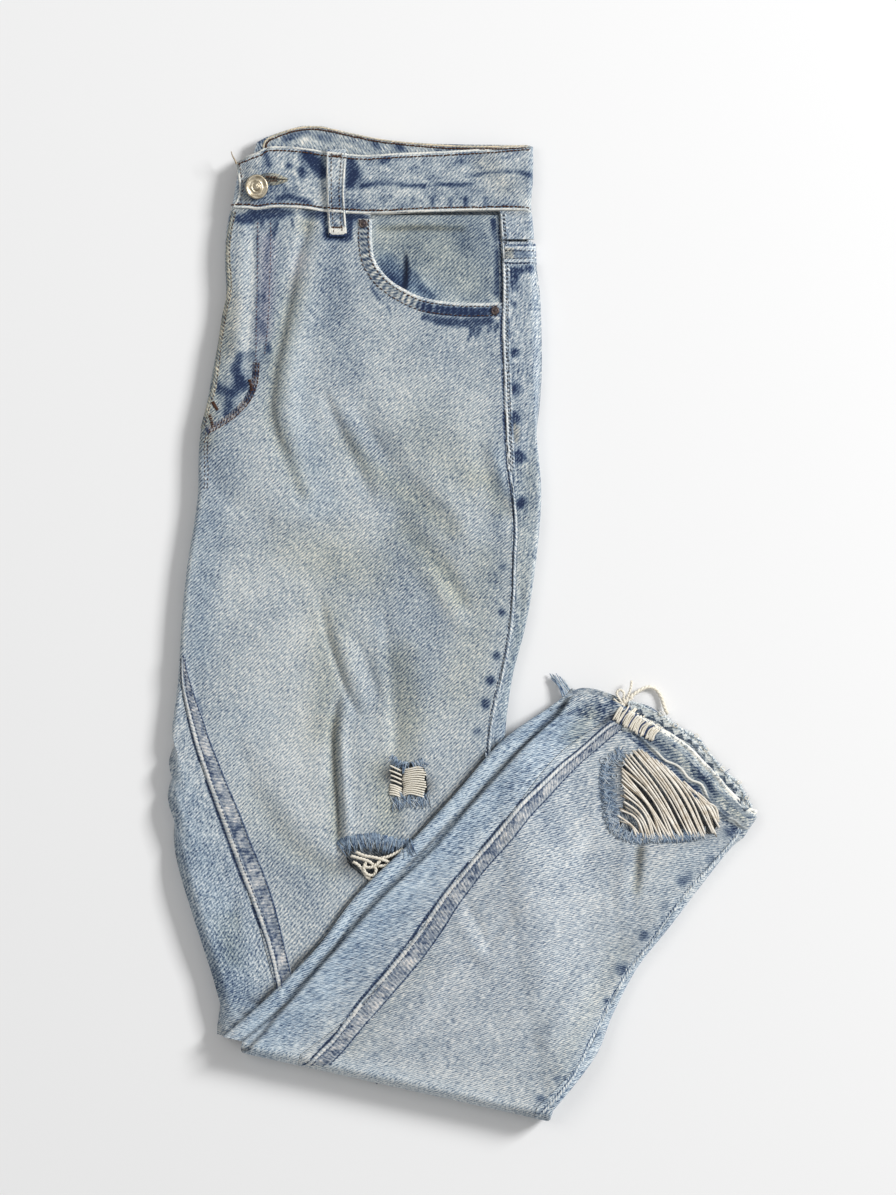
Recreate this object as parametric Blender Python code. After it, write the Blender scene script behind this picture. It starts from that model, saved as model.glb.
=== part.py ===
"""Ripped jeans, folded in half along the centre and then up at the knee, lying flat.

X runs to the right and Y up in the plan view, Z is up from the surface that the jeans lie on.
Sizes and tables are in millimetres and become metres where a mesh is made.
"""
import math
from collections import namedtuple

import bpy
from mathutils import Vector

MM = 0.001
UP = Vector((0.0, 0.0, 1.0))

# Cloth and layers
CLOTH = 1.4                 # thickness of a panel's wall
SEAM_GAP = 0.3              # between pieces that are sewn together
LEG_HEIGHT = 5.6            # height of one flattened leg, two layers and the air between them
LAYER_PITCH = 5.9           # from the underside of one leg to the underside of the next
SLUMP_START = 4.0           # the lower legs leave the thigh's level this far beyond its right outline
SLUMP_WIDTH = 58.0          # and take this far to come down to the surface
SLUMP_SLACK = 1.5           # where they come down, the upper one stands off the lower one
SLACK_MORE = 6.0            # over this much more at either end
SEAM_HEIGHT = 0.8           # how far a felled inseam stands proud
SEAM_HALF_WIDTH = 4.7
EDGE_GAP = 0.25             # added to the inseam's gap where it runs over the rounded left edge
EDGE_GAP_REACH = 4.0
SEAM_SHOULDER = 1.5         # it rises to that over this width at both of its edges
INSEAM_COLUMNS = (0.0, 1.5, 7.9, 9.4)
EDGE_COLUMNS = ((-1.0, 0.9), (-0.5, 1.9), (0.0, 2.9), (0.5, 3.9), (1.0, 6.0))
DEEPEST_TROUGH = 2.1        # a fold never reaches the layer below

# Fold at the knee, where the right leg runs round the left one
STACK_HEIGHT = 3 * LAYER_PITCH + LEG_HEIGHT
FOLD_REACH = 8.5            # how far the fold stands out beyond its line
FOLD_INNER_REACH = 3.3
FOLD_STEPS = 6
FOLD_FADE = 0.16            # ridges and troughs die out within this share of the way round
SHIN_STEPS = 18             # sections along the lower legs

# Waistband
WAIST_HEIGHT = 6.6          # flattened height of the waistband, front and back
WAIST_WALL = 2.4            # two layers of cloth and their turnings
WAIST_STEPS = 5

# Seam below the yoke
YOKE_LOW = 263.0

# Pocket facing
FACING_LEFT = -72.0
FACING_LOW = 213.0
FACING_WALL = 1.0

# Right half of the waistband, hidden: lower and upper ends, and the rise of the back
HIDDEN_WAIST_LOW = (Vector((-158.0, 289.0)), Vector((46.5, 287.6)))
HIDDEN_WAIST_TOP = (Vector((-142.0, 333.0)), Vector((46.5, 332.0)))
HIDDEN_WAIST_RISE = 12.0

# Hems
HEM_WIDTH = 17.5
HEM_WALL = 2.0
LEFT_HEM_BEYOND = 9.0       # the left leg's hem shows this far beyond the right one's

# Belt loop, button, rivets
LOOP_TOP_X = -88.5
LOOP_FOOT_X = -87.0
LOOP_WIDTH = 12.5
LOOP_THICKNESS = 1.6
BUTTON_CENTRE = (-145.5, 305.0)
BUTTON_RADIUS = 8.7
BUTTON_HEIGHT = 2.6
RIVETS = {"rivet_pocket_top": (-71.0, 278.5), "rivet_pocket_side": (22.0, 216.0)}
RIVET_RADIUS = 3.1
RIVET_HEIGHT = 1.1
BUTTON_SIDES = 20
RIVET_SIDES = 10

# Threads
THREAD_WIDTH = 1.3
THREAD_THICKNESS = 0.8
THREAD_BACKING = 1.8
THREAD_BELOW = 1.0          # under the cloth round a rip
RIP_FLOOR = 0.6             # cutters stop this far above the back panel

# One row for each section of the thigh, from the waistband down to the fold.
# inseam is measured round the cloth from the left outline, negative on the underside;
# side is the width of back panel that shows at the right; tuck is how far the hidden right leg is drawn in.
ThighRow = namedtuple("ThighRow", "left_x left_y right_x right_y inseam side tuck")
THIGH_ROWS = [
    ThighRow(-161.5, 284.6, 48.5, 284.6, -20.0, 22.5, 2.0),
    ThighRow(-166.0, 260.0, 51.0, 260.0, -20.0, 23.0, 2.0),
    ThighRow(-165.5, 225.0, 55.0, 225.0, -20.0, 26.5, 2.0),
    ThighRow(-172.0, 190.0, 56.0, 190.0, -20.0, 27.5, 2.0),
    ThighRow(-178.5, 155.0, 55.5, 155.0, -19.0, 25.5, 2.0),
    ThighRow(-184.0, 127.0, 54.5, 127.0, -18.0, 23.5, 2.0),
    ThighRow(-185.5, 85.0, 55.5, 85.0, -16.0, 20.0, 2.0),
    ThighRow(-192.0, 43.0, 52.0, 43.0, -14.0, 16.5, 2.0),
    ThighRow(-196.5, 1.0, 45.5, 1.0, -9.5, 12.0, 2.0),
    ThighRow(-199.0, -41.0, 35.0, -41.0, 7.5, 8.5, 2.5),
    ThighRow(-204.0, -83.0, 30.0, -83.0, 21.7, 12.0, 3.0),
    ThighRow(-206.0, -125.0, 28.5, -130.5, 39.0, 10.5, 3.0),
    ThighRow(-200.0, -167.0, 33.5, -181.0, 49.5, 11.0, 4.0),
    ThighRow(-190.5, -209.0, 41.5, -230.0, 54.7, 13.0, 6.0),
    ThighRow(-175.0, -251.0, 52.0, -286.0, 51.7, 14.0, 9.0),
    ThighRow(-171.5, -289.5, 63.5, -342.0, 63.0, 14.0, 17.0),
]

# One row for each section of the folded-up lower legs, from the fold to the hem's inner edge.
# roll is how far the left leg shows beyond the right one; bulge is how far the row bows towards the hem.
ShinRow = namedtuple("ShinRow", "left_x left_y right_x right_y inseam side roll bulge")
SHIN_ROWS = [
    ShinRow(-153.5, -293.5, 63.5, -342.0, 47.9, 11.8, 14.3, 0.0),
    ShinRow(-120.5, -265.5, 93.0, -305.0, 51.4, 7.6, 15.7, 0.0),
    ShinRow(-89.0, -230.0, 105.5, -275.5, 48.8, 5.6, 12.4, 0.0),
    ShinRow(-57.5, -195.0, 123.0, -242.5, 43.9, 4.7, 16.5, 0.0),
    ShinRow(-19.0, -158.0, 144.0, -216.0, 33.2, 4.2, 16.3, 0.0),
    ShinRow(9.0, -125.0, 166.5, -186.5, 33.0, 5.9, 14.1, 2.0),
    ShinRow(40.5, -90.0, 187.5, -160.0, 30.7, 3.9, 14.5, 7.0),
    ShinRow(67.8, -65.6, 197.3, -151.6, 34.6, 5.4, 9.0, 14.0),
]

# One row for each station along the waistband's front stretch: its lower and upper edge, and the upper
# edge of the back stretch behind it, which rises higher.
WaistRow = namedtuple("WaistRow", "low_x low_y top_x top_y back_x back_y")
WAIST_ROWS = [
    WaistRow(-161.0, 289.5, -155.5, 321.5, -143.5, 336.0),
    WaistRow(-148.5, 289.2, -147.0, 326.5, -137.0, 339.5),
    WaistRow(-135.0, 290.0, -134.0, 331.5, -125.0, 343.8),
    WaistRow(-120.0, 290.0, -120.0, 332.0, -112.0, 347.5),
    WaistRow(-105.0, 288.2, -105.0, 330.0, -98.0, 347.2),
    WaistRow(-88.0, 286.8, -88.0, 327.2, -84.0, 343.5),
    WaistRow(-70.0, 285.6, -70.0, 325.8, -68.0, 339.6),
    WaistRow(-48.0, 286.4, -48.0, 326.7, -46.0, 336.5),
    WaistRow(-20.0, 286.6, -20.0, 327.8, -19.0, 334.8),
    WaistRow(5.0, 287.6, 5.0, 329.0, 5.0, 334.2),
    WaistRow(28.0, 288.0, 28.0, 330.3, 28.0, 334.0),
    WaistRow(45.0, 288.0, 45.5, 331.3, 45.5, 333.6),
]
WAIST_RIGHT = (48.5, 50.0)  # right end, at the lower and the upper edge

# The largest folds in the cloth: one row for each point along each fold.
# height is positive for a ridge and negative for a trough; reach is half of its width.
FoldPoint = namedtuple("FoldPoint", "x y reach height")
THIGH_FOLDS = {
    "hip trough": [
        FoldPoint(-106.0, 300.0, 6.0, -1.4), FoldPoint(-119.0, 235.5, 6.0, -1.8),
        FoldPoint(-129.5, 179.5, 6.0, -1.8), FoldPoint(-134.5, 144.5, 6.0, -1.6),
        FoldPoint(-129.5, 127.0, 6.0, -1.4), FoldPoint(-113.5, 88.5, 6.0, -1.0)],
    "hip ridge": [
        FoldPoint(-94.0, 300.0, 8.0, 1.0), FoldPoint(-110.0, 205.0, 8.0, 1.4),
        FoldPoint(-121.0, 150.0, 8.0, 1.2)],
    "short trough": [
        FoldPoint(-92.5, 148.0, 6.0, -1.0), FoldPoint(-82.0, 127.0, 6.0, -1.3),
        FoldPoint(-66.5, 92.0, 6.0, -1.0)],
    "broad trough": [
        FoldPoint(-68.0, 144.5, 9.0, -1.2), FoldPoint(-47.0, 106.0, 9.0, -1.7),
        FoldPoint(-26.0, 81.5, 9.0, -1.6), FoldPoint(-12.0, 71.0, 9.0, -1.2)],
    "second broad trough": [
        FoldPoint(-43.5, 71.0, 9.0, -1.5), FoldPoint(-15.5, 39.5, 9.0, -1.7),
        FoldPoint(0.0, 15.0, 9.0, -1.3)],
    "broad ridge": [
        FoldPoint(-27.0, 38.0, 8.0, 1.4), FoldPoint(-4.0, 5.0, 8.0, 1.6)],
    "seam trough": [
        FoldPoint(12.5, 116.5, 7.0, -1.1), FoldPoint(26.5, 85.0, 7.0, -1.1)],
    "knee trough": [
        FoldPoint(-87.0, -51.5, 5.0, -1.8), FoldPoint(-90.5, -83.0, 5.0, -2.0),
        FoldPoint(-86.0, -125.0, 5.0, -2.0), FoldPoint(-87.0, -155.0, 5.0, -1.6)],
    "knee ridge": [
        FoldPoint(-77.0, -56.0, 8.0, 1.8), FoldPoint(-79.0, -85.0, 8.0, 2.6),
        FoldPoint(-75.0, -125.0, 8.0, 2.6), FoldPoint(-76.0, -148.0, 8.0, 2.0)],
    "soft knee trough": [
        FoldPoint(-54.0, 1.0, 8.0, -1.2), FoldPoint(-49.0, -41.0, 8.0, -1.4),
        FoldPoint(-47.0, -80.0, 8.0, -1.2)],
    "low trough": [
        FoldPoint(-159.0, -83.0, 10.0, -1.2), FoldPoint(-145.0, -118.0, 10.0, -1.6),
        FoldPoint(-131.0, -146.0, 10.0, -1.7), FoldPoint(-108.0, -166.0, 10.0, -1.4)],
}
SHIN_FOLDS = {
    "trough below the rip": [
        FoldPoint(124.5, -162.0, 5.0, -1.5), FoldPoint(120.0, -192.0, 5.0, -1.2)],
    "ridge beside the inseam": [
        FoldPoint(77.5, -156.5, 7.0, 1.2), FoldPoint(89.5, -139.0, 7.0, 1.0)],
    "bent trough": [
        FoldPoint(5.5, -202.0, 6.0, -0.9), FoldPoint(19.5, -226.5, 6.0, -1.2),
        FoldPoint(40.5, -198.5, 6.0, -0.9)],
    "ridge near the fold": [
        FoldPoint(62.0, -290.0, 7.0, 1.0), FoldPoint(92.0, -240.0, 7.0, 1.0)],
}
FOLD_FREE_EDGE = 9.0        # folds die out this far from an outline

# Upper left edge of the folded-up legs on the thigh: cloth is flat to the right of it
COVER_START = Vector((-166.0, -295.0))
COVER_END = Vector((34.0, -78.0))
COVER_MARGIN = 8.0
COVER_FADE = 12.0

# Plan outlines of what is cut out of the panels
POCKET_MOUTH = [
    (-66.0, 292.0), (-64.5, 280.0), (-63.5, 268.0), (-62.5, 259.0), (-59.5, 249.5), (-54.0, 241.0),
    (-47.0, 235.0), (-37.0, 229.0), (-22.5, 224.5), (-8.5, 222.0), (6.0, 221.0), (22.0, 221.5),
    (40.0, 222.5), (40.0, 292.0)]
KNEE_RIP_SMALL = [
    (-46.0, -104.0), (-37.0, -102.0), (-29.0, -104.0), (-25.5, -113.0), (-27.0, -122.0),
    (-36.5, -124.5), (-44.5, -122.5), (-48.5, -114.0)]
KNEE_RIP_LARGE = [
    (-79.0, -163.5), (-68.0, -160.0), (-52.0, -159.0), (-40.0, -156.5), (-44.0, -163.0),
    (-54.0, -173.0), (-64.0, -178.0), (-73.0, -176.0), (-79.0, -170.0)]
SHIN_RIP = [
    (111.0, -108.0), (113.0, -95.5), (119.5, -89.5), (131.5, -91.5), (144.0, -100.5), (155.0, -111.5),
    (167.0, -124.0), (177.0, -134.0), (180.0, -142.0), (172.0, -149.0), (160.0, -144.0),
    (145.0, -142.5), (132.0, -145.5), (121.0, -146.0), (113.0, -137.0), (108.5, -123.0)]

# Ends of the threads that still cross each rip: (root x, root y, tip x, tip y)
ThreadEnds = namedtuple("ThreadEnds", "root_x root_y tip_x tip_y")
SMALL_RIP_ENDS = (ThreadEnds(-50.5, -105.5, -23.5, -105.0), ThreadEnds(-50.5, -121.0, -23.5, -120.0))
SMALL_RIP_THREADS = 5
LARGE_RIP_ENDS = (ThreadEnds(-80.0, -163.0, -36.5, -158.5), ThreadEnds(-80.0, -174.0, -50.0, -174.0))
LARGE_RIP_THREADS = 5
SHIN_RIP_ENDS = (ThreadEnds(111.0, -92.0, 181.5, -140.5), ThreadEnds(108.5, -139.0, 146.0, -147.0))
SHIN_RIP_THREADS = 14
SHIN_RIP_BOW = 12.0         # the uppermost threads bow up towards the hem

# Tassel at the left end of the hems: one row for each strand, root, crest and tip
TasselStrand = namedtuple("TasselStrand", "root_x root_y crest_x crest_y tip_x tip_y")
TASSEL_STRANDS = [
    TasselStrand(67.0, -53.6, 64.2, -46.0, 60.8, -35.4),
    TasselStrand(68.6, -51.7, 66.8, -45.0, 64.2, -36.0),
    TasselStrand(70.3, -49.9, 69.7, -44.2, 68.4, -36.4),
    TasselStrand(72.0, -47.9, 72.4, -43.4, 72.2, -37.6),
]
TASSEL_ROOT_Z = 7.2
TASSEL_CREST_Z = 4.4
TASSEL_TIP_Z = 1.5

# Loose thread beyond the hems, lying on the surface
LOOSE_THREAD = [
    (120.6, -55.8, 1.3), (119.4, -51.5, 1.3), (123.6, -49.2, 1.2), (129.6, -45.4, 1.2),
    (135.6, -46.6, 1.2), (139.8, -51.6, 1.2), (142.2, -59.5, 1.2), (144.3, -67.1, 1.3)]
LOOSE_THREAD_RADIUS = 0.8
LOOSE_THREAD_SIDES = 6


def smoothstep(value):
    value = min(max(value, 0.0), 1.0)
    return value * value * (3.0 - 2.0 * value)


def section_at(rows, position):
    """Row between two rows of a table, on a smooth curve through them."""
    position = min(max(position, 0.0), len(rows) - 1.0)
    first = min(int(position), len(rows) - 2)
    part = position - first
    before = rows[max(first - 1, 0)]
    start = rows[first]
    end = rows[first + 1]
    after = rows[min(first + 2, len(rows) - 1)]
    values = []
    for p0, p1, p2, p3 in zip(before, start, end, after):
        slope_in = (p2 - p0) / 2
        slope_out = (p3 - p1) / 2
        values.append((2 * part**3 - 3 * part**2 + 1) * p1 + (part**3 - 2 * part**2 + part) * slope_in
                      + (3 * part**2 - 2 * part**3) * p2 + (part**3 - part**2) * slope_out)
    return type(start)(*values)


def even(start, end, count):
    """Evenly spaced numbers from start to end."""
    return [start + (end - start) * step / (count - 1) for step in range(count)]


def fold_height(folds, x, y):
    """Sum of the ridges and troughs at a place."""
    total = 0.0
    for points in folds.values():
        strongest = 0.0
        for first, second in zip(points, points[1:]):
            along = Vector((second.x - first.x, second.y - first.y))
            offset = Vector((x - first.x, y - first.y))
            part = min(max(offset.dot(along) / along.length_squared, 0.0), 1.0)
            distance = (offset - along * part).length
            reach = first.reach + (second.reach - first.reach) * part
            height = first.height + (second.height - first.height) * part
            effect = height * math.exp(-(distance / reach) ** 2)
            if abs(effect) > abs(strongest):
                strongest = effect
        total += strongest
    return max(total, -DEEPEST_TROUGH)


def thigh_right_edge(y):
    """X of the thigh's right outline at a height in the plan."""
    for upper, lower in zip(THIGH_ROWS, THIGH_ROWS[1:]):
        if lower.right_y <= y:
            part = min(max((upper.right_y - y) / (upper.right_y - lower.right_y), 0.0), 1.0)
            return upper.right_x + (lower.right_x - upper.right_x) * part
    return THIGH_ROWS[-1].right_x


def slump(x, y):
    """Share of the way down from the thigh to the surface, 0 on the thigh and 1 on the surface."""
    return smoothstep((x - thigh_right_edge(y) - SLUMP_START) / SLUMP_WIDTH)


def support(x, y):
    """Height that the folded-up legs lie at."""
    return 2 * LAYER_PITCH * (1.0 - slump(x, y))


def upper_support(x, y):
    """Height that the uppermost leg lies at."""
    way = (x - thigh_right_edge(y) - SLUMP_START + SLACK_MORE) / (SLUMP_WIDTH + 2 * SLACK_MORE)
    way = min(max(way, 0.0), 1.0)
    return support(x, y) + LAYER_PITCH + SLUMP_SLACK * math.sqrt(max(math.sin(math.pi * way), 0.0))


def uncovered(x, y):
    """1 on the open part of the thigh, 0 where the folded-up legs lie on it."""
    along = (COVER_END - COVER_START).normalized()
    offset = Vector((x, y)) - COVER_START
    return smoothstep((along.x * offset.y - along.y * offset.x - COVER_MARGIN) / COVER_FADE)


def thigh_relief(x, y):
    return fold_height(THIGH_FOLDS, x, y)


def shin_relief(x, y):
    return fold_height(SHIN_FOLDS, x, y)


def waist_low_edge(x):
    """Lower edge of the waistband's front stretch."""
    x = min(max(x, WAIST_ROWS[0].low_x), WAIST_ROWS[-1].low_x)
    for first, second in zip(WAIST_ROWS, WAIST_ROWS[1:]):
        if x <= second.low_x:
            part = (x - first.low_x) / (second.low_x - first.low_x)
            return first.low_y + (second.low_y - first.low_y) * part
    return WAIST_ROWS[-1].low_y


def hem_bow(part):
    """How far a row bows towards the hem, 0 to 1: fullest near its left end."""
    return math.sin(math.pi * part**0.6) * (1.0 - 0.5 * smoothstep((part - 0.6) / 0.2))


class Leg:
    """A flattened leg: rows along it, a level to lie on, and half-round edges."""

    def __init__(self, rows, base, relief, turn, share_free=None, out_left="", out_right=0.0,
                 seam=True, top_edge=None, folded=False):
        self.rows = rows
        self.base = base
        self.relief = relief
        self.turn = turn
        self.share_free = share_free
        self.radius = LEG_HEIGHT / 2
        self.out_left = out_left
        self.out_right = out_right
        self.seam = seam
        self.top_edge = top_edge
        self.folded = folded
        self.last = len(rows) - 1.0

    def ends(self, position):
        """Left and right outline points of a row, and the row itself."""
        row = section_at(self.rows, position)
        left = Vector((row.left_x, row.left_y))
        right = Vector((row.right_x, row.right_y))
        across = (right - left).normalized()
        out = 0.0
        if self.out_left == "roll":
            out = row.roll * (1.0 - 0.7 * min(max(position - self.last, 0.0) / HEM_WIDTH, 1.0))
        elif self.out_left == "tuck":
            out = -row.tuck
        return left - across * out, right + across * self.out_right, row

    def width(self, position):
        left, right, _ = self.ends(position)
        return (right - left).length

    def place(self, position, distance, depth):
        """Point at a distance from the left outline and a depth below the leg's top."""
        left, right, row = self.ends(position)
        across = (right - left).normalized()
        width = (right - left).length
        part = min(max((distance - self.radius) / (width - 2 * self.radius), 0.0), 1.0)
        towards_hem = Vector((-across.y, across.x))
        bow = getattr(row, "bulge", 0.0) * hem_bow(part)
        spot = left + across * distance + towards_hem * bow
        if position < 0.0 and self.folded:
            angle = -position * math.pi
            reach = FOLD_REACH - depth * (FOLD_REACH - FOLD_INNER_REACH) / (2 * self.radius)
            spot = spot - towards_hem * reach * math.sin(angle)
            level = STACK_HEIGHT / 2 + (STACK_HEIGHT / 2 - depth) * math.cos(angle)
            return Vector((spot.x, spot.y, level))
        if position > self.last:
            spot = spot + towards_hem * self.hem_shift(position - self.last, part)
        if self.top_edge and position < 1.0:
            straight = spot.y
            spot.y += (self.top_edge(spot.x) - SEAM_GAP - straight) * (1.0 - max(position, 0.0))
        level = self.base(spot.x, spot.y) + 2 * self.radius - depth
        return Vector((spot.x, spot.y, level))

    def hem_shift(self, shift, part):
        """Distance along the leg past its last row; beyond the hem's width the middle goes furthest."""
        extra = max(shift - HEM_WIDTH, 0.0)
        grown = 0.35 + 0.65 * smoothstep((part - 0.2) / 0.15)
        grown *= 1.0 - 0.7 * smoothstep((part - 0.85) / 0.15)
        return min(shift, HEM_WIDTH) + extra * grown

    def cloth_point(self, position, cloth, raised=0.0):
        """Outer point at a length of cloth round the leg, from the left outline over the top."""
        width = self.width(position)
        radius = self.radius
        quarter = radius * math.pi / 2
        top_end = quarter + width - 2 * radius
        if cloth > top_end + 2 * quarter:
            below = cloth - top_end - 2 * quarter
            return self.place(position, width - radius - below, 2 * radius)
        if cloth < -quarter:
            return self.place(position, radius - cloth - quarter, 2 * radius)
        if cloth < quarter:
            angle = cloth / radius
            distance = radius - radius * math.cos(angle)
        elif cloth <= top_end:
            angle = math.pi / 2
            distance = radius + cloth - quarter
        else:
            angle = math.pi / 2 - (cloth - top_end) / radius
            distance = width - radius + radius * math.cos(angle)
        depth = radius - radius * math.sin(angle)
        point = self.place(position, distance, depth)
        if angle <= 0.0:
            return point
        free = self.share_free(point.x, point.y) if self.share_free else 1.0
        if self.folded:
            free *= smoothstep(1.0 + position / FOLD_FADE)
        near = min(distance, width - distance)
        raised += self.relief(point.x, point.y) * free * smoothstep(near / FOLD_FREE_EDGE)
        if self.seam:
            inside = SEAM_HALF_WIDTH - abs(cloth - section_at(self.rows, position).inseam)
            raised += SEAM_HEIGHT * free * smoothstep(inside / SEAM_SHOULDER)
        point.z += raised * math.sin(angle)
        return point

    def normal(self, position, cloth):
        """Outward direction of the cloth at a point."""
        step = 0.3 if position > self.last else 0.004
        across = self.cloth_point(position, cloth + 0.2) - self.cloth_point(position, cloth - 0.2)
        along = self.cloth_point(position + step, cloth) - self.cloth_point(position - step, cloth)
        return across.cross(along).normalized() * self.turn

    def cloth_at(self, distance):
        """Length of cloth round the leg for a distance from the left outline on its top."""
        return distance - self.radius + self.radius * math.pi / 2

    def all_round(self, position):
        return 2 * (self.width(position) - 2 * self.radius) + 2 * math.pi * self.radius


def pairs(face):
    return [(face[k], face[(k + 1) % len(face)]) for k in range(len(face))]


def add_finish(name, colour, roughness, metallic=0.0):
    finish = bpy.data.materials.new(name)
    finish.use_nodes = True
    shader = finish.node_tree.nodes["Principled BSDF"]
    shader.inputs["Base Color"].default_value = (*colour, 1.0)
    shader.inputs["Roughness"].default_value = roughness
    shader.inputs["Metallic"].default_value = metallic
    return finish


def add_shell(name, outer, inner, faces, finish):
    """Closed solid between two layers of points that share the same faces."""
    count = len(outer)
    directed = {edge for face in faces for edge in pairs(face)}
    skin = list(faces)
    skin += [tuple(count + corner for corner in reversed(face)) for face in faces]
    skin += [(b, a, count + a, count + b) for a, b in sorted(directed) if (b, a) not in directed]
    mesh = bpy.data.meshes.new(name)
    mesh.from_pydata([point * MM for point in outer + inner], [], skin)
    mesh.validate()
    turn_outwards(mesh)
    mesh.shade_smooth()
    mesh.set_sharp_from_angle(angle=math.radians(50))
    piece = bpy.data.objects.new(name, mesh)
    piece.data.materials.append(finish)
    bpy.context.scene.collection.objects.link(piece)
    return piece


def turn_outwards(mesh):
    """Flip the faces of a closed mesh whose volume comes out negative."""
    mesh.calc_loop_triangles()
    volume = 0.0
    for triangle in mesh.loop_triangles:
        a, b, c = (mesh.vertices[corner].co for corner in triangle.vertices)
        volume += a.dot(b.cross(c))
    if volume < 0.0:
        mesh.flip_normals()


def grid_faces(rows, columns, ring=False):
    faces = []
    for i in range(rows - 1):
        for j in range(columns if ring else columns - 1):
            right = (j + 1) % columns
            faces.append((i * columns + j, i * columns + right,
                          (i + 1) * columns + right, (i + 1) * columns + j))
    return faces


def grid_normals(grid, turn):
    """Outward direction at each point of a grid of rows and columns."""
    rows = len(grid)
    columns = len(grid[0])
    normals = []
    for i in range(rows):
        for j in range(columns):
            along = grid[min(i + 1, rows - 1)][j] - grid[max(i - 1, 0)][j]
            across = grid[i][min(j + 1, columns - 1)] - grid[i][max(j - 1, 0)]
            normals.append(across.cross(along).normalized() * turn)
    return normals


def add_wall(name, grid, thickness, turn, finish):
    """Wall under a grid of outer points."""
    outer = [point for row in grid for point in row]
    inner = [point - normal * thickness for point, normal in zip(outer, grid_normals(grid, turn))]
    return add_shell(name, outer, inner, grid_faces(len(grid), len(grid[0])), finish)


def add_leg_wall(name, leg, stations, thickness, finish, ring=False, drop=0.0):
    """Cloth wall of a leg; stations are rows of (position, length of cloth round the leg)."""
    outer = []
    inner = []
    for row in stations:
        for position, cloth in row:
            point = leg.cloth_point(position, cloth) - Vector((0.0, 0.0, drop))
            outer.append(point)
            inner.append(point - leg.normal(position, cloth) * thickness)
    return add_shell(name, outer, inner, grid_faces(len(stations), len(stations[0]), ring), finish)


def slab_distances(width, radius, count):
    """Distances across a slab from its left outline, closer together at the rounded edges."""
    round_in = [0.06 * radius, 0.3 * radius, radius]
    middle = even(radius, width - radius, count)[1:-1]
    return round_in + middle + [width - distance for distance in reversed(round_in)]


def edge_depth(distance, width, radius):
    """Depth of a half-round edge's upper side at a distance across."""
    near = min(distance, width - distance, radius)
    return radius - math.sqrt(radius * radius - (radius - near) ** 2)


def add_slab(name, leg, rows, count, finish):
    """Rounded solid that fills a flattened leg; rows are (position, share of the full height)."""
    top = []
    bottom = []
    for position, share in rows:
        width = leg.width(position)
        radius = leg.radius
        for distance in slab_distances(width, radius, count):
            rise = (radius - edge_depth(distance, width, radius)) * share
            top.append(leg.place(position, distance, radius - rise))
            bottom.append(leg.place(position, distance, radius + rise))
    return add_shell(name, top, bottom, grid_faces(len(rows), count + 4), finish)


def add_cutter(name, outline, low, high, finish):
    """Upright prism, used to cut a rip or a pocket mouth."""
    corners = [Vector((x, y, high)) for x, y in outline]
    lower = [Vector((x, y, low)) for x, y in outline]
    cutter = add_shell(name, corners, lower, [tuple(range(len(outline)))], finish)
    cutter.hide_render = True
    cutter.display_type = "WIRE"
    return cutter


def cut(piece, cutter):
    boolean = piece.modifiers.new(cutter.name, "BOOLEAN")
    boolean.operation = "DIFFERENCE"
    boolean.object = cutter
    boolean.solver = "EXACT"


def front_stations(leg, positions, count, edge_columns=()):
    """Front panel: from the felled inseam over the top to the side seam."""
    quarter = leg.radius * math.pi / 2
    stations = []
    for position in positions:
        start = inseam_line(leg, position)
        end = side_seam(leg, position)
        edge = [start + step for step in INSEAM_COLUMNS]
        edge += [max(share * quarter, start + least) for share, least in edge_columns]
        row = sorted(edge)
        row += even(row[-1], end, count)[1:]
        stations.append([(position, cloth) for cloth in row])
    return stations


def stepped(*stretches):
    """Positions along a leg from (start, end, steps) stretches that meet end to end."""
    positions = [stretches[0][0]]
    for start, end, steps in stretches:
        positions += [start + (end - start) * step / steps for step in range(1, steps + 1)]
    return positions


def side_seam(leg, position):
    row = section_at(leg.rows, position)
    return leg.cloth_at(leg.width(position) - row.side)


def inseam_line(leg, position):
    """Where the front panel ends at the inseam: the outer line of the felled seam."""
    row = section_at(leg.rows, position)
    return row.inseam - SEAM_HALF_WIDTH


def round_columns(leg, position, start, end, flat):
    """Lengths of cloth from start over the right edge, under the leg and round the left edge to end."""
    radius = leg.radius
    quarter = radius * math.pi / 2
    over_right = quarter + leg.width(position) - 2 * radius
    under_right = over_right + 2 * quarter
    under_left = min(under_right + leg.width(position) - 2 * radius, end - 6.0)
    over_left = min(under_left + 2 * quarter, end - 1.5)
    stations = even(start, max(over_right, start + 0.8), 3)
    stations += even(stations[-1], under_right, 6)[1:]
    stations += even(under_right, under_left, flat)[1:]
    stations += even(under_left, over_left, 6)[1:]
    stations += even(over_left, end, 4)[1:]
    return stations


def add_back(name, leg, positions, flat, finish):
    """Back panel: from the side seam round the right edge, underneath, and up to the inseam."""
    stations = []
    for position in positions:
        round_length = leg.all_round(position)
        start = side_seam(leg, position) + SEAM_GAP
        turned = (inseam_line(leg, position) / EDGE_GAP_REACH) ** 2
        end = round_length + inseam_line(leg, position) - SEAM_GAP - EDGE_GAP * math.exp(-turned)
        row = []
        for cloth in round_columns(leg, position, start, end, flat):
            wrapped = cloth - round_length
            over_left = wrapped > -leg.radius * math.pi / 2
            row.append((position, wrapped if over_left else cloth))
        stations.append(row)
    return add_leg_wall(name, leg, stations, CLOTH, finish)


def add_left_front(leg, positions, denim):
    stations = front_stations(leg, positions, 15, EDGE_COLUMNS)
    front = add_leg_wall("left_front", leg, stations, CLOTH, denim)
    low = LAYER_PITCH + CLOTH + RIP_FLOOR
    for name, outline in (("pocket mouth cutter", POCKET_MOUTH), ("small knee rip cutter", KNEE_RIP_SMALL),
                          ("large knee rip cutter", KNEE_RIP_LARGE)):
        cut(front, add_cutter(name, outline, low, 3 * LAYER_PITCH, denim))
    return front


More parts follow.
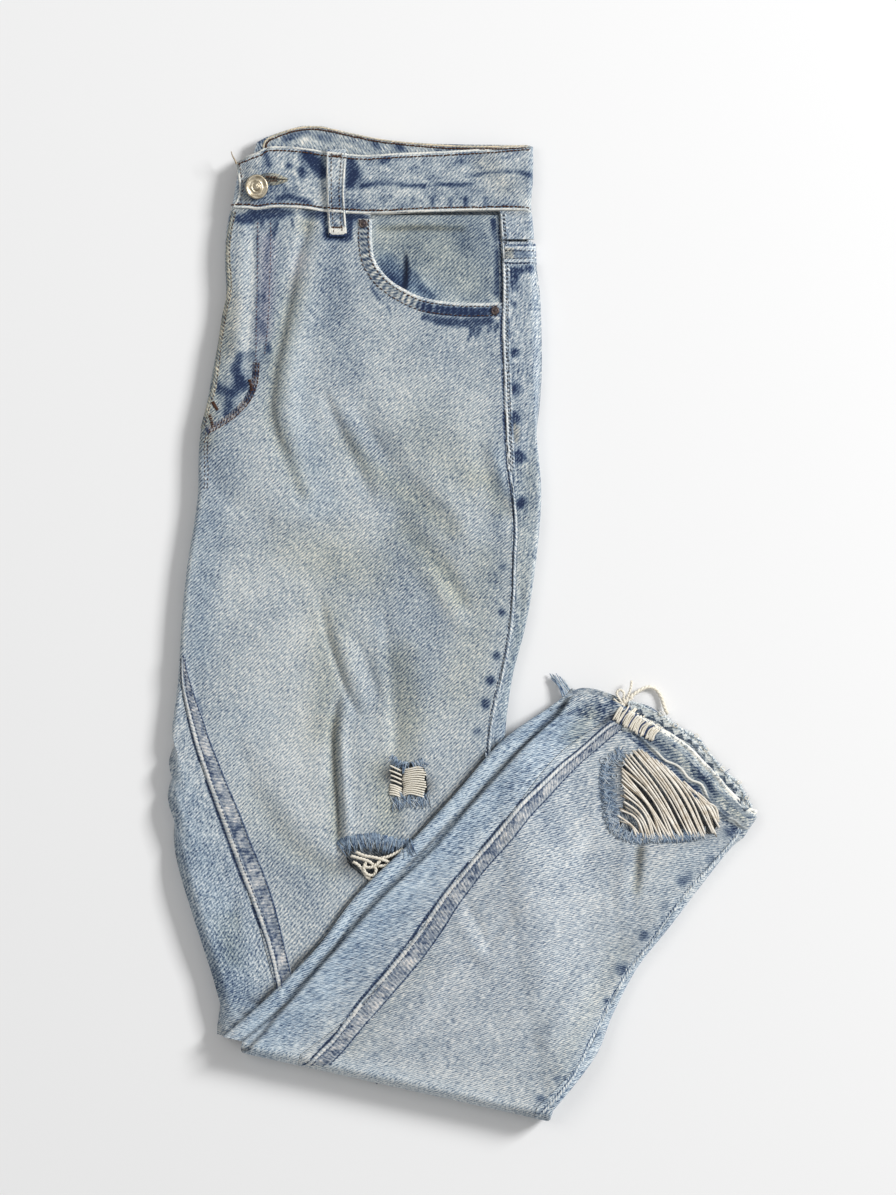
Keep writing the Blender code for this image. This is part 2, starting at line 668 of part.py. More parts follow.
def add_pocket_facing(leg, denim):
    """Facing that shows in the pocket mouth, one layer below the front panel."""
    stations = []
    for y in even(THIGH_ROWS[0].left_y, FACING_LOW, 9):
        position = position_of(y)
        start = leg.cloth_at(FACING_LEFT - leg.ends(position)[0].x)
        end = side_seam(leg, position) - 0.1
        stations.append([(position, cloth) for cloth in even(start, end, 8)])
    return add_leg_wall("left_pocket_facing", leg, stations, FACING_WALL, denim, drop=CLOTH + SEAM_GAP)


def position_of(y):
    """Position along the thigh of a height in the plan, where its rows are level."""
    for index, (upper, lower) in enumerate(zip(THIGH_ROWS, THIGH_ROWS[1:])):
        if lower.left_y <= y:
            return index + (upper.left_y - y) / (upper.left_y - lower.left_y)
    return len(THIGH_ROWS) - 1.0


def add_waistband(denim):
    """Left half of the waistband: front stretch on top, round the side, back stretch below."""
    base = LAYER_PITCH
    radius = WAIST_HEIGHT / 2
    parts = even(0.0, 1.0, WAIST_STEPS)
    columns = []
    for row in WAIST_ROWS:
        columns.append([Vector((row.low_x + (row.top_x - row.low_x) * part,
                                row.low_y + (row.top_y - row.low_y) * part, base + 2 * radius))
                        for part in parts])
    last = WAIST_ROWS[-1]
    for angle in (65.0, 35.0, 0.0, -35.0, -65.0):
        turn = math.radians(angle)
        share = (90.0 - angle) / 180.0
        top_y = last.top_y + (last.back_y - last.top_y) * share
        columns.append([Vector((WAIST_RIGHT[0] + (WAIST_RIGHT[1] - WAIST_RIGHT[0]) * part
                                - radius * (1.0 - math.cos(turn)),
                                last.low_y + (top_y - last.low_y) * part,
                                base + radius + radius * math.sin(turn))) for part in parts])
    for row in reversed(WAIST_ROWS):
        columns.append([Vector((row.low_x + (row.back_x - row.low_x) * part + 3.0 * (1.0 - part),
                                row.low_y + (row.back_y - row.low_y) * part, base)) for part in parts])
    grid = [[column[step] for column in columns] for step in range(WAIST_STEPS)]
    return add_wall("waistband_left", grid, WAIST_WALL, 1.0, denim)


def add_right_upper(leg, count, finish):
    """Right leg's upper part and its half of the waistband, hidden below, as one rounded solid."""
    radius = leg.radius
    top = []
    bottom = []

    def add_row(width, spot_at):
        for distance in slab_distances(width, radius, count):
            depth = edge_depth(distance, width, radius)
            spot = spot_at(distance)
            top.append(Vector((spot.x, spot.y, 2 * radius - depth)))
            bottom.append(Vector((spot.x, spot.y, depth)))

    for share in (1.0, 0.55, 0.1):
        left = HIDDEN_WAIST_LOW[0].lerp(HIDDEN_WAIST_TOP[0], share)
        right = HIDDEN_WAIST_LOW[1].lerp(HIDDEN_WAIST_TOP[1], share)
        width = (right - left).length

        def waist_spot(distance):
            part = distance / width
            rise = HIDDEN_WAIST_RISE * share * math.exp(-((part - 0.22) / 0.16) ** 2)
            return left.lerp(right, part) + Vector((0.0, rise))

        add_row(width, waist_spot)
    positions = stepped((0.0, 5.0, 4), (5.0, 11.0, 7), (11.0, leg.last - 0.06, 3))
    for position in positions:
        add_row(leg.width(position), lambda distance: leg.place(position, distance, 0.0))
    return add_shell("right_leg_upper", top, bottom, grid_faces(len(positions) + 3, count + 4), finish)


def add_hem(name, leg, length, finish):
    """Turned-up hem, a ring wall all round the end of a leg."""
    quarter = leg.radius * math.pi / 2
    rows = []
    for position in even(leg.last, leg.last + length, 4):
        flat = leg.width(position) - 2 * leg.radius
        over_right = quarter + flat
        row = even(-quarter, quarter, 5)
        row += even(quarter, over_right, 18)[1:]
        row += even(over_right, over_right + 2 * quarter, 5)[1:]
        row += even(over_right + 2 * quarter, over_right + 2 * quarter + flat, 18)[1:-1]
        rows.append([(position, cloth) for cloth in row])
    return add_leg_wall(name, leg, rows, HEM_WALL, finish, ring=True)


def add_comb(name, paths, finish):
    """Strands that stand apart, with their roots in one narrow backing strip."""
    points = []
    faces = []
    bases = []
    for path in paths:
        first = len(points)
        for index, spot in enumerate(path):
            ahead = path[min(index + 1, len(path) - 1)] - path[max(index - 1, 0)]
            aside = Vector((-ahead.y, ahead.x, 0.0)).normalized() * (THREAD_WIDTH / 2)
            points += [spot + aside, spot - aside]
            if index:
                at = first + 2 * index
                faces.append((at - 2, at - 1, at + 1, at))
        ahead = (path[1] - path[0]).normalized() * THREAD_BACKING
        ahead.z = 0.0
        points += [points[first] - ahead, points[first + 1] - ahead]
        back = len(points) - 2
        faces.append((back, back + 1, first + 1, first))
        bases.append((first, first + 1, back, back + 1))
    for upper, lower in zip(bases, bases[1:]):
        faces.append((upper[3], lower[2], lower[0], upper[1]))
    lower_points = [point - Vector((0.0, 0.0, THREAD_THICKNESS)) for point in points]
    return add_shell(name, points, lower_points, faces, finish)


def crossing_paths(ends, count, surface, bow=0.0, steps=4):
    """Threads that cross a rip just under the cloth, from one edge to the other."""
    first, last = ends
    paths = []
    for index in range(count):
        part = index / (count - 1)
        root = Vector((first.root_x, first.root_y)).lerp(Vector((last.root_x, last.root_y)), part)
        tip = Vector((first.tip_x, first.tip_y)).lerp(Vector((last.tip_x, last.tip_y)), part)
        aside = Vector((root.y - tip.y, tip.x - root.x)).normalized() * bow * (1.0 - part)
        path = []
        for step in range(steps):
            share = step / (steps - 1)
            spot = root.lerp(tip, share) + aside * math.sin(math.pi * share)
            path.append(Vector((spot.x, spot.y, surface(spot.x, spot.y) - CLOTH - THREAD_BELOW)))
        paths.append(path)
    return paths


def thigh_top(x, y):
    return LAYER_PITCH + LEG_HEIGHT + thigh_relief(x, y) * uncovered(x, y)


def shin_top(x, y):
    return upper_support(x, y) + LEG_HEIGHT + shin_relief(x, y)


def add_belt_loop(denim):
    """Strap over the waistband, from behind its top edge to just below it."""
    across = even(LOOP_FOOT_X - LOOP_WIDTH / 2, LOOP_FOOT_X + LOOP_WIDTH / 2, 5)
    highest = max(thigh_top(x, y) for x in across for y in (270.0, 278.0, 286.0))
    foot = highest + SEAM_GAP + LOOP_THICKNESS
    band = LAYER_PITCH + WAIST_HEIGHT + SEAM_GAP + LOOP_THICKNESS
    profile = [(269.5, foot), (274.0, foot + 0.1), (281.0, foot + 0.8), (288.0, band + 0.7),
               (300.0, band + 1.4), (314.0, band + 1.4), (325.0, band + 0.8), (329.0, band + 0.2),
               (330.8, band - 1.4), (330.9, band - 3.2)]
    grid = []
    for y, z in profile:
        centre = LOOP_FOOT_X + (LOOP_TOP_X - LOOP_FOOT_X) * (y - 269.5) / 60.0
        row = []
        for part in even(-0.5, 0.5, 4):
            row.append(Vector((centre + LOOP_WIDTH * part, y, z)))
        grid.append(row)
    return add_wall("belt_loop_front", grid, LOOP_THICKNESS, 1.0, denim)


def add_turned(name, centre, level, profile, sides, finish):
    """Round piece from rings of (radius, height), closed at both ends."""
    points = []
    for radius, height in profile:
        for step in range(sides):
            angle = 2 * math.pi * step / sides
            points.append(Vector((centre[0] + radius * math.cos(angle), centre[1] + radius * math.sin(angle),
                                  level + height)))
    return add_closed_rings(name, points, sides, 40.0, finish)


def add_closed_rings(name, points, sides, sharp_degrees, finish):
    """Solid through rings of points, closed at both ends."""
    faces = grid_faces(len(points) // sides, sides, ring=True)
    faces.append(tuple(reversed(range(sides))))
    faces.append(tuple(range(len(points) - sides, len(points))))
    mesh = bpy.data.meshes.new(name)
    mesh.from_pydata([point * MM for point in points], [], faces)
    turn_outwards(mesh)
    mesh.shade_smooth()
    mesh.set_sharp_from_angle(angle=math.radians(sharp_degrees))
    piece = bpy.data.objects.new(name, mesh)
    piece.data.materials.append(finish)
    bpy.context.scene.collection.objects.link(piece)
    return piece


def add_loose_thread(finish):
    """Round thread along a path, closed at both ends."""
    path = [Vector(point) for point in LOOSE_THREAD]
    points = []
    for index, spot in enumerate(path):
        ahead = path[min(index + 1, len(path) - 1)] - path[max(index - 1, 0)]
        aside = Vector((-ahead.y, ahead.x, 0.0)).normalized()
        for step in range(LOOSE_THREAD_SIDES):
            angle = 2 * math.pi * step / LOOSE_THREAD_SIDES
            points.append(spot + (aside * math.cos(angle) + UP * math.sin(angle)) * LOOSE_THREAD_RADIUS)
    return add_closed_rings("loose_thread", points, LOOSE_THREAD_SIDES, 60.0, finish)


def main():
    for old in list(bpy.data.objects):
        bpy.data.objects.remove(old, do_unlink=True)
    denim = add_finish("denim", (0.42, 0.48, 0.52), 0.9)
    denim_back = add_finish("denim back", (0.34, 0.42, 0.50), 0.9)
    denim_lower = add_finish("denim lower leg", (0.36, 0.40, 0.48), 0.9)
    denim_band = add_finish("denim band", (0.40, 0.45, 0.50), 0.9)
    thread = add_finish("cotton thread", (0.78, 0.74, 0.66), 0.95)
    brass = add_finish("worn brass", (0.52, 0.40, 0.22), 0.35, 1.0)

    left_thigh = Leg(THIGH_ROWS, lambda x, y: LAYER_PITCH, thigh_relief, -1.0, share_free=uncovered,
                     top_edge=waist_low_edge)
    right_thigh = Leg(THIGH_ROWS, lambda x, y: 0.0, thigh_relief, -1.0, out_left="tuck", out_right=-2.0)
    left_shin = Leg(SHIN_ROWS, support, shin_relief, 1.0, share_free=lambda x, y: 0.0, out_left="roll",
                    out_right=-3.0, seam=False)
    right_shin = Leg(SHIN_ROWS, upper_support, shin_relief, 1.0, folded=True)

    add_right_upper(right_thigh, 8, denim_back)
    yoke_end = position_of(YOKE_LOW)
    above = [0.0, yoke_end / 2]
    below = stepped((yoke_end, 5.0, 7), (5.0, 8.5, 7), (8.5, 9.15, 8), (9.15, 11.0, 5), (11.0, 14.0, 5),
                    (14.0, left_thigh.last - 0.02, 1))
    add_back("left_yoke", left_thigh, above + [yoke_end - 0.014], 4, denim_back)
    add_back("left_back", left_thigh, below, 4, denim_back)
    add_left_front(left_thigh, above + below, denim)
    add_pocket_facing(left_thigh, denim_back)
    add_waistband(denim_band)
    add_belt_loop(denim_band)

    button_seat = LAYER_PITCH + WAIST_HEIGHT + SEAM_GAP
    add_turned("button", BUTTON_CENTRE, button_seat,
               [(3.2, 0.0), (3.2, 0.7), (BUTTON_RADIUS - 0.8, 0.8), (BUTTON_RADIUS, 1.3),
                (BUTTON_RADIUS - 0.5, BUTTON_HEIGHT), (BUTTON_RADIUS - 2.0, BUTTON_HEIGHT - 0.4),
                (3.4, BUTTON_HEIGHT - 0.4), (2.6, BUTTON_HEIGHT + 0.5)], BUTTON_SIDES, brass)
    rivet_profile = [(RIVET_RADIUS, 0.0), (RIVET_RADIUS, 0.4), (RIVET_RADIUS * 0.6, RIVET_HEIGHT)]
    for name, spot in RIVETS.items():
        add_turned(name, spot, thigh_top(*spot) + SEAM_GAP, rivet_profile, RIVET_SIDES, brass)

    body = even(0.0, right_shin.last - 0.03, SHIN_STEPS)
    fold = [-1.0 + step / FOLD_STEPS for step in range(FOLD_STEPS)]
    rounded = [(0.0, 0.35), (0.02, 0.75), (0.06, 1.0)]
    inner_body = even(0.0, left_shin.last - 0.04, SHIN_STEPS)
    add_slab("left_leg_lower", left_shin, rounded + [(position, 1.0) for position in inner_body[1:]], 18,
             denim_lower)
    add_hem("left_hem", left_shin, HEM_WIDTH + LEFT_HEM_BEYOND, denim_lower)
    add_back("right_back", right_shin, fold + body, 14, denim_lower)
    low = LAYER_PITCH + CLOTH + RIP_FLOOR
    right_front = add_leg_wall("right_front", right_shin, front_stations(right_shin, fold + body, 16),
                               CLOTH, denim_lower)
    cut(right_front, add_cutter("shin rip cutter", SHIN_RIP, low, STACK_HEIGHT, denim_lower))
    add_hem("right_hem", right_shin, HEM_WIDTH, denim_lower)

    add_comb("knee_threads_small", crossing_paths(SMALL_RIP_ENDS, SMALL_RIP_THREADS, thigh_top), thread)
    add_comb("knee_threads_large", crossing_paths(LARGE_RIP_ENDS, LARGE_RIP_THREADS, thigh_top), thread)
    add_comb("shin_threads", crossing_paths(SHIN_RIP_ENDS, SHIN_RIP_THREADS, shin_top, SHIN_RIP_BOW), thread)
    tassel = []
    for strand in TASSEL_STRANDS:
        tassel.append([Vector((strand.root_x, strand.root_y, TASSEL_ROOT_Z)),
                       Vector((strand.crest_x, strand.crest_y, TASSEL_CREST_Z)),
                       Vector((strand.tip_x, strand.tip_y, TASSEL_TIP_Z))])
    add_comb("hem_tassel", tassel, thread)
    add_loose_thread(thread)


main()
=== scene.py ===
"""Looks of the folded ripped jeans: cloth, seams, stitches, frayed rips and hems.

Sizes are in millimetres and become metres where a mesh is made. The plan tables use view units:
one unit is 0.7 mm, x runs to the right and y runs down from the upper left corner of the view.
"""
import math
from collections import namedtuple

import bpy
import numpy as np
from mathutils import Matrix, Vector
from mathutils.bvhtree import BVHTree


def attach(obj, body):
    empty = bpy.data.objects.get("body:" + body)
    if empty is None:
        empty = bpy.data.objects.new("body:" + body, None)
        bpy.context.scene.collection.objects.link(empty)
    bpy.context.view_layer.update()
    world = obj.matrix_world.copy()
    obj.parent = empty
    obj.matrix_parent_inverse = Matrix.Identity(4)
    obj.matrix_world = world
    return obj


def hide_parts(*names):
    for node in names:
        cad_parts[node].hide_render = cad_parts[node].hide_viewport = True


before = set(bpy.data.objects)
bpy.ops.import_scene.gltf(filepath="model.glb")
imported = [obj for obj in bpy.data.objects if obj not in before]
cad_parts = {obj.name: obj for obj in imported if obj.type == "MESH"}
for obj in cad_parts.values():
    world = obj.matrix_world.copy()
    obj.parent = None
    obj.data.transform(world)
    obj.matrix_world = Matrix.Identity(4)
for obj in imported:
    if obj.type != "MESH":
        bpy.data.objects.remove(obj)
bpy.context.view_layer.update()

MM = 0.001
UNIT = 0.7
PLAN_X = 462.0
PLAN_Y = 621.5

CLOTH = 1.4
LEG_HEIGHT = 5.6
LAYER_PITCH = 5.9
SLUMP_START = 4.0
SLUMP_WIDTH = 58.0
SLUMP_SLACK = 1.5
SLACK_MORE = 6.0
SEAM_HEIGHT = 0.7
SEAM_HALF_WIDTH = 4.7
SEAM_SHOULDER = 1.5
STACK_HEIGHT = 3 * LAYER_PITCH + LEG_HEIGHT
FOLD_REACH = 8.5
FOLD_INNER_REACH = 3.3
FOLD_FADE = 0.16
FOLD_FREE_EDGE = 9.0
WAIST_HEIGHT = 6.6
HEM_WIDTH = 17.5
LEFT_HEM_BEYOND = 9.0
DEEPEST_TROUGH = 2.6

ThighRow = namedtuple("ThighRow", "left_x left_y right_x right_y inseam side tuck")
THIGH_ROWS = [
    ThighRow(-161.5, 284.6, 48.5, 284.6, -20.0, 22.5, 2.0),
    ThighRow(-166.0, 260.0, 51.0, 260.0, -20.0, 23.0, 2.0),
    ThighRow(-165.5, 225.0, 55.0, 225.0, -20.0, 26.5, 2.0),
    ThighRow(-172.0, 190.0, 56.0, 190.0, -20.0, 27.5, 2.0),
    ThighRow(-178.5, 155.0, 55.5, 155.0, -19.0, 25.5, 2.0),
    ThighRow(-184.0, 127.0, 54.5, 127.0, -18.0, 23.5, 2.0),
    ThighRow(-185.5, 85.0, 55.5, 85.0, -16.0, 20.0, 2.0),
    ThighRow(-192.0, 43.0, 52.0, 43.0, -14.0, 16.5, 2.0),
    ThighRow(-196.5, 1.0, 45.5, 1.0, -9.5, 12.0, 2.0),
    ThighRow(-199.0, -41.0, 35.0, -41.0, 7.5, 8.5, 2.5),
    ThighRow(-204.0, -83.0, 30.0, -83.0, 21.7, 12.0, 3.0),
    ThighRow(-206.0, -125.0, 28.5, -130.5, 39.0, 10.5, 3.0),
    ThighRow(-200.0, -167.0, 33.5, -181.0, 49.5, 11.0, 4.0),
    ThighRow(-190.5, -209.0, 41.5, -230.0, 54.7, 13.0, 6.0),
    ThighRow(-175.0, -251.0, 52.0, -286.0, 51.7, 14.0, 9.0),
    ThighRow(-171.5, -289.5, 63.5, -342.0, 63.0, 14.0, 17.0),
]
ShinRow = namedtuple("ShinRow", "left_x left_y right_x right_y inseam side roll bulge")
SHIN_ROWS = [
    ShinRow(-153.5, -293.5, 63.5, -342.0, 47.9, 11.8, 14.3, 0.0),
    ShinRow(-120.5, -265.5, 93.0, -305.0, 51.4, 7.6, 15.7, 0.0),
    ShinRow(-89.0, -230.0, 105.5, -275.5, 48.8, 5.6, 12.4, 0.0),
    ShinRow(-57.5, -195.0, 123.0, -242.5, 43.9, 4.7, 16.5, 0.0),
    ShinRow(-19.0, -158.0, 144.0, -216.0, 33.2, 4.2, 16.3, 0.0),
    ShinRow(9.0, -125.0, 166.5, -186.5, 33.0, 5.9, 14.1, 2.0),
    ShinRow(40.5, -90.0, 187.5, -160.0, 30.7, 3.9, 14.5, 7.0),
    ShinRow(67.8, -65.6, 197.3, -151.6, 34.6, 5.4, 9.0, 14.0),
]
WaistRow = namedtuple("WaistRow", "low_x low_y top_x top_y back_x back_y")
WAIST_ROWS = [
    WaistRow(-161.0, 289.5, -155.5, 321.5, -143.5, 336.0),
    WaistRow(-148.5, 289.2, -147.0, 326.5, -137.0, 339.5),
    WaistRow(-135.0, 290.0, -134.0, 331.5, -125.0, 343.8),
    WaistRow(-120.0, 290.0, -120.0, 332.0, -112.0, 347.5),
    WaistRow(-105.0, 288.2, -105.0, 330.0, -98.0, 347.2),
    WaistRow(-88.0, 286.8, -88.0, 327.2, -84.0, 343.5),
    WaistRow(-70.0, 285.6, -70.0, 325.8, -68.0, 339.6),
    WaistRow(-48.0, 286.4, -48.0, 326.7, -46.0, 336.5),
    WaistRow(-20.0, 286.6, -20.0, 327.8, -19.0, 334.8),
    WaistRow(5.0, 287.6, 5.0, 329.0, 5.0, 334.2),
    WaistRow(28.0, 288.0, 28.0, 330.3, 28.0, 334.0),
    WaistRow(45.0, 288.0, 45.5, 331.3, 45.5, 333.6),
]
WAIST_RIGHT = (48.5, 50.0)

# Folds: reach and height in millimetres, positive for a ridge and negative for a trough
FoldPoint = namedtuple("FoldPoint", "x y reach height")
THIGH_FOLDS = {
    "hip trough": [
        FoldPoint(311, 195, 4.5, -1.2), FoldPoint(303, 240, 4.5, -1.7), FoldPoint(292, 285, 5, -2.0),
        FoldPoint(281, 335, 5, -2.0), FoldPoint(273, 380, 5, -1.8), FoldPoint(270, 415, 5, -2.0),
        FoldPoint(277, 440, 5, -1.8), FoldPoint(287, 465, 4.5, -1.5), FoldPoint(300, 497, 4, -1.2)],
    "hip ridge": [
        FoldPoint(322, 195, 7, 0.9), FoldPoint(318, 245, 8, 1.3), FoldPoint(306, 300, 9, 1.6),
        FoldPoint(292, 360, 9, 1.6), FoldPoint(287, 410, 8, 1.4), FoldPoint(297, 445, 8, 1.1)],
    "fly ridge": [
        FoldPoint(243, 225, 5, 0.8), FoldPoint(240, 300, 5, 0.9), FoldPoint(236, 350, 5, 0.9)],
    "fly trough": [
        FoldPoint(252, 222, 3.5, -0.7), FoldPoint(250, 300, 3.5, -0.8), FoldPoint(247, 370, 3.5, -0.8)],
    "short trough": [
        FoldPoint(326, 400, 4, -0.9), FoldPoint(340, 430, 4.5, -1.3), FoldPoint(355, 460, 5, -1.3),
        FoldPoint(368, 492, 4.5, -1.0)],
    "short ridge": [
        FoldPoint(345, 415, 7, 0.9), FoldPoint(362, 450, 7, 1.0), FoldPoint(380, 490, 7, 0.8)],
    "broad trough": [
        FoldPoint(362, 405, 7, -1.1), FoldPoint(383, 448, 8, -1.6), FoldPoint(398, 475, 8, -1.8),
        FoldPoint(413, 493, 8, -1.8), FoldPoint(428, 507, 7, -1.5), FoldPoint(448, 522, 7, -1.1)],
    "second broad trough": [
        FoldPoint(398, 518, 7, -1.2), FoldPoint(420, 545, 8, -1.8), FoldPoint(440, 566, 8, -1.8),
        FoldPoint(455, 590, 6, -1.6), FoldPoint(463, 604, 5, -1.2)],
    "broad ridge": [
        FoldPoint(420, 560, 7, 1.2), FoldPoint(436, 582, 6, 1.7), FoldPoint(452, 608, 6, 1.6),
        FoldPoint(463, 625, 6, 1.0)],
    "upper ridge": [
        FoldPoint(432, 480, 9, 1.0), FoldPoint(455, 508, 9, 1.2), FoldPoint(470, 540, 9, 1.0)],
    "seam trough": [
        FoldPoint(478, 450, 6, -1.0), FoldPoint(490, 480, 6, -1.5), FoldPoint(501, 503, 5, -1.3),
        FoldPoint(511, 522, 5, -0.9)],
    "seam ridge": [
        FoldPoint(494, 455, 5, 0.9), FoldPoint(504, 482, 5, 1.0), FoldPoint(512, 500, 5, 0.7)],
    "left soft trough": [
        FoldPoint(206, 468, 7, -0.7), FoldPoint(220, 490, 8, -1.0), FoldPoint(236, 506, 8, -0.9),
        FoldPoint(262, 516, 7, -0.6)],
    "cross ridge": [FoldPoint(280, 520, 7, 0.5), FoldPoint(330, 520, 6, 0.6), FoldPoint(372, 522, 6, 0.4)],
    "cross trough": [FoldPoint(270, 530, 8, -0.4), FoldPoint(330, 530, 7, -0.5), FoldPoint(380, 533, 7, -0.4)],
    "dart trough": [
        FoldPoint(320, 600, 2.6, -0.8), FoldPoint(326, 632, 2.8, -1.4), FoldPoint(335, 658, 2.8, -1.9),
        FoldPoint(343, 682, 2.6, -1.9), FoldPoint(350, 701, 2.4, -1.3), FoldPoint(357, 714, 2.4, -0.7)],
    "dart ridge": [
        FoldPoint(333, 610, 5, 0.7), FoldPoint(342, 645, 5, 1.2), FoldPoint(353, 675, 5, 1.4),
        FoldPoint(363, 700, 5, 0.9)],
    "knee trough": [
        FoldPoint(340, 692, 2.2, -0.8), FoldPoint(336, 706, 2.6, -1.7), FoldPoint(332.5, 735, 3.2, -2.5),
        FoldPoint(334, 770, 3.4, -2.6), FoldPoint(337, 800, 3.0, -2.6), FoldPoint(338.5, 825, 2.6, -2.4),
        FoldPoint(337, 850, 2.6, -1.6)],
    "knee ridge": [
        FoldPoint(346, 702, 3.6, 1.0), FoldPoint(341.5, 735, 3.6, 1.9), FoldPoint(343, 770, 3.8, 2.1),
        FoldPoint(346, 805, 3.8, 2.1), FoldPoint(348, 832, 4, 1.7)],
    "knee left ridge": [
        FoldPoint(322, 720, 8, 0.7), FoldPoint(320, 770, 9, 1.0), FoldPoint(322, 815, 8, 0.8)],
    "knee swell": [
        FoldPoint(362, 730, 13, 1.0), FoldPoint(364, 780, 14, 1.5), FoldPoint(364, 820, 12, 1.4)],
    "soft knee trough": [
        FoldPoint(357, 640, 4, -0.8), FoldPoint(368, 668, 4.5, -1.1), FoldPoint(378, 695, 4.5, -1.0)],
    "long knee trough": [
        FoldPoint(384, 615, 4, -0.7), FoldPoint(391, 675, 5, -1.2), FoldPoint(396, 735, 5, -1.4),
        FoldPoint(394, 765, 4, -1.0)],
    "long knee ridge": [
        FoldPoint(378, 640, 5, 0.5), FoldPoint(384, 700, 5, 0.8), FoldPoint(385, 750, 5, 0.8)],
    "right knee ridge": [
        FoldPoint(412, 640, 8, 0.6), FoldPoint(420, 700, 9, 0.8), FoldPoint(424, 750, 9, 0.8)],
    "rip trough": [
        FoldPoint(390, 790, 5, -1.2), FoldPoint(392, 815, 6, -1.6), FoldPoint(398, 838, 6, -1.2)],
    "low trough": [
        FoldPoint(235, 742, 8, -0.8), FoldPoint(252, 790, 8, -1.3), FoldPoint(272, 828, 8, -1.6),
        FoldPoint(298, 855, 8, -1.7), FoldPoint(328, 872, 7, -1.5), FoldPoint(356, 884, 6, -1.1)],
    "low ridge": [
        FoldPoint(282, 770, 10, 0.7), FoldPoint(296, 810, 10, 0.9), FoldPoint(318, 842, 8, 0.7)],
    "under the band": [FoldPoint(375, 226, 3, 0.0), FoldPoint(420, 226, 3, 0.0)],
    "right strip dimple": [FoldPoint(528, 430, 5, -0.6), FoldPoint(527, 480, 5, -0.8), FoldPoint(526, 520, 5, -0.5)],
    "right strip dent": [FoldPoint(521, 590, 3, -0.6), FoldPoint(527, 615, 3, -0.8), FoldPoint(517, 640, 3, -0.6)],
    "left strip dimple": [
        FoldPoint(233, 905, 5, -0.8), FoldPoint(229, 940, 6, -1.4), FoldPoint(233, 975, 5, -1.2),
        FoldPoint(238, 1000, 4, -0.8)],
    "left strip ridge": [FoldPoint(215, 900, 6, 0.8), FoldPoint(217, 950, 6, 1.0), FoldPoint(224, 990, 5, 0.8)],
}
SHIN_FOLDS = {
    "trough below the rip": [
        FoldPoint(642, 842, 3.0, -1.3), FoldPoint(639, 862, 3.4, -1.7), FoldPoint(636, 885, 3.4, -1.4),
        FoldPoint(632, 908, 3.2, -0.8)],
    "ridge left of it": [
        FoldPoint(628, 845, 5, 0.8), FoldPoint(624, 870, 5, 0.9), FoldPoint(620, 900, 5, 0.5)],
    "ridge beside the inseam": [
        FoldPoint(569, 852, 4, 0.9), FoldPoint(579, 835, 4, 1.2), FoldPoint(592, 818, 4, 0.8)],
    "trough beside it": [FoldPoint(579, 862, 4, -0.6), FoldPoint(590, 842, 4, -0.8), FoldPoint(602, 828, 4, -0.5)],
    "bent trough": [
        FoldPoint(462, 893, 4, -0.5), FoldPoint(474, 918, 4, -0.9), FoldPoint(488, 944, 4, -1.2),
        FoldPoint(500, 926, 4, -1.0), FoldPoint(518, 905, 4, -0.7)],
    "bent ridge": [
        FoldPoint(458, 918, 5, 0.5), FoldPoint(472, 945, 5, 0.7), FoldPoint(490, 965, 5, 0.7),
        FoldPoint(512, 940, 5, 0.6)],
    "low ridge": [
        FoldPoint(548, 1040, 6, 0.7), FoldPoint(566, 1005, 6, 0.9), FoldPoint(588, 968, 6, 0.9),
        FoldPoint(603, 940, 6, 0.5)],
    "low trough": [
        FoldPoint(522, 1050, 7, -0.5), FoldPoint(545, 1005, 7, -0.9), FoldPoint(570, 962, 7, -0.8),
        FoldPoint(590, 930, 6, -0.4)],
    "left ripple": [FoldPoint(395, 1040, 6, 0.6), FoldPoint(430, 1000, 7, 0.8), FoldPoint(455, 965, 6, 0.6)],
    "left dip": [FoldPoint(380, 1060, 7, -0.5), FoldPoint(412, 1045, 7, -0.7), FoldPoint(450, 1000, 7, -0.6)],
    "middle swell": [FoldPoint(520, 900, 14, 0.9), FoldPoint(560, 860, 14, 0.9)],
    "seam dip": [FoldPoint(588, 1010, 5, -0.5), FoldPoint(610, 968, 5, -0.7), FoldPoint(640, 922, 5, -0.5)],
    "strip trough": [FoldPoint(330, 985, 5, -0.5), FoldPoint(400, 905, 6, -0.8), FoldPoint(470, 830, 5, -0.6)],
}
ROLL_FOLDS = {
    "crease in the roll": [FoldPoint(356, 900, 3, -1.6), FoldPoint(348, 925, 3.4, -1.8), FoldPoint(342, 945, 3, -1.2)],
}

COVER_START = (-166.0, -295.0)
COVER_END = (34.0, -78.0)
COVER_MARGIN = 1.0
COVER_FADE = 12.0

# Plan outlines in view units
POCKET_MOUTH = [
    (370.5, 205), (371, 225), (371.3, 240), (372.5, 252), (375.5, 262), (380, 270), (387, 278), (396, 285),
    (405, 290), (417, 296), (430, 300), (445, 302), (465, 303.5), (485, 303.7), (503, 303), (503, 205)]
POCKET_BAND = [
    (357.5, 208), (357.5, 225), (357, 245), (358.5, 258), (362.5, 268), (369, 279), (380, 290), (393, 299),
    (407, 306), (420, 310), (435, 314), (455, 316.5), (475, 317.5), (490, 316.5), (503, 315)]
SMALL_RIP = [
    (390, 764), (397, 767), (403, 764), (410, 763), (418, 766), (424, 768), (426, 778), (427, 790),
    (426, 800), (418, 798), (408, 800), (396, 797), (392, 788), (391, 776)]
LARGE_RIP = [
    (344, 848), (352, 846), (364, 843), (376, 843), (388, 846), (400, 848), (412, 846), (408, 856),
    (398, 866), (388, 874), (374, 878), (360, 874), (350, 866), (346, 857)]
SHIN_RIP = [
    (622, 768), (628, 761), (635, 752), (643, 751), (650, 757), (657, 763), (668, 768), (676, 775),
    (683, 784), (694, 792), (706, 803), (715, 813), (717, 826), (712, 834), (701, 833), (692, 832),
    (680, 834), (665, 833), (651, 832), (640, 833), (630, 832), (620, 827), (620, 815), (625, 801),
    (626, 791), (624, 780)]


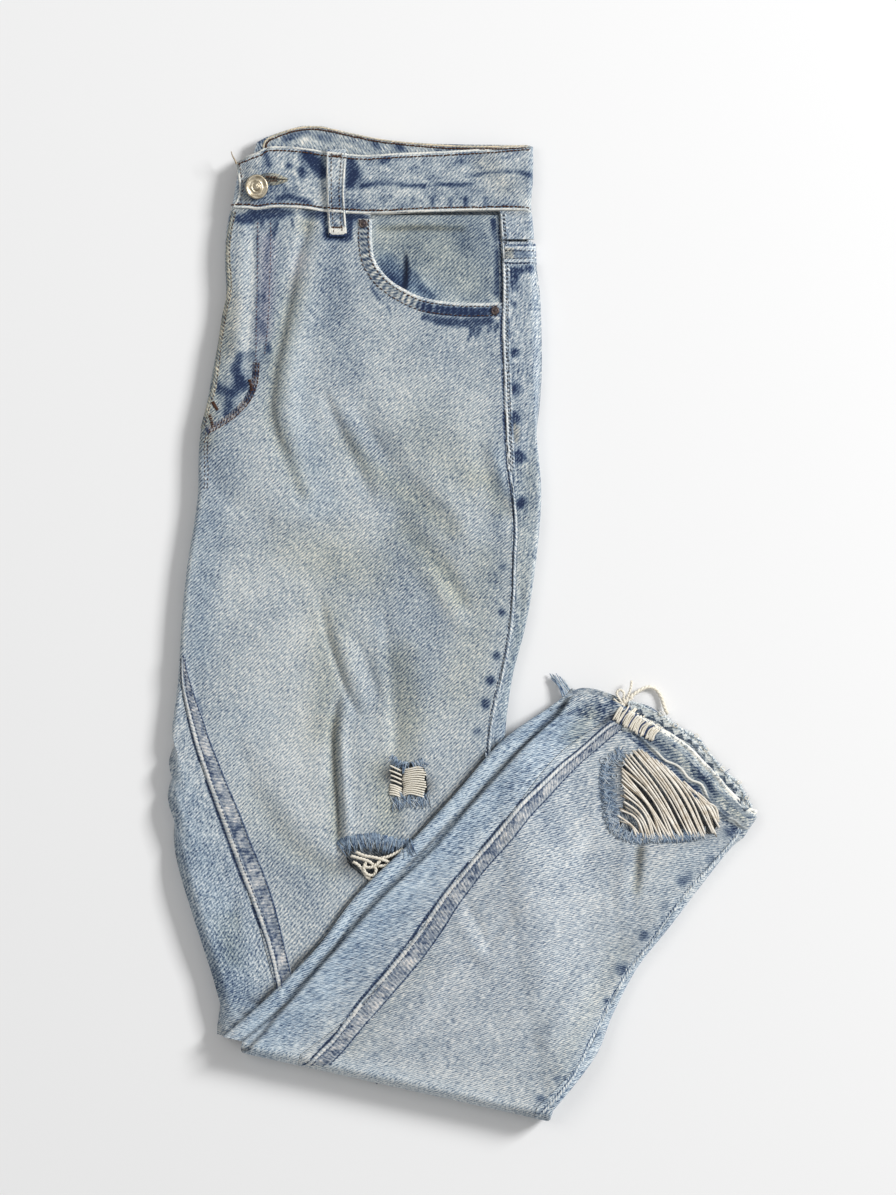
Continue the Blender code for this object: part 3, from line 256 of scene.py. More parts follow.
def to_mm(points):
    """Plan points in view units to millimetres in the shared frame."""
    points = np.asarray(points, float)
    return np.stack([(points[:, 0] - PLAN_X) * UNIT, (PLAN_Y - points[:, 1]) * UNIT], axis=1)


def smoothstep(value):
    value = np.clip(value, 0.0, 1.0)
    return value * value * (3.0 - 2.0 * value)


def section(rows, position):
    """Columns of a table between its rows, on smooth curves through them."""
    table = np.array(rows, float)
    position = np.clip(np.asarray(position, float), 0.0, len(rows) - 1.0)
    first = np.minimum(position.astype(int), len(rows) - 2)
    part = (position - first)[..., None]
    p0 = table[np.maximum(first - 1, 0)]
    p1 = table[first]
    p2 = table[first + 1]
    p3 = table[np.minimum(first + 2, len(rows) - 1)]
    value = ((2 * part**3 - 3 * part**2 + 1) * p1 + (part**3 - 2 * part**2 + part) * (p2 - p0) / 2
             + (3 * part**2 - 2 * part**3) * p2 + (part**3 - part**2) * (p3 - p1) / 2)
    return {name: value[..., k] for k, name in enumerate(rows[0]._fields)}


def to_line(points, x, y):
    """Distance from plan places to each stretch of a line, and the part of the stretch that is nearest."""
    start = points[:-1]
    along = points[1:] - start
    dx = x[..., None] - start[:, 0]
    dy = y[..., None] - start[:, 1]
    part = np.clip((dx * along[:, 0] + dy * along[:, 1]) / (along**2).sum(1), 0.0, 1.0)
    return np.hypot(dx - along[:, 0] * part, dy - along[:, 1] * part), part


def line_effect(table, x, y):
    """Strongest effect of a line of points with a reach and a strength."""
    values = np.array(table, float)
    places = to_mm(values[:, :2])
    if len(values) == 1:
        distance = np.hypot(x - places[0, 0], y - places[0, 1])
        return values[0, 3] * np.exp(-(distance / values[0, 2]) ** 2)
    distance, part = to_line(places, x, y)
    reach = values[:-1, 2] + (values[1:, 2] - values[:-1, 2]) * part
    height = values[:-1, 3] + (values[1:, 3] - values[:-1, 3]) * part
    effect = height * np.exp(-(distance / reach) ** 2)
    best = np.abs(effect).argmax(-1)
    return np.take_along_axis(effect, best[..., None], -1)[..., 0]


def in_chunks(function, x, y, size=40000):
    """Run a plan function over many places a part at a time, to keep memory small."""
    flat_x = np.broadcast_to(x, np.broadcast(x, y).shape).ravel()
    flat_y = np.broadcast_to(y, np.broadcast(x, y).shape).ravel()
    out = [function(flat_x[k:k + size], flat_y[k:k + size]) for k in range(0, len(flat_x), size)]
    return np.concatenate(out).reshape(np.broadcast(x, y).shape)


def fold_height(folds, x, y):
    def total(px, py):
        height = np.zeros_like(px)
        for points in folds.values():
            height += line_effect(points, px, py)
        return np.maximum(height, -DEEPEST_TROUGH)
    return in_chunks(total, x, y)


def lattice(ix, iy, seed):
    value = np.sin(ix * 127.1 + iy * 311.7 + seed * 74.7) * 43758.5453
    return value - np.floor(value)


def soft_noise(x, y, size, seed=0):
    """Smooth noise in the plan, 0 to 1, with lumps of about the given size."""
    u = x / size
    v = y / size
    iu = np.floor(u)
    iv = np.floor(v)
    fu = smoothstep(u - iu)
    fv = smoothstep(v - iv)
    low = lattice(iu, iv, seed) * (1 - fu) + lattice(iu + 1, iv, seed) * fu
    high = lattice(iu, iv + 1, seed) * (1 - fu) + lattice(iu + 1, iv + 1, seed) * fu
    return low * (1 - fv) + high * fv


def ripple(x, y):
    """Small unevenness that all the cloth has."""
    return (0.55 * (soft_noise(x, y, 26.0, 1) - 0.5) + 0.30 * (soft_noise(x + 0.4 * y, y, 11.0, 2) - 0.5)
            + 0.12 * (soft_noise(x, y, 5.0, 3) - 0.5))


def thigh_right_edge(y):
    ys = np.array([row.right_y for row in THIGH_ROWS])[::-1]
    xs = np.array([row.right_x for row in THIGH_ROWS])[::-1]
    return np.interp(y, ys, xs)


def support(x, y):
    share = smoothstep((x - thigh_right_edge(y) - SLUMP_START) / SLUMP_WIDTH)
    return 2 * LAYER_PITCH * (1.0 - share)


def upper_support(x, y):
    way = (x - thigh_right_edge(y) - SLUMP_START + SLACK_MORE) / (SLUMP_WIDTH + 2 * SLACK_MORE)
    way = np.clip(way, 0.0, 1.0)
    return support(x, y) + LAYER_PITCH + SLUMP_SLACK * np.sqrt(np.maximum(np.sin(math.pi * way), 0.0))


def uncovered(x, y):
    along = np.array(COVER_END) - np.array(COVER_START)
    along = along / np.hypot(*along)
    side = along[0] * (y - COVER_START[1]) - along[1] * (x - COVER_START[0])
    return smoothstep((side - COVER_MARGIN) / COVER_FADE)


def waist_low_edge(x):
    return np.interp(x, [row.low_x for row in WAIST_ROWS], [row.low_y for row in WAIST_ROWS])


def hem_bow(part):
    return np.sin(math.pi * part**0.6) * (1.0 - 0.5 * smoothstep((part - 0.6) / 0.2))


class Leg:
    """A flattened leg: rows along it, a level to lie on, and half-round edges."""

    def __init__(self, rows, base, relief, sign, free=None, out_left="", out_right=0.0, seam=True,
                 top_edge=None, folded=False):
        self.rows = rows
        self.base = base
        self.relief = relief
        self.sign = sign
        self.free = free
        self.out_left = out_left
        self.out_right = out_right
        self.seam = seam
        self.top_edge = top_edge
        self.folded = folded
        self.radius = LEG_HEIGHT / 2
        self.last = len(rows) - 1.0

    def ends(self, position):
        row = section(self.rows, position)
        left = np.stack([row["left_x"], row["left_y"]], -1)
        right = np.stack([row["right_x"], row["right_y"]], -1)
        across = right - left
        across = across / np.linalg.norm(across, axis=-1, keepdims=True)
        out = 0.0
        if self.out_left == "roll":
            out = row["roll"] * (1.0 - 0.7 * np.clip((position - self.last) / HEM_WIDTH, 0.0, 1.0))
        elif self.out_left == "tuck":
            out = -row["tuck"]
        left = left - across * np.asarray(out)[..., None]
        right = right + across * self.out_right
        return left, right, row

    def width(self, position):
        left, right, _ = self.ends(position)
        return np.linalg.norm(right - left, axis=-1)

    def place(self, position, distance, depth):
        left, right, row = self.ends(position)
        width = np.linalg.norm(right - left, axis=-1)
        across = (right - left) / width[..., None]
        part = np.clip((distance - self.radius) / (width - 2 * self.radius), 0.0, 1.0)
        towards_hem = np.stack([-across[..., 1], across[..., 0]], -1)
        bow = row["bulge"] * hem_bow(part) if "bulge" in row else 0.0 * part
        spot = left + across * distance[..., None] + towards_hem * bow[..., None]
        beyond = np.maximum(position - self.last, 0.0)
        spot = spot + towards_hem * self.hem_shift(beyond, part)[..., None]
        if self.top_edge:
            move = self.top_edge(spot[..., 0]) - spot[..., 1]
            spot[..., 1] += np.where(position < 1.0, move * (1.0 - np.clip(position, 0.0, 1.0)), 0.0)
        level = self.base(spot[..., 0], spot[..., 1]) + 2 * self.radius - depth
        if self.folded:
            angle = np.clip(-position, 0.0, 1.0) * math.pi
            reach = FOLD_REACH - depth * (FOLD_REACH - FOLD_INNER_REACH) / (2 * self.radius)
            spot = spot - towards_hem * (reach * np.sin(angle))[..., None]
            turned = STACK_HEIGHT / 2 + (STACK_HEIGHT / 2 - depth) * np.cos(angle)
            level = np.where(position < 0.0, turned, level)
        return np.concatenate([spot, level[..., None]], -1)

    def hem_shift(self, shift, part):
        extra = np.maximum(shift - HEM_WIDTH, 0.0)
        grown = 0.35 + 0.65 * smoothstep((part - 0.2) / 0.15)
        grown = grown * (1.0 - 0.7 * smoothstep((part - 0.85) / 0.15))
        return np.minimum(shift, HEM_WIDTH) + extra * grown

    def cloth_point(self, position, cloth):
        """Outer points at lengths of cloth round the leg, from the left outline over the top."""
        position = np.broadcast_to(position, cloth.shape)
        width = self.width(position)
        radius = self.radius
        quarter = radius * math.pi / 2
        top_end = quarter + width - 2 * radius
        angle = np.clip(cloth / radius, -math.pi / 2, math.pi / 2)
        distance = radius - radius * np.cos(angle)
        distance = np.where(cloth > quarter, radius + cloth - quarter, distance)
        right_angle = math.pi / 2 - (cloth - top_end) / radius
        over = cloth > top_end
        distance = np.where(over, width - radius + radius * np.cos(np.clip(right_angle, -1.571, 1.571)), distance)
        angle = np.where(over, np.clip(right_angle, -math.pi / 2, math.pi / 2), angle)
        below = cloth - top_end - 2 * quarter
        distance = np.where(below > 0.0, width - radius - below, distance)
        distance = np.where(cloth < -quarter, radius - cloth - quarter, distance)
        depth = radius - radius * np.sin(angle)
        point = self.place(position, distance, depth)
        x = point[..., 0]
        y = point[..., 1]
        free = self.free(x, y) if self.free else np.ones_like(x)
        if self.folded:
            free = free * smoothstep(1.0 + position / FOLD_FADE)
        near = np.minimum(distance, width - distance)
        raised = (self.relief(x, y) + ripple(x, y)) * free * smoothstep(near / FOLD_FREE_EDGE)
        if self.seam:
            inside = SEAM_HALF_WIDTH - np.abs(cloth - section(self.rows, position)["inseam"])
            raised = raised + SEAM_HEIGHT * free * smoothstep(inside / SEAM_SHOULDER)
        point[..., 2] += np.where(angle > 0.0, raised * np.sin(angle), 0.0)
        return point

    def inseam_line(self, position):
        return section(self.rows, position)["inseam"] - SEAM_HALF_WIDTH

    def side_seam(self, position):
        width = self.width(position)
        return width - section(self.rows, position)["side"] - self.radius + self.radius * math.pi / 2

    def all_round(self, position):
        return 2 * (self.width(position) - 2 * self.radius) + 2 * math.pi * self.radius

    def along(self, positions):
        """Length along the middle of the leg for each position."""
        mid = self.place(positions, self.width(positions) / 2, np.zeros_like(positions))
        steps = np.linalg.norm(np.diff(mid, axis=0), axis=1)
        return np.concatenate([[0.0], np.cumsum(steps)])


def spaced(leg, start, end, step):
    """Positions along a leg that are about one step of cloth apart."""
    fine = np.linspace(start, end, 600)
    length = leg.along(fine)
    count = max(int(length[-1] / step), 2) + 1
    return np.interp(np.linspace(0.0, length[-1], count), length, fine)


def columns(stretches):
    """Shares 0 to 1 with different steps: (share, count) pairs."""
    shares = [np.array([0.0])]
    last = 0.0
    for share, count in stretches:
        shares.append(np.linspace(last, share, count + 1)[1:])
        last = share
    return np.concatenate(shares)


def leg_grid(leg, positions, start, end, shares):
    """Grid of points and grain coordinates of a panel between two lengths of cloth."""
    cloth = start[:, None] + (end - start)[:, None] * shares[None, :]
    grid = leg.cloth_point(positions[:, None], cloth)
    along = leg.along(positions)
    grain = np.stack([leg.sign * cloth, np.broadcast_to(-along[:, None], cloth.shape)], -1)
    return grid, grain


def inside(outline, x, y):
    """Whether plan places lie inside an outline."""
    px, py = outline[:, 0], outline[:, 1]
    qx, qy = np.roll(px, -1), np.roll(py, -1)
    result = np.zeros(x.shape, bool)
    for ax, ay, bx, by in zip(px, py, qx, qy):
        crosses = (ay > y) != (by > y)
        with np.errstate(divide="ignore", invalid="ignore"):
            at = ax + (y - ay) * (bx - ax) / (by - ay)
        result ^= crosses & (x < at)
    return result


class Surface:
    """Place to lay things on: the highest cloth below a plan point."""

    def __init__(self):
        self.trees = []

    def add(self, points, faces):
        self.trees.append(BVHTree.FromPolygons(np.asarray(points).tolist(), faces))

    def height(self, x, y):
        """Highest cloth at a place, or the floor where there is none."""
        best = 0.0
        for tree in self.trees:
            hit = tree.ray_cast(Vector((x, y, 80.0)), Vector((0.0, 0.0, -1.0)))[0]
            if hit is not None:
                best = max(best, hit.z)
        return best

    def heights(self, places):
        return np.array([self.height(float(x), float(y)) for x, y in places])


top = Surface()


def quads(rows, cols, keep=None, ring=False):
    faces = []
    for i in range(rows - 1):
        for j in range(cols if ring else cols - 1):
            k = (j + 1) % cols
            if keep is None or keep[i, j]:
                faces.append((i * cols + j, i * cols + k, (i + 1) * cols + k, (i + 1) * cols + j))
    return faces


def make_mesh(name, points, faces, material, grain=None, paint=None, smooth=True, lay_on=False, up=True):
    """Mesh piece with its grain coordinates and painted values, riding on the part."""
    points = np.asarray(points, float).reshape(-1, 3)
    name = name.replace(" ", "_")
    used = sorted({corner for face in faces for corner in face})
    if len(used) < len(points):
        renumber = {old: new for new, old in enumerate(used)}
        faces = [tuple(renumber[corner] for corner in face) for face in faces]
        points = points[used]
        grain = None if grain is None else np.asarray(grain).reshape(-1, 2)[used]
        paint = None if paint is None else {key: np.asarray(value).ravel()[used] for key, value in paint.items()}
    mesh = bpy.data.meshes.new(name)
    mesh.from_pydata((points * MM).tolist(), [], faces)
    mesh.update()
    if up:
        normals = np.zeros(len(mesh.polygons) * 3)
        mesh.polygons.foreach_get("normal", normals)
        areas = np.zeros(len(mesh.polygons))
        mesh.polygons.foreach_get("area", areas)
        if (normals.reshape(-1, 3)[:, 2] * areas).sum() < 0:
            mesh.flip_normals()
    if grain is not None:
        corners = np.zeros(len(mesh.loops), int)
        mesh.loops.foreach_get("vertex_index", corners)
        layer = mesh.uv_layers.new(name="grain")
        layer.data.foreach_set("uv", (np.asarray(grain, float).reshape(-1, 2) * MM)[corners].ravel())
    for key, value in (paint or {}).items():
        attribute = mesh.attributes.new(key, "FLOAT", "POINT")
        attribute.data.foreach_set("value", np.asarray(value, float).ravel())
    if smooth:
        mesh.shade_smooth()
    piece = bpy.data.objects.new(name, mesh)
    piece.data.materials.append(material)
    bpy.context.scene.collection.objects.link(piece)
    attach(piece, "root")
    if lay_on:
        top.add(points, faces)
    return piece


def cloth_sheet(area=None, nodes=()):
    if nodes:
        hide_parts(*nodes)


def area_of(piece):
    areas = np.zeros(len(piece.data.polygons))
    piece.data.polygons.foreach_get("area", areas)
    return float(areas.sum())


# Stains, worn places, broad darker and paler places, and painted shade and highlights, in view units: reach is how far
# each spreads, strength 0 to 1
StainOrPaintedLight = namedtuple("StainOrPaintedLight", "x y reach strength")
NAVY_UPPER = {
    "below the band": [StainOrPaintedLight(234, 219, 4, 0.8), StainOrPaintedLight(250, 219, 4, 0.8)],
    "below the band, middle": [StainOrPaintedLight(255, 214, 5, 0.9), StainOrPaintedLight(270, 213, 5, 1.0), StainOrPaintedLight(290, 213, 4, 0.8)],
    "drips": [StainOrPaintedLight(262, 222, 1.6, 0.7), StainOrPaintedLight(262, 229, 1.4, 0.5)],
    "drips two": [StainOrPaintedLight(277, 221, 1.6, 0.7), StainOrPaintedLight(276, 230, 1.4, 0.6), StainOrPaintedLight(274, 238, 1.2, 0.4)],
    "drips three": [StainOrPaintedLight(292, 220, 1.6, 0.6), StainOrPaintedLight(293, 227, 1.4, 0.4)],
    "beside the loop": [StainOrPaintedLight(306, 213, 4, 0.7), StainOrPaintedLight(323, 214, 5, 0.9)],
    "right of the loop": [StainOrPaintedLight(350, 217, 4, 0.8), StainOrPaintedLight(360, 216, 3, 0.5)],
    "loop foot": [StainOrPaintedLight(326, 236, 3, 1.0), StainOrPaintedLight(348, 238, 3, 1.0)],
    "loop left side": [StainOrPaintedLight(325, 215, 3.0, 0.9), StainOrPaintedLight(324.5, 226, 2.4, 0.9), StainOrPaintedLight(326, 234, 2.4, 1.0)],
    "loop right side": [StainOrPaintedLight(350, 215, 3.0, 0.9), StainOrPaintedLight(349.5, 226, 2.4, 0.9), StainOrPaintedLight(348.5, 235, 2.4, 1.0)],
    "top rivet": [StainOrPaintedLight(363, 218, 4, 0.9), StainOrPaintedLight(363, 226, 4, 0.9)],
    "lining": [StainOrPaintedLight(285, 138, 3.4, 0.6), StainOrPaintedLight(303, 131, 3.0, 0.6), StainOrPaintedLight(318, 135, 4.0, 0.5), StainOrPaintedLight(330, 139, 3.0, 0.4)],
    "lining two": [StainOrPaintedLight(374, 143, 3.4, 0.75), StainOrPaintedLight(378, 147, 2.4, 0.6)],
    "lining three": [StainOrPaintedLight(398, 146, 3.6, 0.7), StainOrPaintedLight(404, 149, 2.4, 0.6)],
    "band left": [StainOrPaintedLight(265, 152, 2.6, 0.8), StainOrPaintedLight(269, 165, 3.0, 0.7)],
    "band left two": [StainOrPaintedLight(289, 166, 3.2, 0.9)],
    "band left three": [StainOrPaintedLight(301, 170, 3.2, 0.9), StainOrPaintedLight(302, 176, 2.6, 0.7)],
    "band mid": [StainOrPaintedLight(306, 155, 5, 0.9), StainOrPaintedLight(316, 163, 6, 1.0), StainOrPaintedLight(322, 172, 5, 0.9)],
    "band right of the loop": [StainOrPaintedLight(351, 162, 4, 1.0), StainOrPaintedLight(354, 174, 6, 1.0), StainOrPaintedLight(350, 184, 4, 0.8)],
    "band far spot": [StainOrPaintedLight(382, 161, 3, 0.7), StainOrPaintedLight(388, 159, 3, 0.6)],
    "pucker line": [
        StainOrPaintedLight(362, 186, 2.2, 0.8), StainOrPaintedLight(376, 183, 2.0, 0.7), StainOrPaintedLight(392, 183, 2.0, 0.5),
        StainOrPaintedLight(404, 185, 1.8, 0.8), StainOrPaintedLight(424, 186, 1.8, 0.8)],
    "pucker line two": [StainOrPaintedLight(436, 184, 1.8, 0.7), StainOrPaintedLight(455, 185, 1.8, 0.7), StainOrPaintedLight(474, 184, 1.6, 0.5)],
    "arc": [StainOrPaintedLight(470, 176, 1.6, 0.6), StainOrPaintedLight(492, 172, 1.6, 0.6), StainOrPaintedLight(515, 171, 1.6, 0.6), StainOrPaintedLight(530, 175, 2, 0.7)],
    "tick one": [StainOrPaintedLight(413, 198, 2, 0.6), StainOrPaintedLight(413, 206, 2, 0.5)],
    "tick two": [StainOrPaintedLight(432, 198, 2, 0.6), StainOrPaintedLight(432, 206, 2, 0.5)],
    "tick three": [StainOrPaintedLight(450, 199, 2, 0.5), StainOrPaintedLight(450, 206, 2, 0.5)],
    "tick four": [StainOrPaintedLight(466, 198, 2, 0.6), StainOrPaintedLight(466, 206, 2, 0.5)],
    "tick five": [StainOrPaintedLight(486, 198, 2, 0.5), StainOrPaintedLight(486, 206, 2, 0.5)],
    "band low": [StainOrPaintedLight(278, 199, 3, 0.5), StainOrPaintedLight(288, 196, 3, 0.6), StainOrPaintedLight(310, 203, 3, 0.7)],
    "fly streak": [StainOrPaintedLight(240, 355, 3, 0.8), StainOrPaintedLight(236, 368, 4, 1.0), StainOrPaintedLight(239, 380, 4, 0.9)],
    "fly cloud": [StainOrPaintedLight(252, 356, 5, 0.35), StainOrPaintedLight(265, 360, 5, 0.3)],
    "fly foot": [StainOrPaintedLight(217, 387, 5, 0.6), StainOrPaintedLight(232, 393, 6, 0.7), StainOrPaintedLight(246, 384, 4, 0.7)],
    "fly foot low": [StainOrPaintedLight(229, 405, 4, 0.7), StainOrPaintedLight(226, 414, 3, 0.7), StainOrPaintedLight(239, 409, 3, 0.5)],
    "fly edge": [StainOrPaintedLight(257, 236, 1.8, 0.4), StainOrPaintedLight(258, 290, 1.8, 0.3), StainOrPaintedLight(256, 345, 2.0, 0.4)],
    "fly row": [StainOrPaintedLight(272, 222, 3.0, 0.4), StainOrPaintedLight(266, 260, 2.4, 0.25), StainOrPaintedLight(262, 320, 3, 0.25), StainOrPaintedLight(268, 350, 4, 0.4)],
    "below the pocket": [StainOrPaintedLight(424, 317, 3, 0.7), StainOrPaintedLight(446, 322, 4, 1.0), StainOrPaintedLight(470, 323, 4, 1.0), StainOrPaintedLight(490, 320, 3, 0.9)],
    "streak one": [StainOrPaintedLight(468, 340, 1.4, 0.8), StainOrPaintedLight(473, 330, 1.8, 0.9)],
    "streak two": [StainOrPaintedLight(476, 338, 1.4, 0.8), StainOrPaintedLight(480, 329, 1.8, 0.9)],
    "streak three": [StainOrPaintedLight(486, 335, 1.3, 0.7), StainOrPaintedLight(490, 327, 1.6, 0.8)],
    "streak four": [StainOrPaintedLight(495, 331, 1.2, 0.7), StainOrPaintedLight(498, 324, 1.4, 0.7)],
    "pocket drips": [StainOrPaintedLight(372, 288, 2.0, 0.5), StainOrPaintedLight(380, 300, 2.0, 0.5)],
    "pocket drips two": [StainOrPaintedLight(388, 306, 1.6, 0.5), StainOrPaintedLight(391, 315, 1.4, 0.4)],
    "facing edge": [StainOrPaintedLight(382, 266, 3, 0.3), StainOrPaintedLight(392, 279, 3.4, 0.4), StainOrPaintedLight(404, 289, 3.4, 0.45)],
    "facing crease": [StainOrPaintedLight(406, 256, 1.6, 0.5), StainOrPaintedLight(407, 270, 2.6, 0.7), StainOrPaintedLight(405, 286, 2.6, 0.6)],
    "facing right of it": [StainOrPaintedLight(414, 272, 3, 0.25), StainOrPaintedLight(421, 288, 3.6, 0.4), StainOrPaintedLight(432, 297, 3, 0.4)],
    "facing seam": [StainOrPaintedLight(493, 220, 2, 0.7), StainOrPaintedLight(496, 245, 2, 0.4), StainOrPaintedLight(498, 270, 3, 0.6), StainOrPaintedLight(498, 292, 4, 0.7)],
    "yoke": [StainOrPaintedLight(507, 270, 3, 0.9), StainOrPaintedLight(520, 270, 3, 0.9), StainOrPaintedLight(532, 268, 3, 0.8)],
    "yoke drop": [StainOrPaintedLight(513, 277, 4, 0.9), StainOrPaintedLight(514, 287, 4, 0.6)],
    "seam spot one": [StainOrPaintedLight(510, 302, 3, 0.6), StainOrPaintedLight(514, 305, 3, 0.4)],
    "seam spot two": [StainOrPaintedLight(513, 352, 4.2, 0.85)],
    "seam spot three": [StainOrPaintedLight(514, 389, 5.2, 0.95)],
    "seam spot four": [StainOrPaintedLight(514, 418, 5.6, 1.0)],
    "seam spot five": [StainOrPaintedLight(518, 457, 5.6, 1.0)],
    "seam spot six": [StainOrPaintedLight(521, 503, 4.8, 0.7)],
    "seam line": [
        StainOrPaintedLight(503, 270, 2.0, 0.5), StainOrPaintedLight(504, 330, 2.0, 0.5), StainOrPaintedLight(507, 400, 2.2, 0.7),
        StainOrPaintedLight(509, 470, 2.4, 0.9), StainOrPaintedLight(515, 520, 2.0, 0.8), StainOrPaintedLight(514, 600, 1.6, 0.7)],
    "inner spot one": [StainOrPaintedLight(504, 566, 4, 0.5)],
    "inner spot two": [StainOrPaintedLight(502, 612, 3.4, 0.85)],
    "inner spot three": [StainOrPaintedLight(498, 633, 3.4, 0.45)],
    "inner spot four": [StainOrPaintedLight(496, 656, 3.8, 0.7)],
    "inner spot five": [StainOrPaintedLight(490, 681, 4.0, 0.9)],
    "inner spot six": [StainOrPaintedLight(485, 704, 4.2, 0.95)],
    "inner spot seven": [StainOrPaintedLight(478, 732, 6, 0.4)],
    "inseam top": [StainOrPaintedLight(199, 712, 4, 0.6), StainOrPaintedLight(196, 700, 3, 0.4)],
}
BROWN_UPPER = {
    "seam smudge": [StainOrPaintedLight(514, 424, 2.4, 0.7), StainOrPaintedLight(516, 440, 2.4, 0.7), StainOrPaintedLight(518, 428, 2, 0.5)],
    "yoke patch": [StainOrPaintedLight(507, 256, 4, 0.8), StainOrPaintedLight(522, 256, 3, 0.3)],
    "button place": [StainOrPaintedLight(244, 170, 8, 0.35), StainOrPaintedLight(250, 195, 7, 0.3), StainOrPaintedLight(240, 205, 6, 0.3)],
    "band right": [StainOrPaintedLight(485, 160, 10, 0.3), StainOrPaintedLight(505, 185, 10, 0.3)],
    "fly side": [StainOrPaintedLight(231, 300, 9, 0.35), StainOrPaintedLight(228, 350, 9, 0.35)],
    "fly low": [StainOrPaintedLight(208, 415, 5, 0.5), StainOrPaintedLight(206, 450, 5, 0.3)],
}
# Olive tint, darker and yellower: painted shade along the hip crease, the knee trough, the facing crease and other
# troughs, and broad olive places elsewhere
OLIVE_UPPER = {
    "hip": [StainOrPaintedLight(296, 285, 10, 0.5), StainOrPaintedLight(276, 360, 10, 0.55), StainOrPaintedLight(272, 420, 9, 0.5), StainOrPaintedLight(300, 490, 8, 0.4)],
    "hip top": [StainOrPaintedLight(306, 225, 8, 0.6)],
    "middle": [StainOrPaintedLight(345, 440, 9, 0.35), StainOrPaintedLight(372, 470, 10, 0.5), StainOrPaintedLight(412, 500, 12, 0.6), StainOrPaintedLight(450, 530, 10, 0.5)],
    "middle low": [StainOrPaintedLight(405, 530, 12, 0.5), StainOrPaintedLight(440, 570, 13, 0.7), StainOrPaintedLight(458, 600, 10, 0.6)],
    "right": [StainOrPaintedLight(425, 440, 30, 0.30), StainOrPaintedLight(460, 470, 26, 0.35), StainOrPaintedLight(488, 480, 8, 0.6), StainOrPaintedLight(500, 510, 8, 0.5)],
    "right low": [StainOrPaintedLight(485, 560, 16, 0.35), StainOrPaintedLight(480, 620, 18, 0.3), StainOrPaintedLight(460, 690, 20, 0.3)],
    "band of olive": [StainOrPaintedLight(290, 545, 22, 0.3), StainOrPaintedLight(330, 560, 26, 0.45), StainOrPaintedLight(370, 570, 24, 0.35)],
    "left knee": [StainOrPaintedLight(330, 620, 18, 0.4), StainOrPaintedLight(328, 680, 16, 0.45), StainOrPaintedLight(322, 730, 14, 0.4)],
    "knee": [StainOrPaintedLight(400, 660, 15, 0.55), StainOrPaintedLight(408, 720, 16, 0.6), StainOrPaintedLight(402, 760, 12, 0.5)],
    "rip": [StainOrPaintedLight(378, 770, 12, 0.5), StainOrPaintedLight(388, 810, 12, 0.65), StainOrPaintedLight(386, 834, 10, 0.5)],
    "knee trough": [StainOrPaintedLight(334, 720, 5, 0.6), StainOrPaintedLight(334, 790, 5, 0.7), StainOrPaintedLight(337, 840, 5, 0.6)],
    "left edge": [StainOrPaintedLight(222, 270, 8, 0.5), StainOrPaintedLight(222, 340, 10, 0.5), StainOrPaintedLight(207, 440, 9, 0.4)],
    "facing": [StainOrPaintedLight(390, 240, 20, 0.35), StainOrPaintedLight(440, 250, 28, 0.4), StainOrPaintedLight(470, 280, 20, 0.3)],
    "facing top": [StainOrPaintedLight(380, 228, 3, 0.5), StainOrPaintedLight(420, 227, 3, 0.7), StainOrPaintedLight(462, 228, 3, 0.5)],
    "low": [StainOrPaintedLight(255, 800, 14, 0.2), StainOrPaintedLight(290, 850, 12, 0.35), StainOrPaintedLight(330, 872, 12, 0.35)],
    "strip": [StainOrPaintedLight(528, 470, 10, 0.3), StainOrPaintedLight(520, 640, 8, 0.35), StainOrPaintedLight(508, 720, 6, 0.3)],
    "left strip": [StainOrPaintedLight(230, 920, 8, 0.5), StainOrPaintedLight(231, 960, 8, 0.5)],
}
PALE_UPPER = {
    "hip ridge": [StainOrPaintedLight(318, 240, 9, 0.4), StainOrPaintedLight(300, 320, 10, 0.5), StainOrPaintedLight(288, 395, 9, 0.5), StainOrPaintedLight(300, 450, 8, 0.35)],
    "middle ridge": [StainOrPaintedLight(340, 480, 14, 0.35), StainOrPaintedLight(380, 530, 10, 0.3)],
    "right ridge": [StainOrPaintedLight(430, 570, 5, 0.5), StainOrPaintedLight(446, 600, 6, 0.8), StainOrPaintedLight(458, 622, 6, 0.5)],
    "hip pale": [StainOrPaintedLight(215, 560, 14, 0.35), StainOrPaintedLight(250, 590, 20, 0.35)],
    "lower left": [StainOrPaintedLight(262, 690, 18, 0.35), StainOrPaintedLight(275, 760, 22, 0.45), StainOrPaintedLight(300, 820, 16, 0.4)],
    "seam side": [StainOrPaintedLight(498, 440, 4, 0.4), StainOrPaintedLight(504, 475, 3, 0.5), StainOrPaintedLight(511, 530, 3, 0.4)],
    "knee ridge": [StainOrPaintedLight(347, 730, 5, 0.3), StainOrPaintedLight(350, 800, 6, 0.35)],
    "fly": [StainOrPaintedLight(250, 232, 1.8, 0.9), StainOrPaintedLight(252, 270, 1.8, 0.9), StainOrPaintedLight(251, 310, 1.8, 0.9), StainOrPaintedLight(247, 345, 1.8, 0.6)],
    "fly two": [StainOrPaintedLight(240, 245, 2.4, 0.6), StainOrPaintedLight(240, 290, 2.4, 0.6), StainOrPaintedLight(236, 330, 2.4, 0.5)],
    "left middle": [StainOrPaintedLight(300, 560, 16, 0.6), StainOrPaintedLight(310, 610, 18, 0.6), StainOrPaintedLight(300, 670, 18, 0.5), StainOrPaintedLight(320, 820, 9, 0.5)],
    "edge": [StainOrPaintedLight(192, 560, 4, 0.5), StainOrPaintedLight(183, 640, 3, 0.4)],
    "pocket corner": [StainOrPaintedLight(492, 296, 4, 0.6), StainOrPaintedLight(499, 312, 4, 0.5)],
}
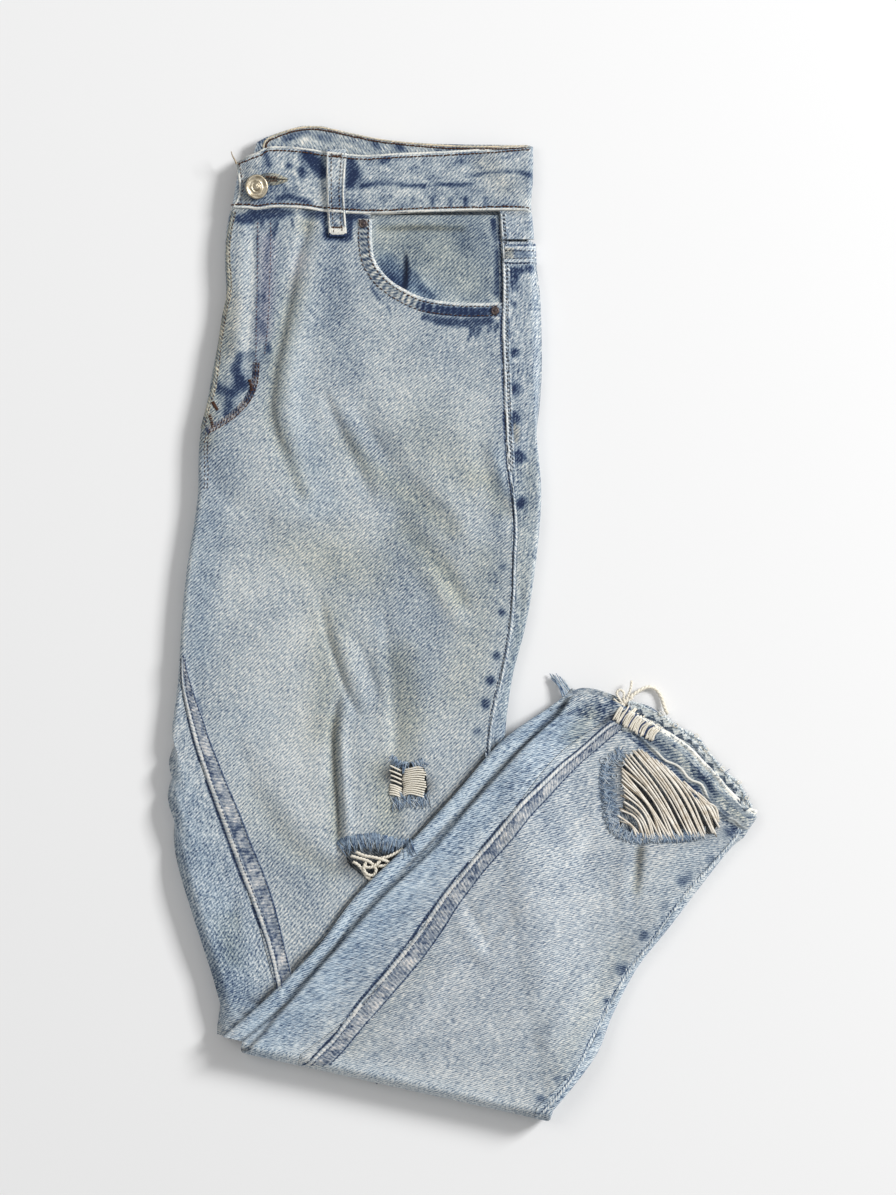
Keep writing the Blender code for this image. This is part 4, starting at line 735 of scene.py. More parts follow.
BLUE_UPPER = {
    "left hip": [StainOrPaintedLight(205, 520, 16, 0.3), StainOrPaintedLight(200, 590, 16, 0.4), StainOrPaintedLight(200, 650, 14, 0.4)],
    "hip": [StainOrPaintedLight(300, 290, 14, 0.25), StainOrPaintedLight(290, 350, 14, 0.35), StainOrPaintedLight(296, 420, 16, 0.35), StainOrPaintedLight(320, 500, 18, 0.4)],
    "right": [StainOrPaintedLight(500, 455, 7, 0.5), StainOrPaintedLight(506, 490, 6, 0.5)],
    "facing": [StainOrPaintedLight(386, 258, 6, 0.8), StainOrPaintedLight(396, 274, 8, 1.0), StainOrPaintedLight(414, 286, 8, 1.0), StainOrPaintedLight(430, 294, 7, 0.7)],
    "strip top": [StainOrPaintedLight(536, 300, 5, 0.2), StainOrPaintedLight(536, 380, 5, 0.2), StainOrPaintedLight(533, 470, 5, 0.2), StainOrPaintedLight(526, 560, 6, 0.2)],
    "strip low": [StainOrPaintedLight(519, 620, 8, 0.5), StainOrPaintedLight(505, 700, 8, 0.5), StainOrPaintedLight(495, 745, 8, 0.5)],
    "left back strip": [StainOrPaintedLight(178, 780, 14, 0.5), StainOrPaintedLight(195, 860, 22, 0.6), StainOrPaintedLight(220, 930, 24, 0.6), StainOrPaintedLight(240, 1000, 20, 0.6)],
    "middle": [StainOrPaintedLight(220, 730, 16, 0.2), StainOrPaintedLight(255, 720, 20, 0.2)],
}
NAVY_LOWER = {
    "hem corner": [StainOrPaintedLight(728, 833, 5, 0.7), StainOrPaintedLight(740, 828, 4, 0.6)],
    "seam one": [StainOrPaintedLight(712, 861, 5, 0.45)],
    "hem blue": [StainOrPaintedLight(652, 742, 4, 0.35), StainOrPaintedLight(664, 748, 5, 0.4), StainOrPaintedLight(676, 757, 4, 0.35)],
    "hem spots": [StainOrPaintedLight(699, 777, 4, 0.6), StainOrPaintedLight(709, 786, 4.5, 0.75), StainOrPaintedLight(717, 795, 4, 0.6), StainOrPaintedLight(687, 755, 2.5, 0.5)],
    "seam two": [StainOrPaintedLight(683, 881, 5.5, 0.65), StainOrPaintedLight(689, 875, 4, 0.5)],
    "seam three": [StainOrPaintedLight(664, 906, 4.5, 0.35)],
    "seam four": [StainOrPaintedLight(643, 936, 4.5, 0.6)],
    "seam five": [StainOrPaintedLight(622, 969, 5.5, 0.65)],
    "seam six": [StainOrPaintedLight(608, 1001, 4, 0.7)],
    "seam seven": [StainOrPaintedLight(596, 1036, 5, 0.3)],
    "seam eight": [StainOrPaintedLight(558, 1078, 3.5, 0.5)],
    "seam nine": [StainOrPaintedLight(541, 1098, 4, 0.65)],
    "rip left": [StainOrPaintedLight(606, 765, 5, 0.6), StainOrPaintedLight(606, 790, 6, 0.6), StainOrPaintedLight(612, 815, 6, 0.6)],
    "rip low": [StainOrPaintedLight(624, 834, 5, 0.6), StainOrPaintedLight(650, 838, 4, 0.6), StainOrPaintedLight(675, 837, 4, 0.6), StainOrPaintedLight(698, 836, 3, 0.6)],
    "under the hem": [StainOrPaintedLight(640, 745, 3, 0.5), StainOrPaintedLight(665, 763, 3, 0.6), StainOrPaintedLight(690, 783, 3, 0.6), StainOrPaintedLight(712, 806, 3, 0.5)],
}
PALE_LOWER = {
    "inseam side": [StainOrPaintedLight(480, 850, 10, 0.2), StainOrPaintedLight(560, 770, 10, 0.2)],
    "hem end": [StainOrPaintedLight(725, 806, 6, 0.7), StainOrPaintedLight(738, 814, 6, 0.8), StainOrPaintedLight(690, 748, 4, 0.5), StainOrPaintedLight(640, 722, 5, 0.7)],
    "beside the crease": [StainOrPaintedLight(650, 850, 4, 0.6), StainOrPaintedLight(654, 866, 5, 0.5), StainOrPaintedLight(672, 852, 6, 0.4)],
    "wrinkles": [StainOrPaintedLight(568, 835, 2.5, 0.7), StainOrPaintedLight(576, 822, 2.5, 0.8), StainOrPaintedLight(586, 815, 2.0, 0.6)],
    "wrinkles two": [StainOrPaintedLight(580, 852, 2.5, 0.6), StainOrPaintedLight(592, 838, 2.5, 0.7), StainOrPaintedLight(603, 829, 2.0, 0.5)],
    "ridge": [StainOrPaintedLight(575, 845, 6, 0.5), StainOrPaintedLight(590, 822, 5, 0.5)],
    "right": [StainOrPaintedLight(660, 870, 10, 0.3), StainOrPaintedLight(690, 852, 8, 0.3)],
    # Painted highlight along the bottom fold, which curves away from the light
    "fold": [
        StainOrPaintedLight(250, 1042, 8, 0.5), StainOrPaintedLight(300, 1058, 12, 1.0), StainOrPaintedLight(370, 1076, 14, 1.0), StainOrPaintedLight(430, 1092, 16, 1.0),
        StainOrPaintedLight(500, 1106, 16, 1.0)],
    "roll": [
        StainOrPaintedLight(252, 1034, 8, 0.6), StainOrPaintedLight(330, 942, 9, 0.6), StainOrPaintedLight(400, 866, 9, 0.6), StainOrPaintedLight(460, 800, 9, 0.6),
        StainOrPaintedLight(520, 738, 9, 0.5)],
}
BLUE_LOWER = {
    "strip": [
        StainOrPaintedLight(270, 1040, 18, 0.8), StainOrPaintedLight(320, 985, 20, 0.8), StainOrPaintedLight(380, 915, 22, 0.8), StainOrPaintedLight(440, 850, 22, 0.8),
        StainOrPaintedLight(500, 785, 20, 0.7), StainOrPaintedLight(560, 730, 16, 0.6)],
    "roll": [
        StainOrPaintedLight(250, 1025, 10, 0.8), StainOrPaintedLight(330, 935, 12, 0.8), StainOrPaintedLight(420, 835, 12, 0.8), StainOrPaintedLight(500, 752, 12, 0.8),
        StainOrPaintedLight(560, 710, 12, 0.8)],
    "fold": [StainOrPaintedLight(330, 1062, 10, 0.5), StainOrPaintedLight(400, 1080, 10, 0.4), StainOrPaintedLight(500, 1105, 10, 0.4)],
    "right edge": [StainOrPaintedLight(560, 1100, 8, 0.5), StainOrPaintedLight(610, 1010, 6, 0.4), StainOrPaintedLight(680, 900, 6, 0.4)],
    "seam": [StainOrPaintedLight(700, 850, 14, 0.3), StainOrPaintedLight(660, 890, 12, 0.2)],
}
# Olive tint: painted shade in the trough below the shin rip, and broad olive places elsewhere
OLIVE_LOWER = {
    "hem end": [StainOrPaintedLight(728, 808, 8, 0.4), StainOrPaintedLight(742, 816, 7, 0.5), StainOrPaintedLight(636, 718, 7, 0.3)],
    "near the hem": [StainOrPaintedLight(575, 735, 10, 0.5), StainOrPaintedLight(590, 715, 8, 0.5)],
    "trough": [StainOrPaintedLight(640, 850, 4, 0.6), StainOrPaintedLight(636, 890, 4, 0.5)],
    "beside the inseam": [StainOrPaintedLight(420, 960, 14, 0.2), StainOrPaintedLight(350, 1040, 14, 0.2)],
    "seam": [StainOrPaintedLight(560, 1070, 12, 0.2), StainOrPaintedLight(620, 950, 12, 0.2)],
}
LILAC_LOWER = {
    "front": [StainOrPaintedLight(450, 1000, 60, 0.7), StainOrPaintedLight(540, 900, 70, 0.7), StainOrPaintedLight(620, 800, 50, 0.5)],
}


DARK_UPPER = {
    "hip": [StainOrPaintedLight(330, 248, 15, 0.8), StainOrPaintedLight(336, 285, 20, 1.0), StainOrPaintedLight(335, 327, 20, 0.9), StainOrPaintedLight(350, 370, 18, 0.45)],
    "left hip": [StainOrPaintedLight(282, 250, 10, 0.6), StainOrPaintedLight(272, 300, 9, 0.5), StainOrPaintedLight(262, 380, 9, 0.4)],
    "under the pocket": [StainOrPaintedLight(440, 345, 24, 0.25), StainOrPaintedLight(478, 355, 16, 0.4)],
    "fly band": [StainOrPaintedLight(268, 240, 7, 0.6), StainOrPaintedLight(266, 290, 7, 0.6), StainOrPaintedLight(262, 340, 8, 0.6), StainOrPaintedLight(254, 370, 8, 0.4)],
    "fly": [StainOrPaintedLight(232, 240, 9, 0.45), StainOrPaintedLight(226, 300, 9, 0.5), StainOrPaintedLight(222, 350, 9, 0.5), StainOrPaintedLight(216, 390, 9, 0.4)],
    "left edge": [StainOrPaintedLight(206, 430, 14, 0.8), StainOrPaintedLight(205, 475, 16, 0.6), StainOrPaintedLight(228, 440, 16, 0.6), StainOrPaintedLight(200, 620, 12, 0.4),
                  StainOrPaintedLight(196, 690, 12, 0.4)],
    "crotch": [StainOrPaintedLight(224, 408, 12, 0.8), StainOrPaintedLight(240, 385, 10, 0.7)],
    "facing edge": [StainOrPaintedLight(386, 262, 7, 0.8), StainOrPaintedLight(398, 278, 8, 1.0), StainOrPaintedLight(416, 290, 8, 0.9), StainOrPaintedLight(430, 296, 6, 0.7)],
    "facing": [StainOrPaintedLight(470, 230, 16, 0.3), StainOrPaintedLight(488, 262, 10, 0.5), StainOrPaintedLight(486, 290, 8, 0.5)],
    "facing middle": [StainOrPaintedLight(400, 234, 14, 0.25), StainOrPaintedLight(440, 236, 14, 0.25)],
    "strip": [StainOrPaintedLight(522, 235, 10, 0.3), StainOrPaintedLight(518, 300, 7, 0.3), StainOrPaintedLight(517, 350, 6, 0.3), StainOrPaintedLight(518, 400, 6, 0.3),
              StainOrPaintedLight(520, 455, 6, 0.3), StainOrPaintedLight(520, 520, 6, 0.3)],
    "seam side": [
        StainOrPaintedLight(492, 330, 9, 0.6), StainOrPaintedLight(495, 380, 8, 0.4), StainOrPaintedLight(497, 430, 8, 0.6), StainOrPaintedLight(501, 480, 8, 0.5),
        StainOrPaintedLight(500, 540, 8, 0.7), StainOrPaintedLight(494, 600, 9, 0.6)],
    "loop side": [StainOrPaintedLight(352, 206, 10, 0.6), StainOrPaintedLight(345, 232, 8, 0.5), StainOrPaintedLight(318, 300, 8, 0.3)],
    "side strip": [StainOrPaintedLight(503, 268, 6, 0.6), StainOrPaintedLight(503, 210, 8, 0.5), StainOrPaintedLight(500, 160, 8, 0.4)],
    "left foot": [StainOrPaintedLight(205, 1000, 12, 0.6), StainOrPaintedLight(230, 940, 12, 0.4)],
    "right knee": [StainOrPaintedLight(428, 590, 14, 0.6), StainOrPaintedLight(430, 640, 15, 0.7), StainOrPaintedLight(424, 680, 13, 0.4)],
    "pocket band": [StainOrPaintedLight(368, 258, 8, 0.7), StainOrPaintedLight(374, 274, 9, 0.9), StainOrPaintedLight(386, 289, 10, 0.9), StainOrPaintedLight(404, 302, 9, 0.7)],
    "fly top": [StainOrPaintedLight(252, 176, 13, 0.4), StainOrPaintedLight(276, 188, 12, 0.5), StainOrPaintedLight(252, 228, 14, 0.6), StainOrPaintedLight(282, 228, 12, 0.5)],
    "band right": [StainOrPaintedLight(380, 172, 14, 0.3), StainOrPaintedLight(430, 168, 16, 0.3), StainOrPaintedLight(510, 165, 14, 0.3)],
    "left strip": [StainOrPaintedLight(215, 960, 12, 0.5), StainOrPaintedLight(226, 985, 12, 0.7), StainOrPaintedLight(246, 1000, 8, 0.5)],
    "middle": [StainOrPaintedLight(392, 490, 20, 0.45), StainOrPaintedLight(402, 540, 22, 0.5), StainOrPaintedLight(400, 600, 22, 0.45), StainOrPaintedLight(396, 660, 22, 0.5)],
    "middle top": [StainOrPaintedLight(372, 450, 14, 0.4), StainOrPaintedLight(345, 420, 12, 0.3)],
    "knee": [StainOrPaintedLight(306, 884, 13, 0.7), StainOrPaintedLight(284, 868, 14, 0.6), StainOrPaintedLight(262, 840, 12, 0.4)],
}
ROSE_UPPER = {
    "fly band": [StainOrPaintedLight(267, 240, 6, 0.8), StainOrPaintedLight(266, 290, 6, 0.9), StainOrPaintedLight(263, 335, 6, 0.8)],
    "hip": [StainOrPaintedLight(292, 290, 6, 0.3), StainOrPaintedLight(300, 260, 6, 0.3)],
}
DARK_LOWER = {
    "hem": [StainOrPaintedLight(600, 715, 12, 0.3), StainOrPaintedLight(640, 728, 8, 0.3)],
    "inseam side": [StainOrPaintedLight(600, 745, 8, 0.35), StainOrPaintedLight(575, 775, 8, 0.2)],
    "front": [StainOrPaintedLight(556, 836, 12, 0.6), StainOrPaintedLight(540, 800, 10, 0.4)],
    "middle strip": [StainOrPaintedLight(520, 778, 12, 0.4), StainOrPaintedLight(440, 868, 10, 0.25)],
    "upper strip": [StainOrPaintedLight(560, 722, 12, 0.5), StainOrPaintedLight(585, 704, 10, 0.5)],
}
# Painted shade: in creases, in the pocket facing, along the side seam, in the buttonhole slit and on the inner cloth
# seen through the knee rips
SHADE_UPPER = {
    "hip crease": [
        StainOrPaintedLight(311, 226, 1.5, 0.2), StainOrPaintedLight(300, 256, 2.0, 0.35), StainOrPaintedLight(294, 290, 2.4, 0.42), StainOrPaintedLight(287, 326, 2.8, 0.45),
        StainOrPaintedLight(278, 366, 2.8, 0.5), StainOrPaintedLight(273, 405, 2.6, 0.5), StainOrPaintedLight(279, 436, 2.4, 0.45), StainOrPaintedLight(290, 453, 2.0, 0.25)],
    "second crease": [StainOrPaintedLight(327, 390, 2.5, 0.15), StainOrPaintedLight(340, 422, 3.5, 0.28), StainOrPaintedLight(354, 450, 4.0, 0.2)],
    "third crease": [StainOrPaintedLight(359, 408, 2.5, 0.12), StainOrPaintedLight(379, 440, 3.5, 0.28), StainOrPaintedLight(392, 462, 3.5, 0.2)],
    "facing crease": [StainOrPaintedLight(406, 252, 1.6, 0.4), StainOrPaintedLight(406.5, 262, 2.1, 0.85), StainOrPaintedLight(406, 276, 2.2, 0.9), StainOrPaintedLight(405, 287, 2.0, 0.7)],
    "facing top": [
        StainOrPaintedLight(384, 229, 1.8, 0.3), StainOrPaintedLight(400, 228, 2.2, 0.55), StainOrPaintedLight(420, 227.5, 2.4, 0.6), StainOrPaintedLight(440, 228, 2.2, 0.5),
        StainOrPaintedLight(464, 229, 1.8, 0.25)],
    "small rip": [StainOrPaintedLight(392, 774, 9, 1.0), StainOrPaintedLight(408, 782, 12, 1.0), StainOrPaintedLight(422, 786, 9, 1.0)],
    "large rip": [StainOrPaintedLight(350, 860, 10, 1.0), StainOrPaintedLight(372, 866, 13, 1.0), StainOrPaintedLight(398, 858, 10, 1.0)],
    "buttonhole": [StainOrPaintedLight(287, 180, 1.2, 0.5)],
    "side seam": [
        StainOrPaintedLight(503, 268, 1.5, 0.5), StainOrPaintedLight(505, 330, 1.7, 0.5), StainOrPaintedLight(508, 407, 1.9, 0.6), StainOrPaintedLight(510, 471, 1.9, 0.65),
        StainOrPaintedLight(515, 528, 1.7, 0.6), StainOrPaintedLight(512.5, 600, 1.6, 0.6)],
}
ROLL_LOWER_LINE = [
    (238, 1051), (248.6, 1049.4), (252.4, 1045.6), (258, 1039.4), (266, 1031), (270.6, 1025), (276.3, 1017.4),
    (286, 1006), (298, 990.6), (313.6, 972.4), (322, 962), (335, 950), (345, 937), (360, 920), (379, 898),
    (391, 886), (402, 875.7), (412, 863.5), (422, 855), (432, 844), (449.6, 825.7), (475, 800), (505, 767),
    (535, 735), (550, 720), (567, 704)]
ROLL_UPPER_LINE = [
    (232.4, 1036), (238, 1031), (245, 1024), (252.5, 1015.5), (264, 999), (279, 984), (300, 962), (327, 940),
    (347, 910), (366, 888), (383, 868.6), (404.7, 851), (417, 837), (434, 815.5), (452, 798), (482, 762),
    (498, 745)]
# Painted shade on the inner cloth seen through the shin rip
SHADE_LOWER = {
    "shin rip": [
        StainOrPaintedLight(622, 762, 8, 0.8), StainOrPaintedLight(634, 790, 16, 1.0), StainOrPaintedLight(660, 806, 20, 1.0), StainOrPaintedLight(690, 822, 14, 1.0),
        StainOrPaintedLight(708, 826, 8, 0.9)],
}


# More painted shade: beside the roll's edges, in the knee trough and dart, below the waistband's edge, under the shin
# rip, in the gap between the hems and at the hem corner
SHADE_UPPER["beside the roll"] = [StainOrPaintedLight(x - 2.0, y - 2.0, 3.4, 0.55) for x, y in ROLL_UPPER_LINE]
SHADE_UPPER["close to the roll"] = [StainOrPaintedLight(x - 0.5, y - 0.5, 1.6, 0.8) for x, y in ROLL_UPPER_LINE]
SHADE_UPPER["knee trough"] = [
    StainOrPaintedLight(337, 704, 1.5, 0.3), StainOrPaintedLight(333, 735, 2.4, 0.5), StainOrPaintedLight(334.5, 770, 2.4, 0.55), StainOrPaintedLight(337, 805, 2.2, 0.6),
    StainOrPaintedLight(338, 835, 2.0, 0.6)]
SHADE_UPPER["dart"] = [
    StainOrPaintedLight(326, 632, 1.6, 0.2), StainOrPaintedLight(335, 658, 1.6, 0.35), StainOrPaintedLight(343, 682, 1.6, 0.35), StainOrPaintedLight(350, 701, 1.2, 0.2)]
SHADE_UPPER["below the band"] = [StainOrPaintedLight(x, y + 2.6, 1.7, 0.35) for x, y in (
    (234, 208), (249, 208), (264, 208), (284, 207.5), (311, 209), (347, 213), (370, 214), (400, 213), (430, 211.5),
    (460, 211), (490, 210.5), (528, 211))]
SHADE_LOWER["under the shin rip"] = [
    StainOrPaintedLight(642, 842, 2.0, 0.5), StainOrPaintedLight(640.5, 850, 3.2, 0.75), StainOrPaintedLight(639.5, 862, 3.0, 0.75), StainOrPaintedLight(639, 875, 2.6, 0.6),
    StainOrPaintedLight(638, 888, 2.0, 0.3)]
SHADE_LOWER["hem gap"] = [StainOrPaintedLight(621, 711, 2.0, 0.5), StainOrPaintedLight(613, 716, 3.0, 0.85), StainOrPaintedLight(606, 721, 2.4, 0.7), StainOrPaintedLight(597, 729, 1.8, 0.4)]
SHADE_LOWER["hem corner"] = [StainOrPaintedLight(722, 818, 1.6, 0.5), StainOrPaintedLight(732, 823, 1.6, 0.6), StainOrPaintedLight(741, 828, 1.6, 0.5)]
SHADE_LOWER["beside the roll"] = [StainOrPaintedLight(x - 0.8, y - 0.8, 1.9, 0.8) for x, y in ROLL_LOWER_LINE]


def painted(stains_and_painted_light, points):
    """Strength at points of one table of stains, worn places, painted shade or painted highlights, from their place in
    the plan.
    """
    x = np.asarray(points)[..., 0]
    y = np.asarray(points)[..., 1]

    def total(px, py):
        left = np.ones_like(px)
        for line in stains_and_painted_light.values():
            scaled = [(p.x, p.y, p.reach * UNIT * 1.25, p.strength) for p in line]
            left *= 1.0 - np.clip(line_effect(scaled, px, py), 0.0, 1.0)
        return 1.0 - left
    return in_chunks(total, x, y)


def upper_paint(points):
    return {"navy": painted(NAVY_UPPER, points), "olive": painted(OLIVE_UPPER, points),
            "pale": painted(PALE_UPPER, points), "blue": painted(BLUE_UPPER, points),
            "brown": painted(BROWN_UPPER, points), "shade": painted(SHADE_UPPER, points),
            "dark": painted(DARK_UPPER, points), "rose": painted(ROSE_UPPER, points)}


def lower_paint(points):
    return {"navy": painted(NAVY_LOWER, points), "olive": painted(OLIVE_LOWER, points),
            "pale": painted(PALE_LOWER, points), "blue": painted(BLUE_LOWER, points),
            "lilac": painted(LILAC_LOWER, points), "shade": painted(SHADE_LOWER, points),
            "dark": painted(DARK_LOWER, points)}


class Nodes:
    """Short way to build a material's nodes."""

    def __init__(self, name):
        self.material = bpy.data.materials.new(name)
        self.material.use_nodes = True
        self.tree = self.material.node_tree
        self.shader = self.tree.nodes["Principled BSDF"]

    def add(self, kind, inputs=(), **settings):
        node = self.tree.nodes.new(kind)
        for key, value in settings.items():
            setattr(node, key, value)
        for key, value in dict(inputs).items():
            self.feed(node.inputs[key], value)
        return node

    def feed(self, socket, value):
        if isinstance(value, bpy.types.NodeSocket):
            self.tree.links.new(value, socket)
        else:
            socket.default_value = value

    def math(self, operation, *values, clamp=False):
        node = self.add("ShaderNodeMath", operation=operation, use_clamp=clamp)
        for socket, value in zip(node.inputs, values):
            self.feed(socket, value)
        return node.outputs[0]

    def remap(self, value, low, high, out_low=0.0, out_high=1.0):
        node = self.add("ShaderNodeMapRange", {"Value": value, "From Min": low, "From Max": high,
                                               "To Min": out_low, "To Max": out_high})
        node.clamp = True
        return node.outputs["Result"]

    def mix(self, share, first, second):
        node = self.add("ShaderNodeMix", data_type="RGBA")
        self.feed(node.inputs[0], share)
        self.feed(node.inputs[6], first)
        self.feed(node.inputs[7], second)
        return node.outputs[2]

    def noise(self, vector, scale, detail=2.0, rough=0.5):
        node = self.add("ShaderNodeTexNoise", {"Vector": vector, "Scale": scale, "Detail": detail,
                                               "Roughness": rough})
        return node.outputs[0]

    def value(self, name):
        return self.add("ShaderNodeAttribute", attribute_name=name).outputs["Fac"]

    def finish(self, colour, roughness, height, distance, strength=1.0, sheen=0.0):
        self.feed(self.shader.inputs["Base Color"], colour)
        self.feed(self.shader.inputs["Roughness"], roughness)
        self.shader.inputs["Specular IOR Level"].default_value = 0.25
        self.shader.inputs["Sheen Weight"].default_value = sheen
        self.shader.inputs["Sheen Roughness"].default_value = 0.6
        bump = self.add("ShaderNodeBump", {"Height": height, "Distance": distance, "Strength": strength})
        self.feed(self.shader.inputs["Normal"], bump.outputs[0])
        return self.material


# Colours of the cloth from indigo to bleached, as linear values
INDIGO = (0.011, 0.024, 0.070, 1.0)
DEEP = (0.040, 0.070, 0.135, 1.0)
MIDDLE = (0.160, 0.210, 0.280, 1.0)
LIGHT = (0.370, 0.425, 0.460, 1.0)
PALE = (0.600, 0.635, 0.640, 1.0)
WHITE = (0.800, 0.790, 0.740, 1.0)


def denim(name, wash=0.66, twill=0.34, fleck=0.62, mottle=0.20, streak=0.12, period=1.9, tint=(1, 1, 1, 1),
          slope=1.0):
    """Twill cloth: dark blue lengthwise yarn over pale crosswise yarn, washed and stained, with painted shade and
    highlights from the painted values.
    """
    n = Nodes(name)
    uv = n.add("ShaderNodeUVMap", uv_map="grain").outputs[0]
    mm = n.add("ShaderNodeVectorMath", {0: uv, "Scale": 1000.0}, operation="SCALE").outputs[0]
    split = n.add("ShaderNodeSeparateXYZ", {0: mm})
    across = split.outputs[0]
    along = split.outputs[1]
    wander = n.noise(mm, 0.16, 3.0)
    phase = n.math("SUBTRACT", across, n.math("MULTIPLY", along, slope))
    phase = n.math("MULTIPLY", phase, 2 * math.pi * 0.7071 / period)
    phase = n.math("ADD", phase, n.math("MULTIPLY", wander, 3.0))
    lines = n.math("SINE", phase)
    turned = n.add("ShaderNodeMapping", {"Vector": mm, "Rotation": (0.0, 0.0, math.pi / 4 * slope),
                                         "Scale": (3.0, 0.95, 1.0)}, vector_type="TEXTURE")
    flecks = n.remap(n.noise(turned.outputs[0], 1.0, 2.0, 0.6), 0.30, 0.70)
    fine = n.remap(n.noise(mm, 0.8, 2.0, 0.7), 0.25, 0.75)
    lengthwise = n.add("ShaderNodeMapping", {"Vector": mm, "Scale": (0.85, 0.08, 1.0)}).outputs[0]
    yarns = n.remap(n.noise(lengthwise, 1.0, 2.0, 0.6), 0.3, 0.7)
    clouds = n.remap(n.noise(mm, 0.028, 5.0, 0.62), 0.3, 0.7)
    patches = n.remap(n.noise(mm, 0.11, 4.0, 0.65), 0.3, 0.7)
    # Navy darkening: dye blotches, and painted shadow where seam and hem strips set navy beside raised edges
    navy = n.value("navy")
    edge = n.math("MULTIPLY", n.math("SUBTRACT", patches, 0.5), 0.7)
    rough_edge = n.math("MULTIPLY", n.math("SUBTRACT", flecks, 0.5), 0.5)
    navy_stain_and_shadow = n.math("ADD", n.math("ADD", navy, n.math("MULTIPLY", edge, n.remap(navy, 0.0, 0.3))),
                   n.math("MULTIPLY", rough_edge, n.remap(navy, 0.0, 0.3)))
    navy_stain_and_shadow = n.remap(navy_stain_and_shadow, 0.12, 0.75)

    def swing(source, amount):
        return n.math("MULTIPLY", n.math("SUBTRACT", source, 0.5), amount)

    f = n.math("ADD", wash, n.math("MULTIPLY", lines, twill / 2))
    for source, amount in ((flecks, fleck), (fine, 0.34), (yarns, streak), (clouds, mottle), (patches, mottle * 0.5)):
        f = n.math("ADD", f, swing(source, amount))
    # Pale lightens: worn and bleached places, and the painted highlight on the lower fold
    f = n.math("ADD", f, n.math("MULTIPLY", n.value("pale"), 0.16))
    f = n.math("SUBTRACT", f, n.math("MULTIPLY", n.value("dark"), 0.22))
    f = n.math("SUBTRACT", f, n.math("MULTIPLY", n.value("blue"), 0.05))
    f = n.math("SUBTRACT", f, n.math("MULTIPLY", n.value("olive"), 0.08))
    f = n.math("SUBTRACT", f, n.math("MULTIPLY", navy_stain_and_shadow, 0.56), clamp=True)
    ramp = n.add("ShaderNodeValToRGB", {"Fac": f})
    stops = ramp.color_ramp.elements
    stops[0].position = 0.0
    stops[0].color = INDIGO
    stops[1].position = 1.0
    stops[1].color = WHITE
    for position, colour in ((0.18, DEEP), (0.40, MIDDLE), (0.64, LIGHT), (0.86, PALE)):
        stops.new(position).color = colour
    colour = n.add("ShaderNodeMix", data_type="RGBA", blend_type="MULTIPLY")
    colour.inputs[0].default_value = 1.0
    n.feed(colour.inputs[6], ramp.outputs[0])
    colour.inputs[7].default_value = tint
    colour = colour.outputs[2]
    # Tints from the painted values: shade darkens towards near black as painted shade, and olive darkens and yellows
    # the creases as painted shade
    for key, shade, amount in (("olive", (0.86, 0.80, 0.62, 1), 1.0), ("brown", (0.92, 0.76, 0.55, 1), 1.0),
                               ("blue", (0.88, 0.98, 1.08, 1), 1.0), ("lilac", (0.99, 0.99, 1.01, 1), 1.0), ("rose", (1.0, 0.88, 0.93, 1), 1.0),
                               ("shade", (0.16, 0.15, 0.15, 1), 1.0)):
        tinted = n.add("ShaderNodeMix", data_type="RGBA", blend_type="MULTIPLY")
        n.feed(tinted.inputs[0], n.math("MULTIPLY", n.value(key), amount, clamp=True))
        n.feed(tinted.inputs[6], colour)
        tinted.inputs[7].default_value = shade
        colour = tinted.outputs[2]
    height = n.math("ADD", n.math("MULTIPLY", lines, 0.35), n.math("MULTIPLY", flecks, 0.9))
    height = n.math("ADD", height, n.math("MULTIPLY", patches, 0.8))
    return n.finish(colour, 0.92, height, 0.00022, 0.8, sheen=0.08)


def yarn(name, colour, dark, scale=0.9, rough=0.9):
    """Cotton thread: a colour that changes along it."""
    n = Nodes(name)
    place = n.add("ShaderNodeTexCoord").outputs["Object"]
    mm = n.add("ShaderNodeVectorMath", {0: place, "Scale": 1000.0}, operation="SCALE").outputs[0]
    shade = n.remap(n.noise(mm, scale, 3.0, 0.6), 0.3, 0.7)
    return n.finish(n.mix(shade, (*dark, 1.0), (*colour, 1.0)), rough, n.noise(mm, 3.0, 2.0), 0.0002, 0.6)


front_cloth = denim("denim front", twill=0.32, mottle=0.15)
back_cloth = denim("denim back", wash=0.64, streak=0.36, twill=0.24, fleck=0.75, tint=(0.97, 0.99, 1.02, 1))
band_cloth = denim("denim waistband", wash=0.585, mottle=0.55, twill=0.26)
facing_cloth = denim("denim facing", wash=0.56, fleck=0.45, mottle=0.3, tint=(0.97, 0.98, 0.96, 1))
lower_cloth = denim("denim lower front", wash=0.665, twill=0.32, fleck=0.72, streak=0.25, mottle=0.16, tint=(0.99, 0.995, 1.01, 1))
lower_back_cloth = denim("denim lower back", wash=0.68, fleck=1.0, mottle=0.30, streak=0.36, tint=(0.95, 0.99, 1.04, 1))
hidden_cloth = denim("denim hidden", wash=0.60)
hem_cloth = denim("denim hem", wash=0.55, mottle=0.8, fleck=0.9)
lining_cloth = denim("denim inner face", wash=0.57, mottle=0.7, twill=0.15, tint=(1.0, 0.98, 0.95, 1))
cream_yarn = yarn("cream yarn", (0.88, 0.84, 0.75), (0.68, 0.62, 0.50))
rip_yarn = yarn("rip yarn", (0.92, 0.88, 0.80), (0.62, 0.54, 0.43), 0.22)


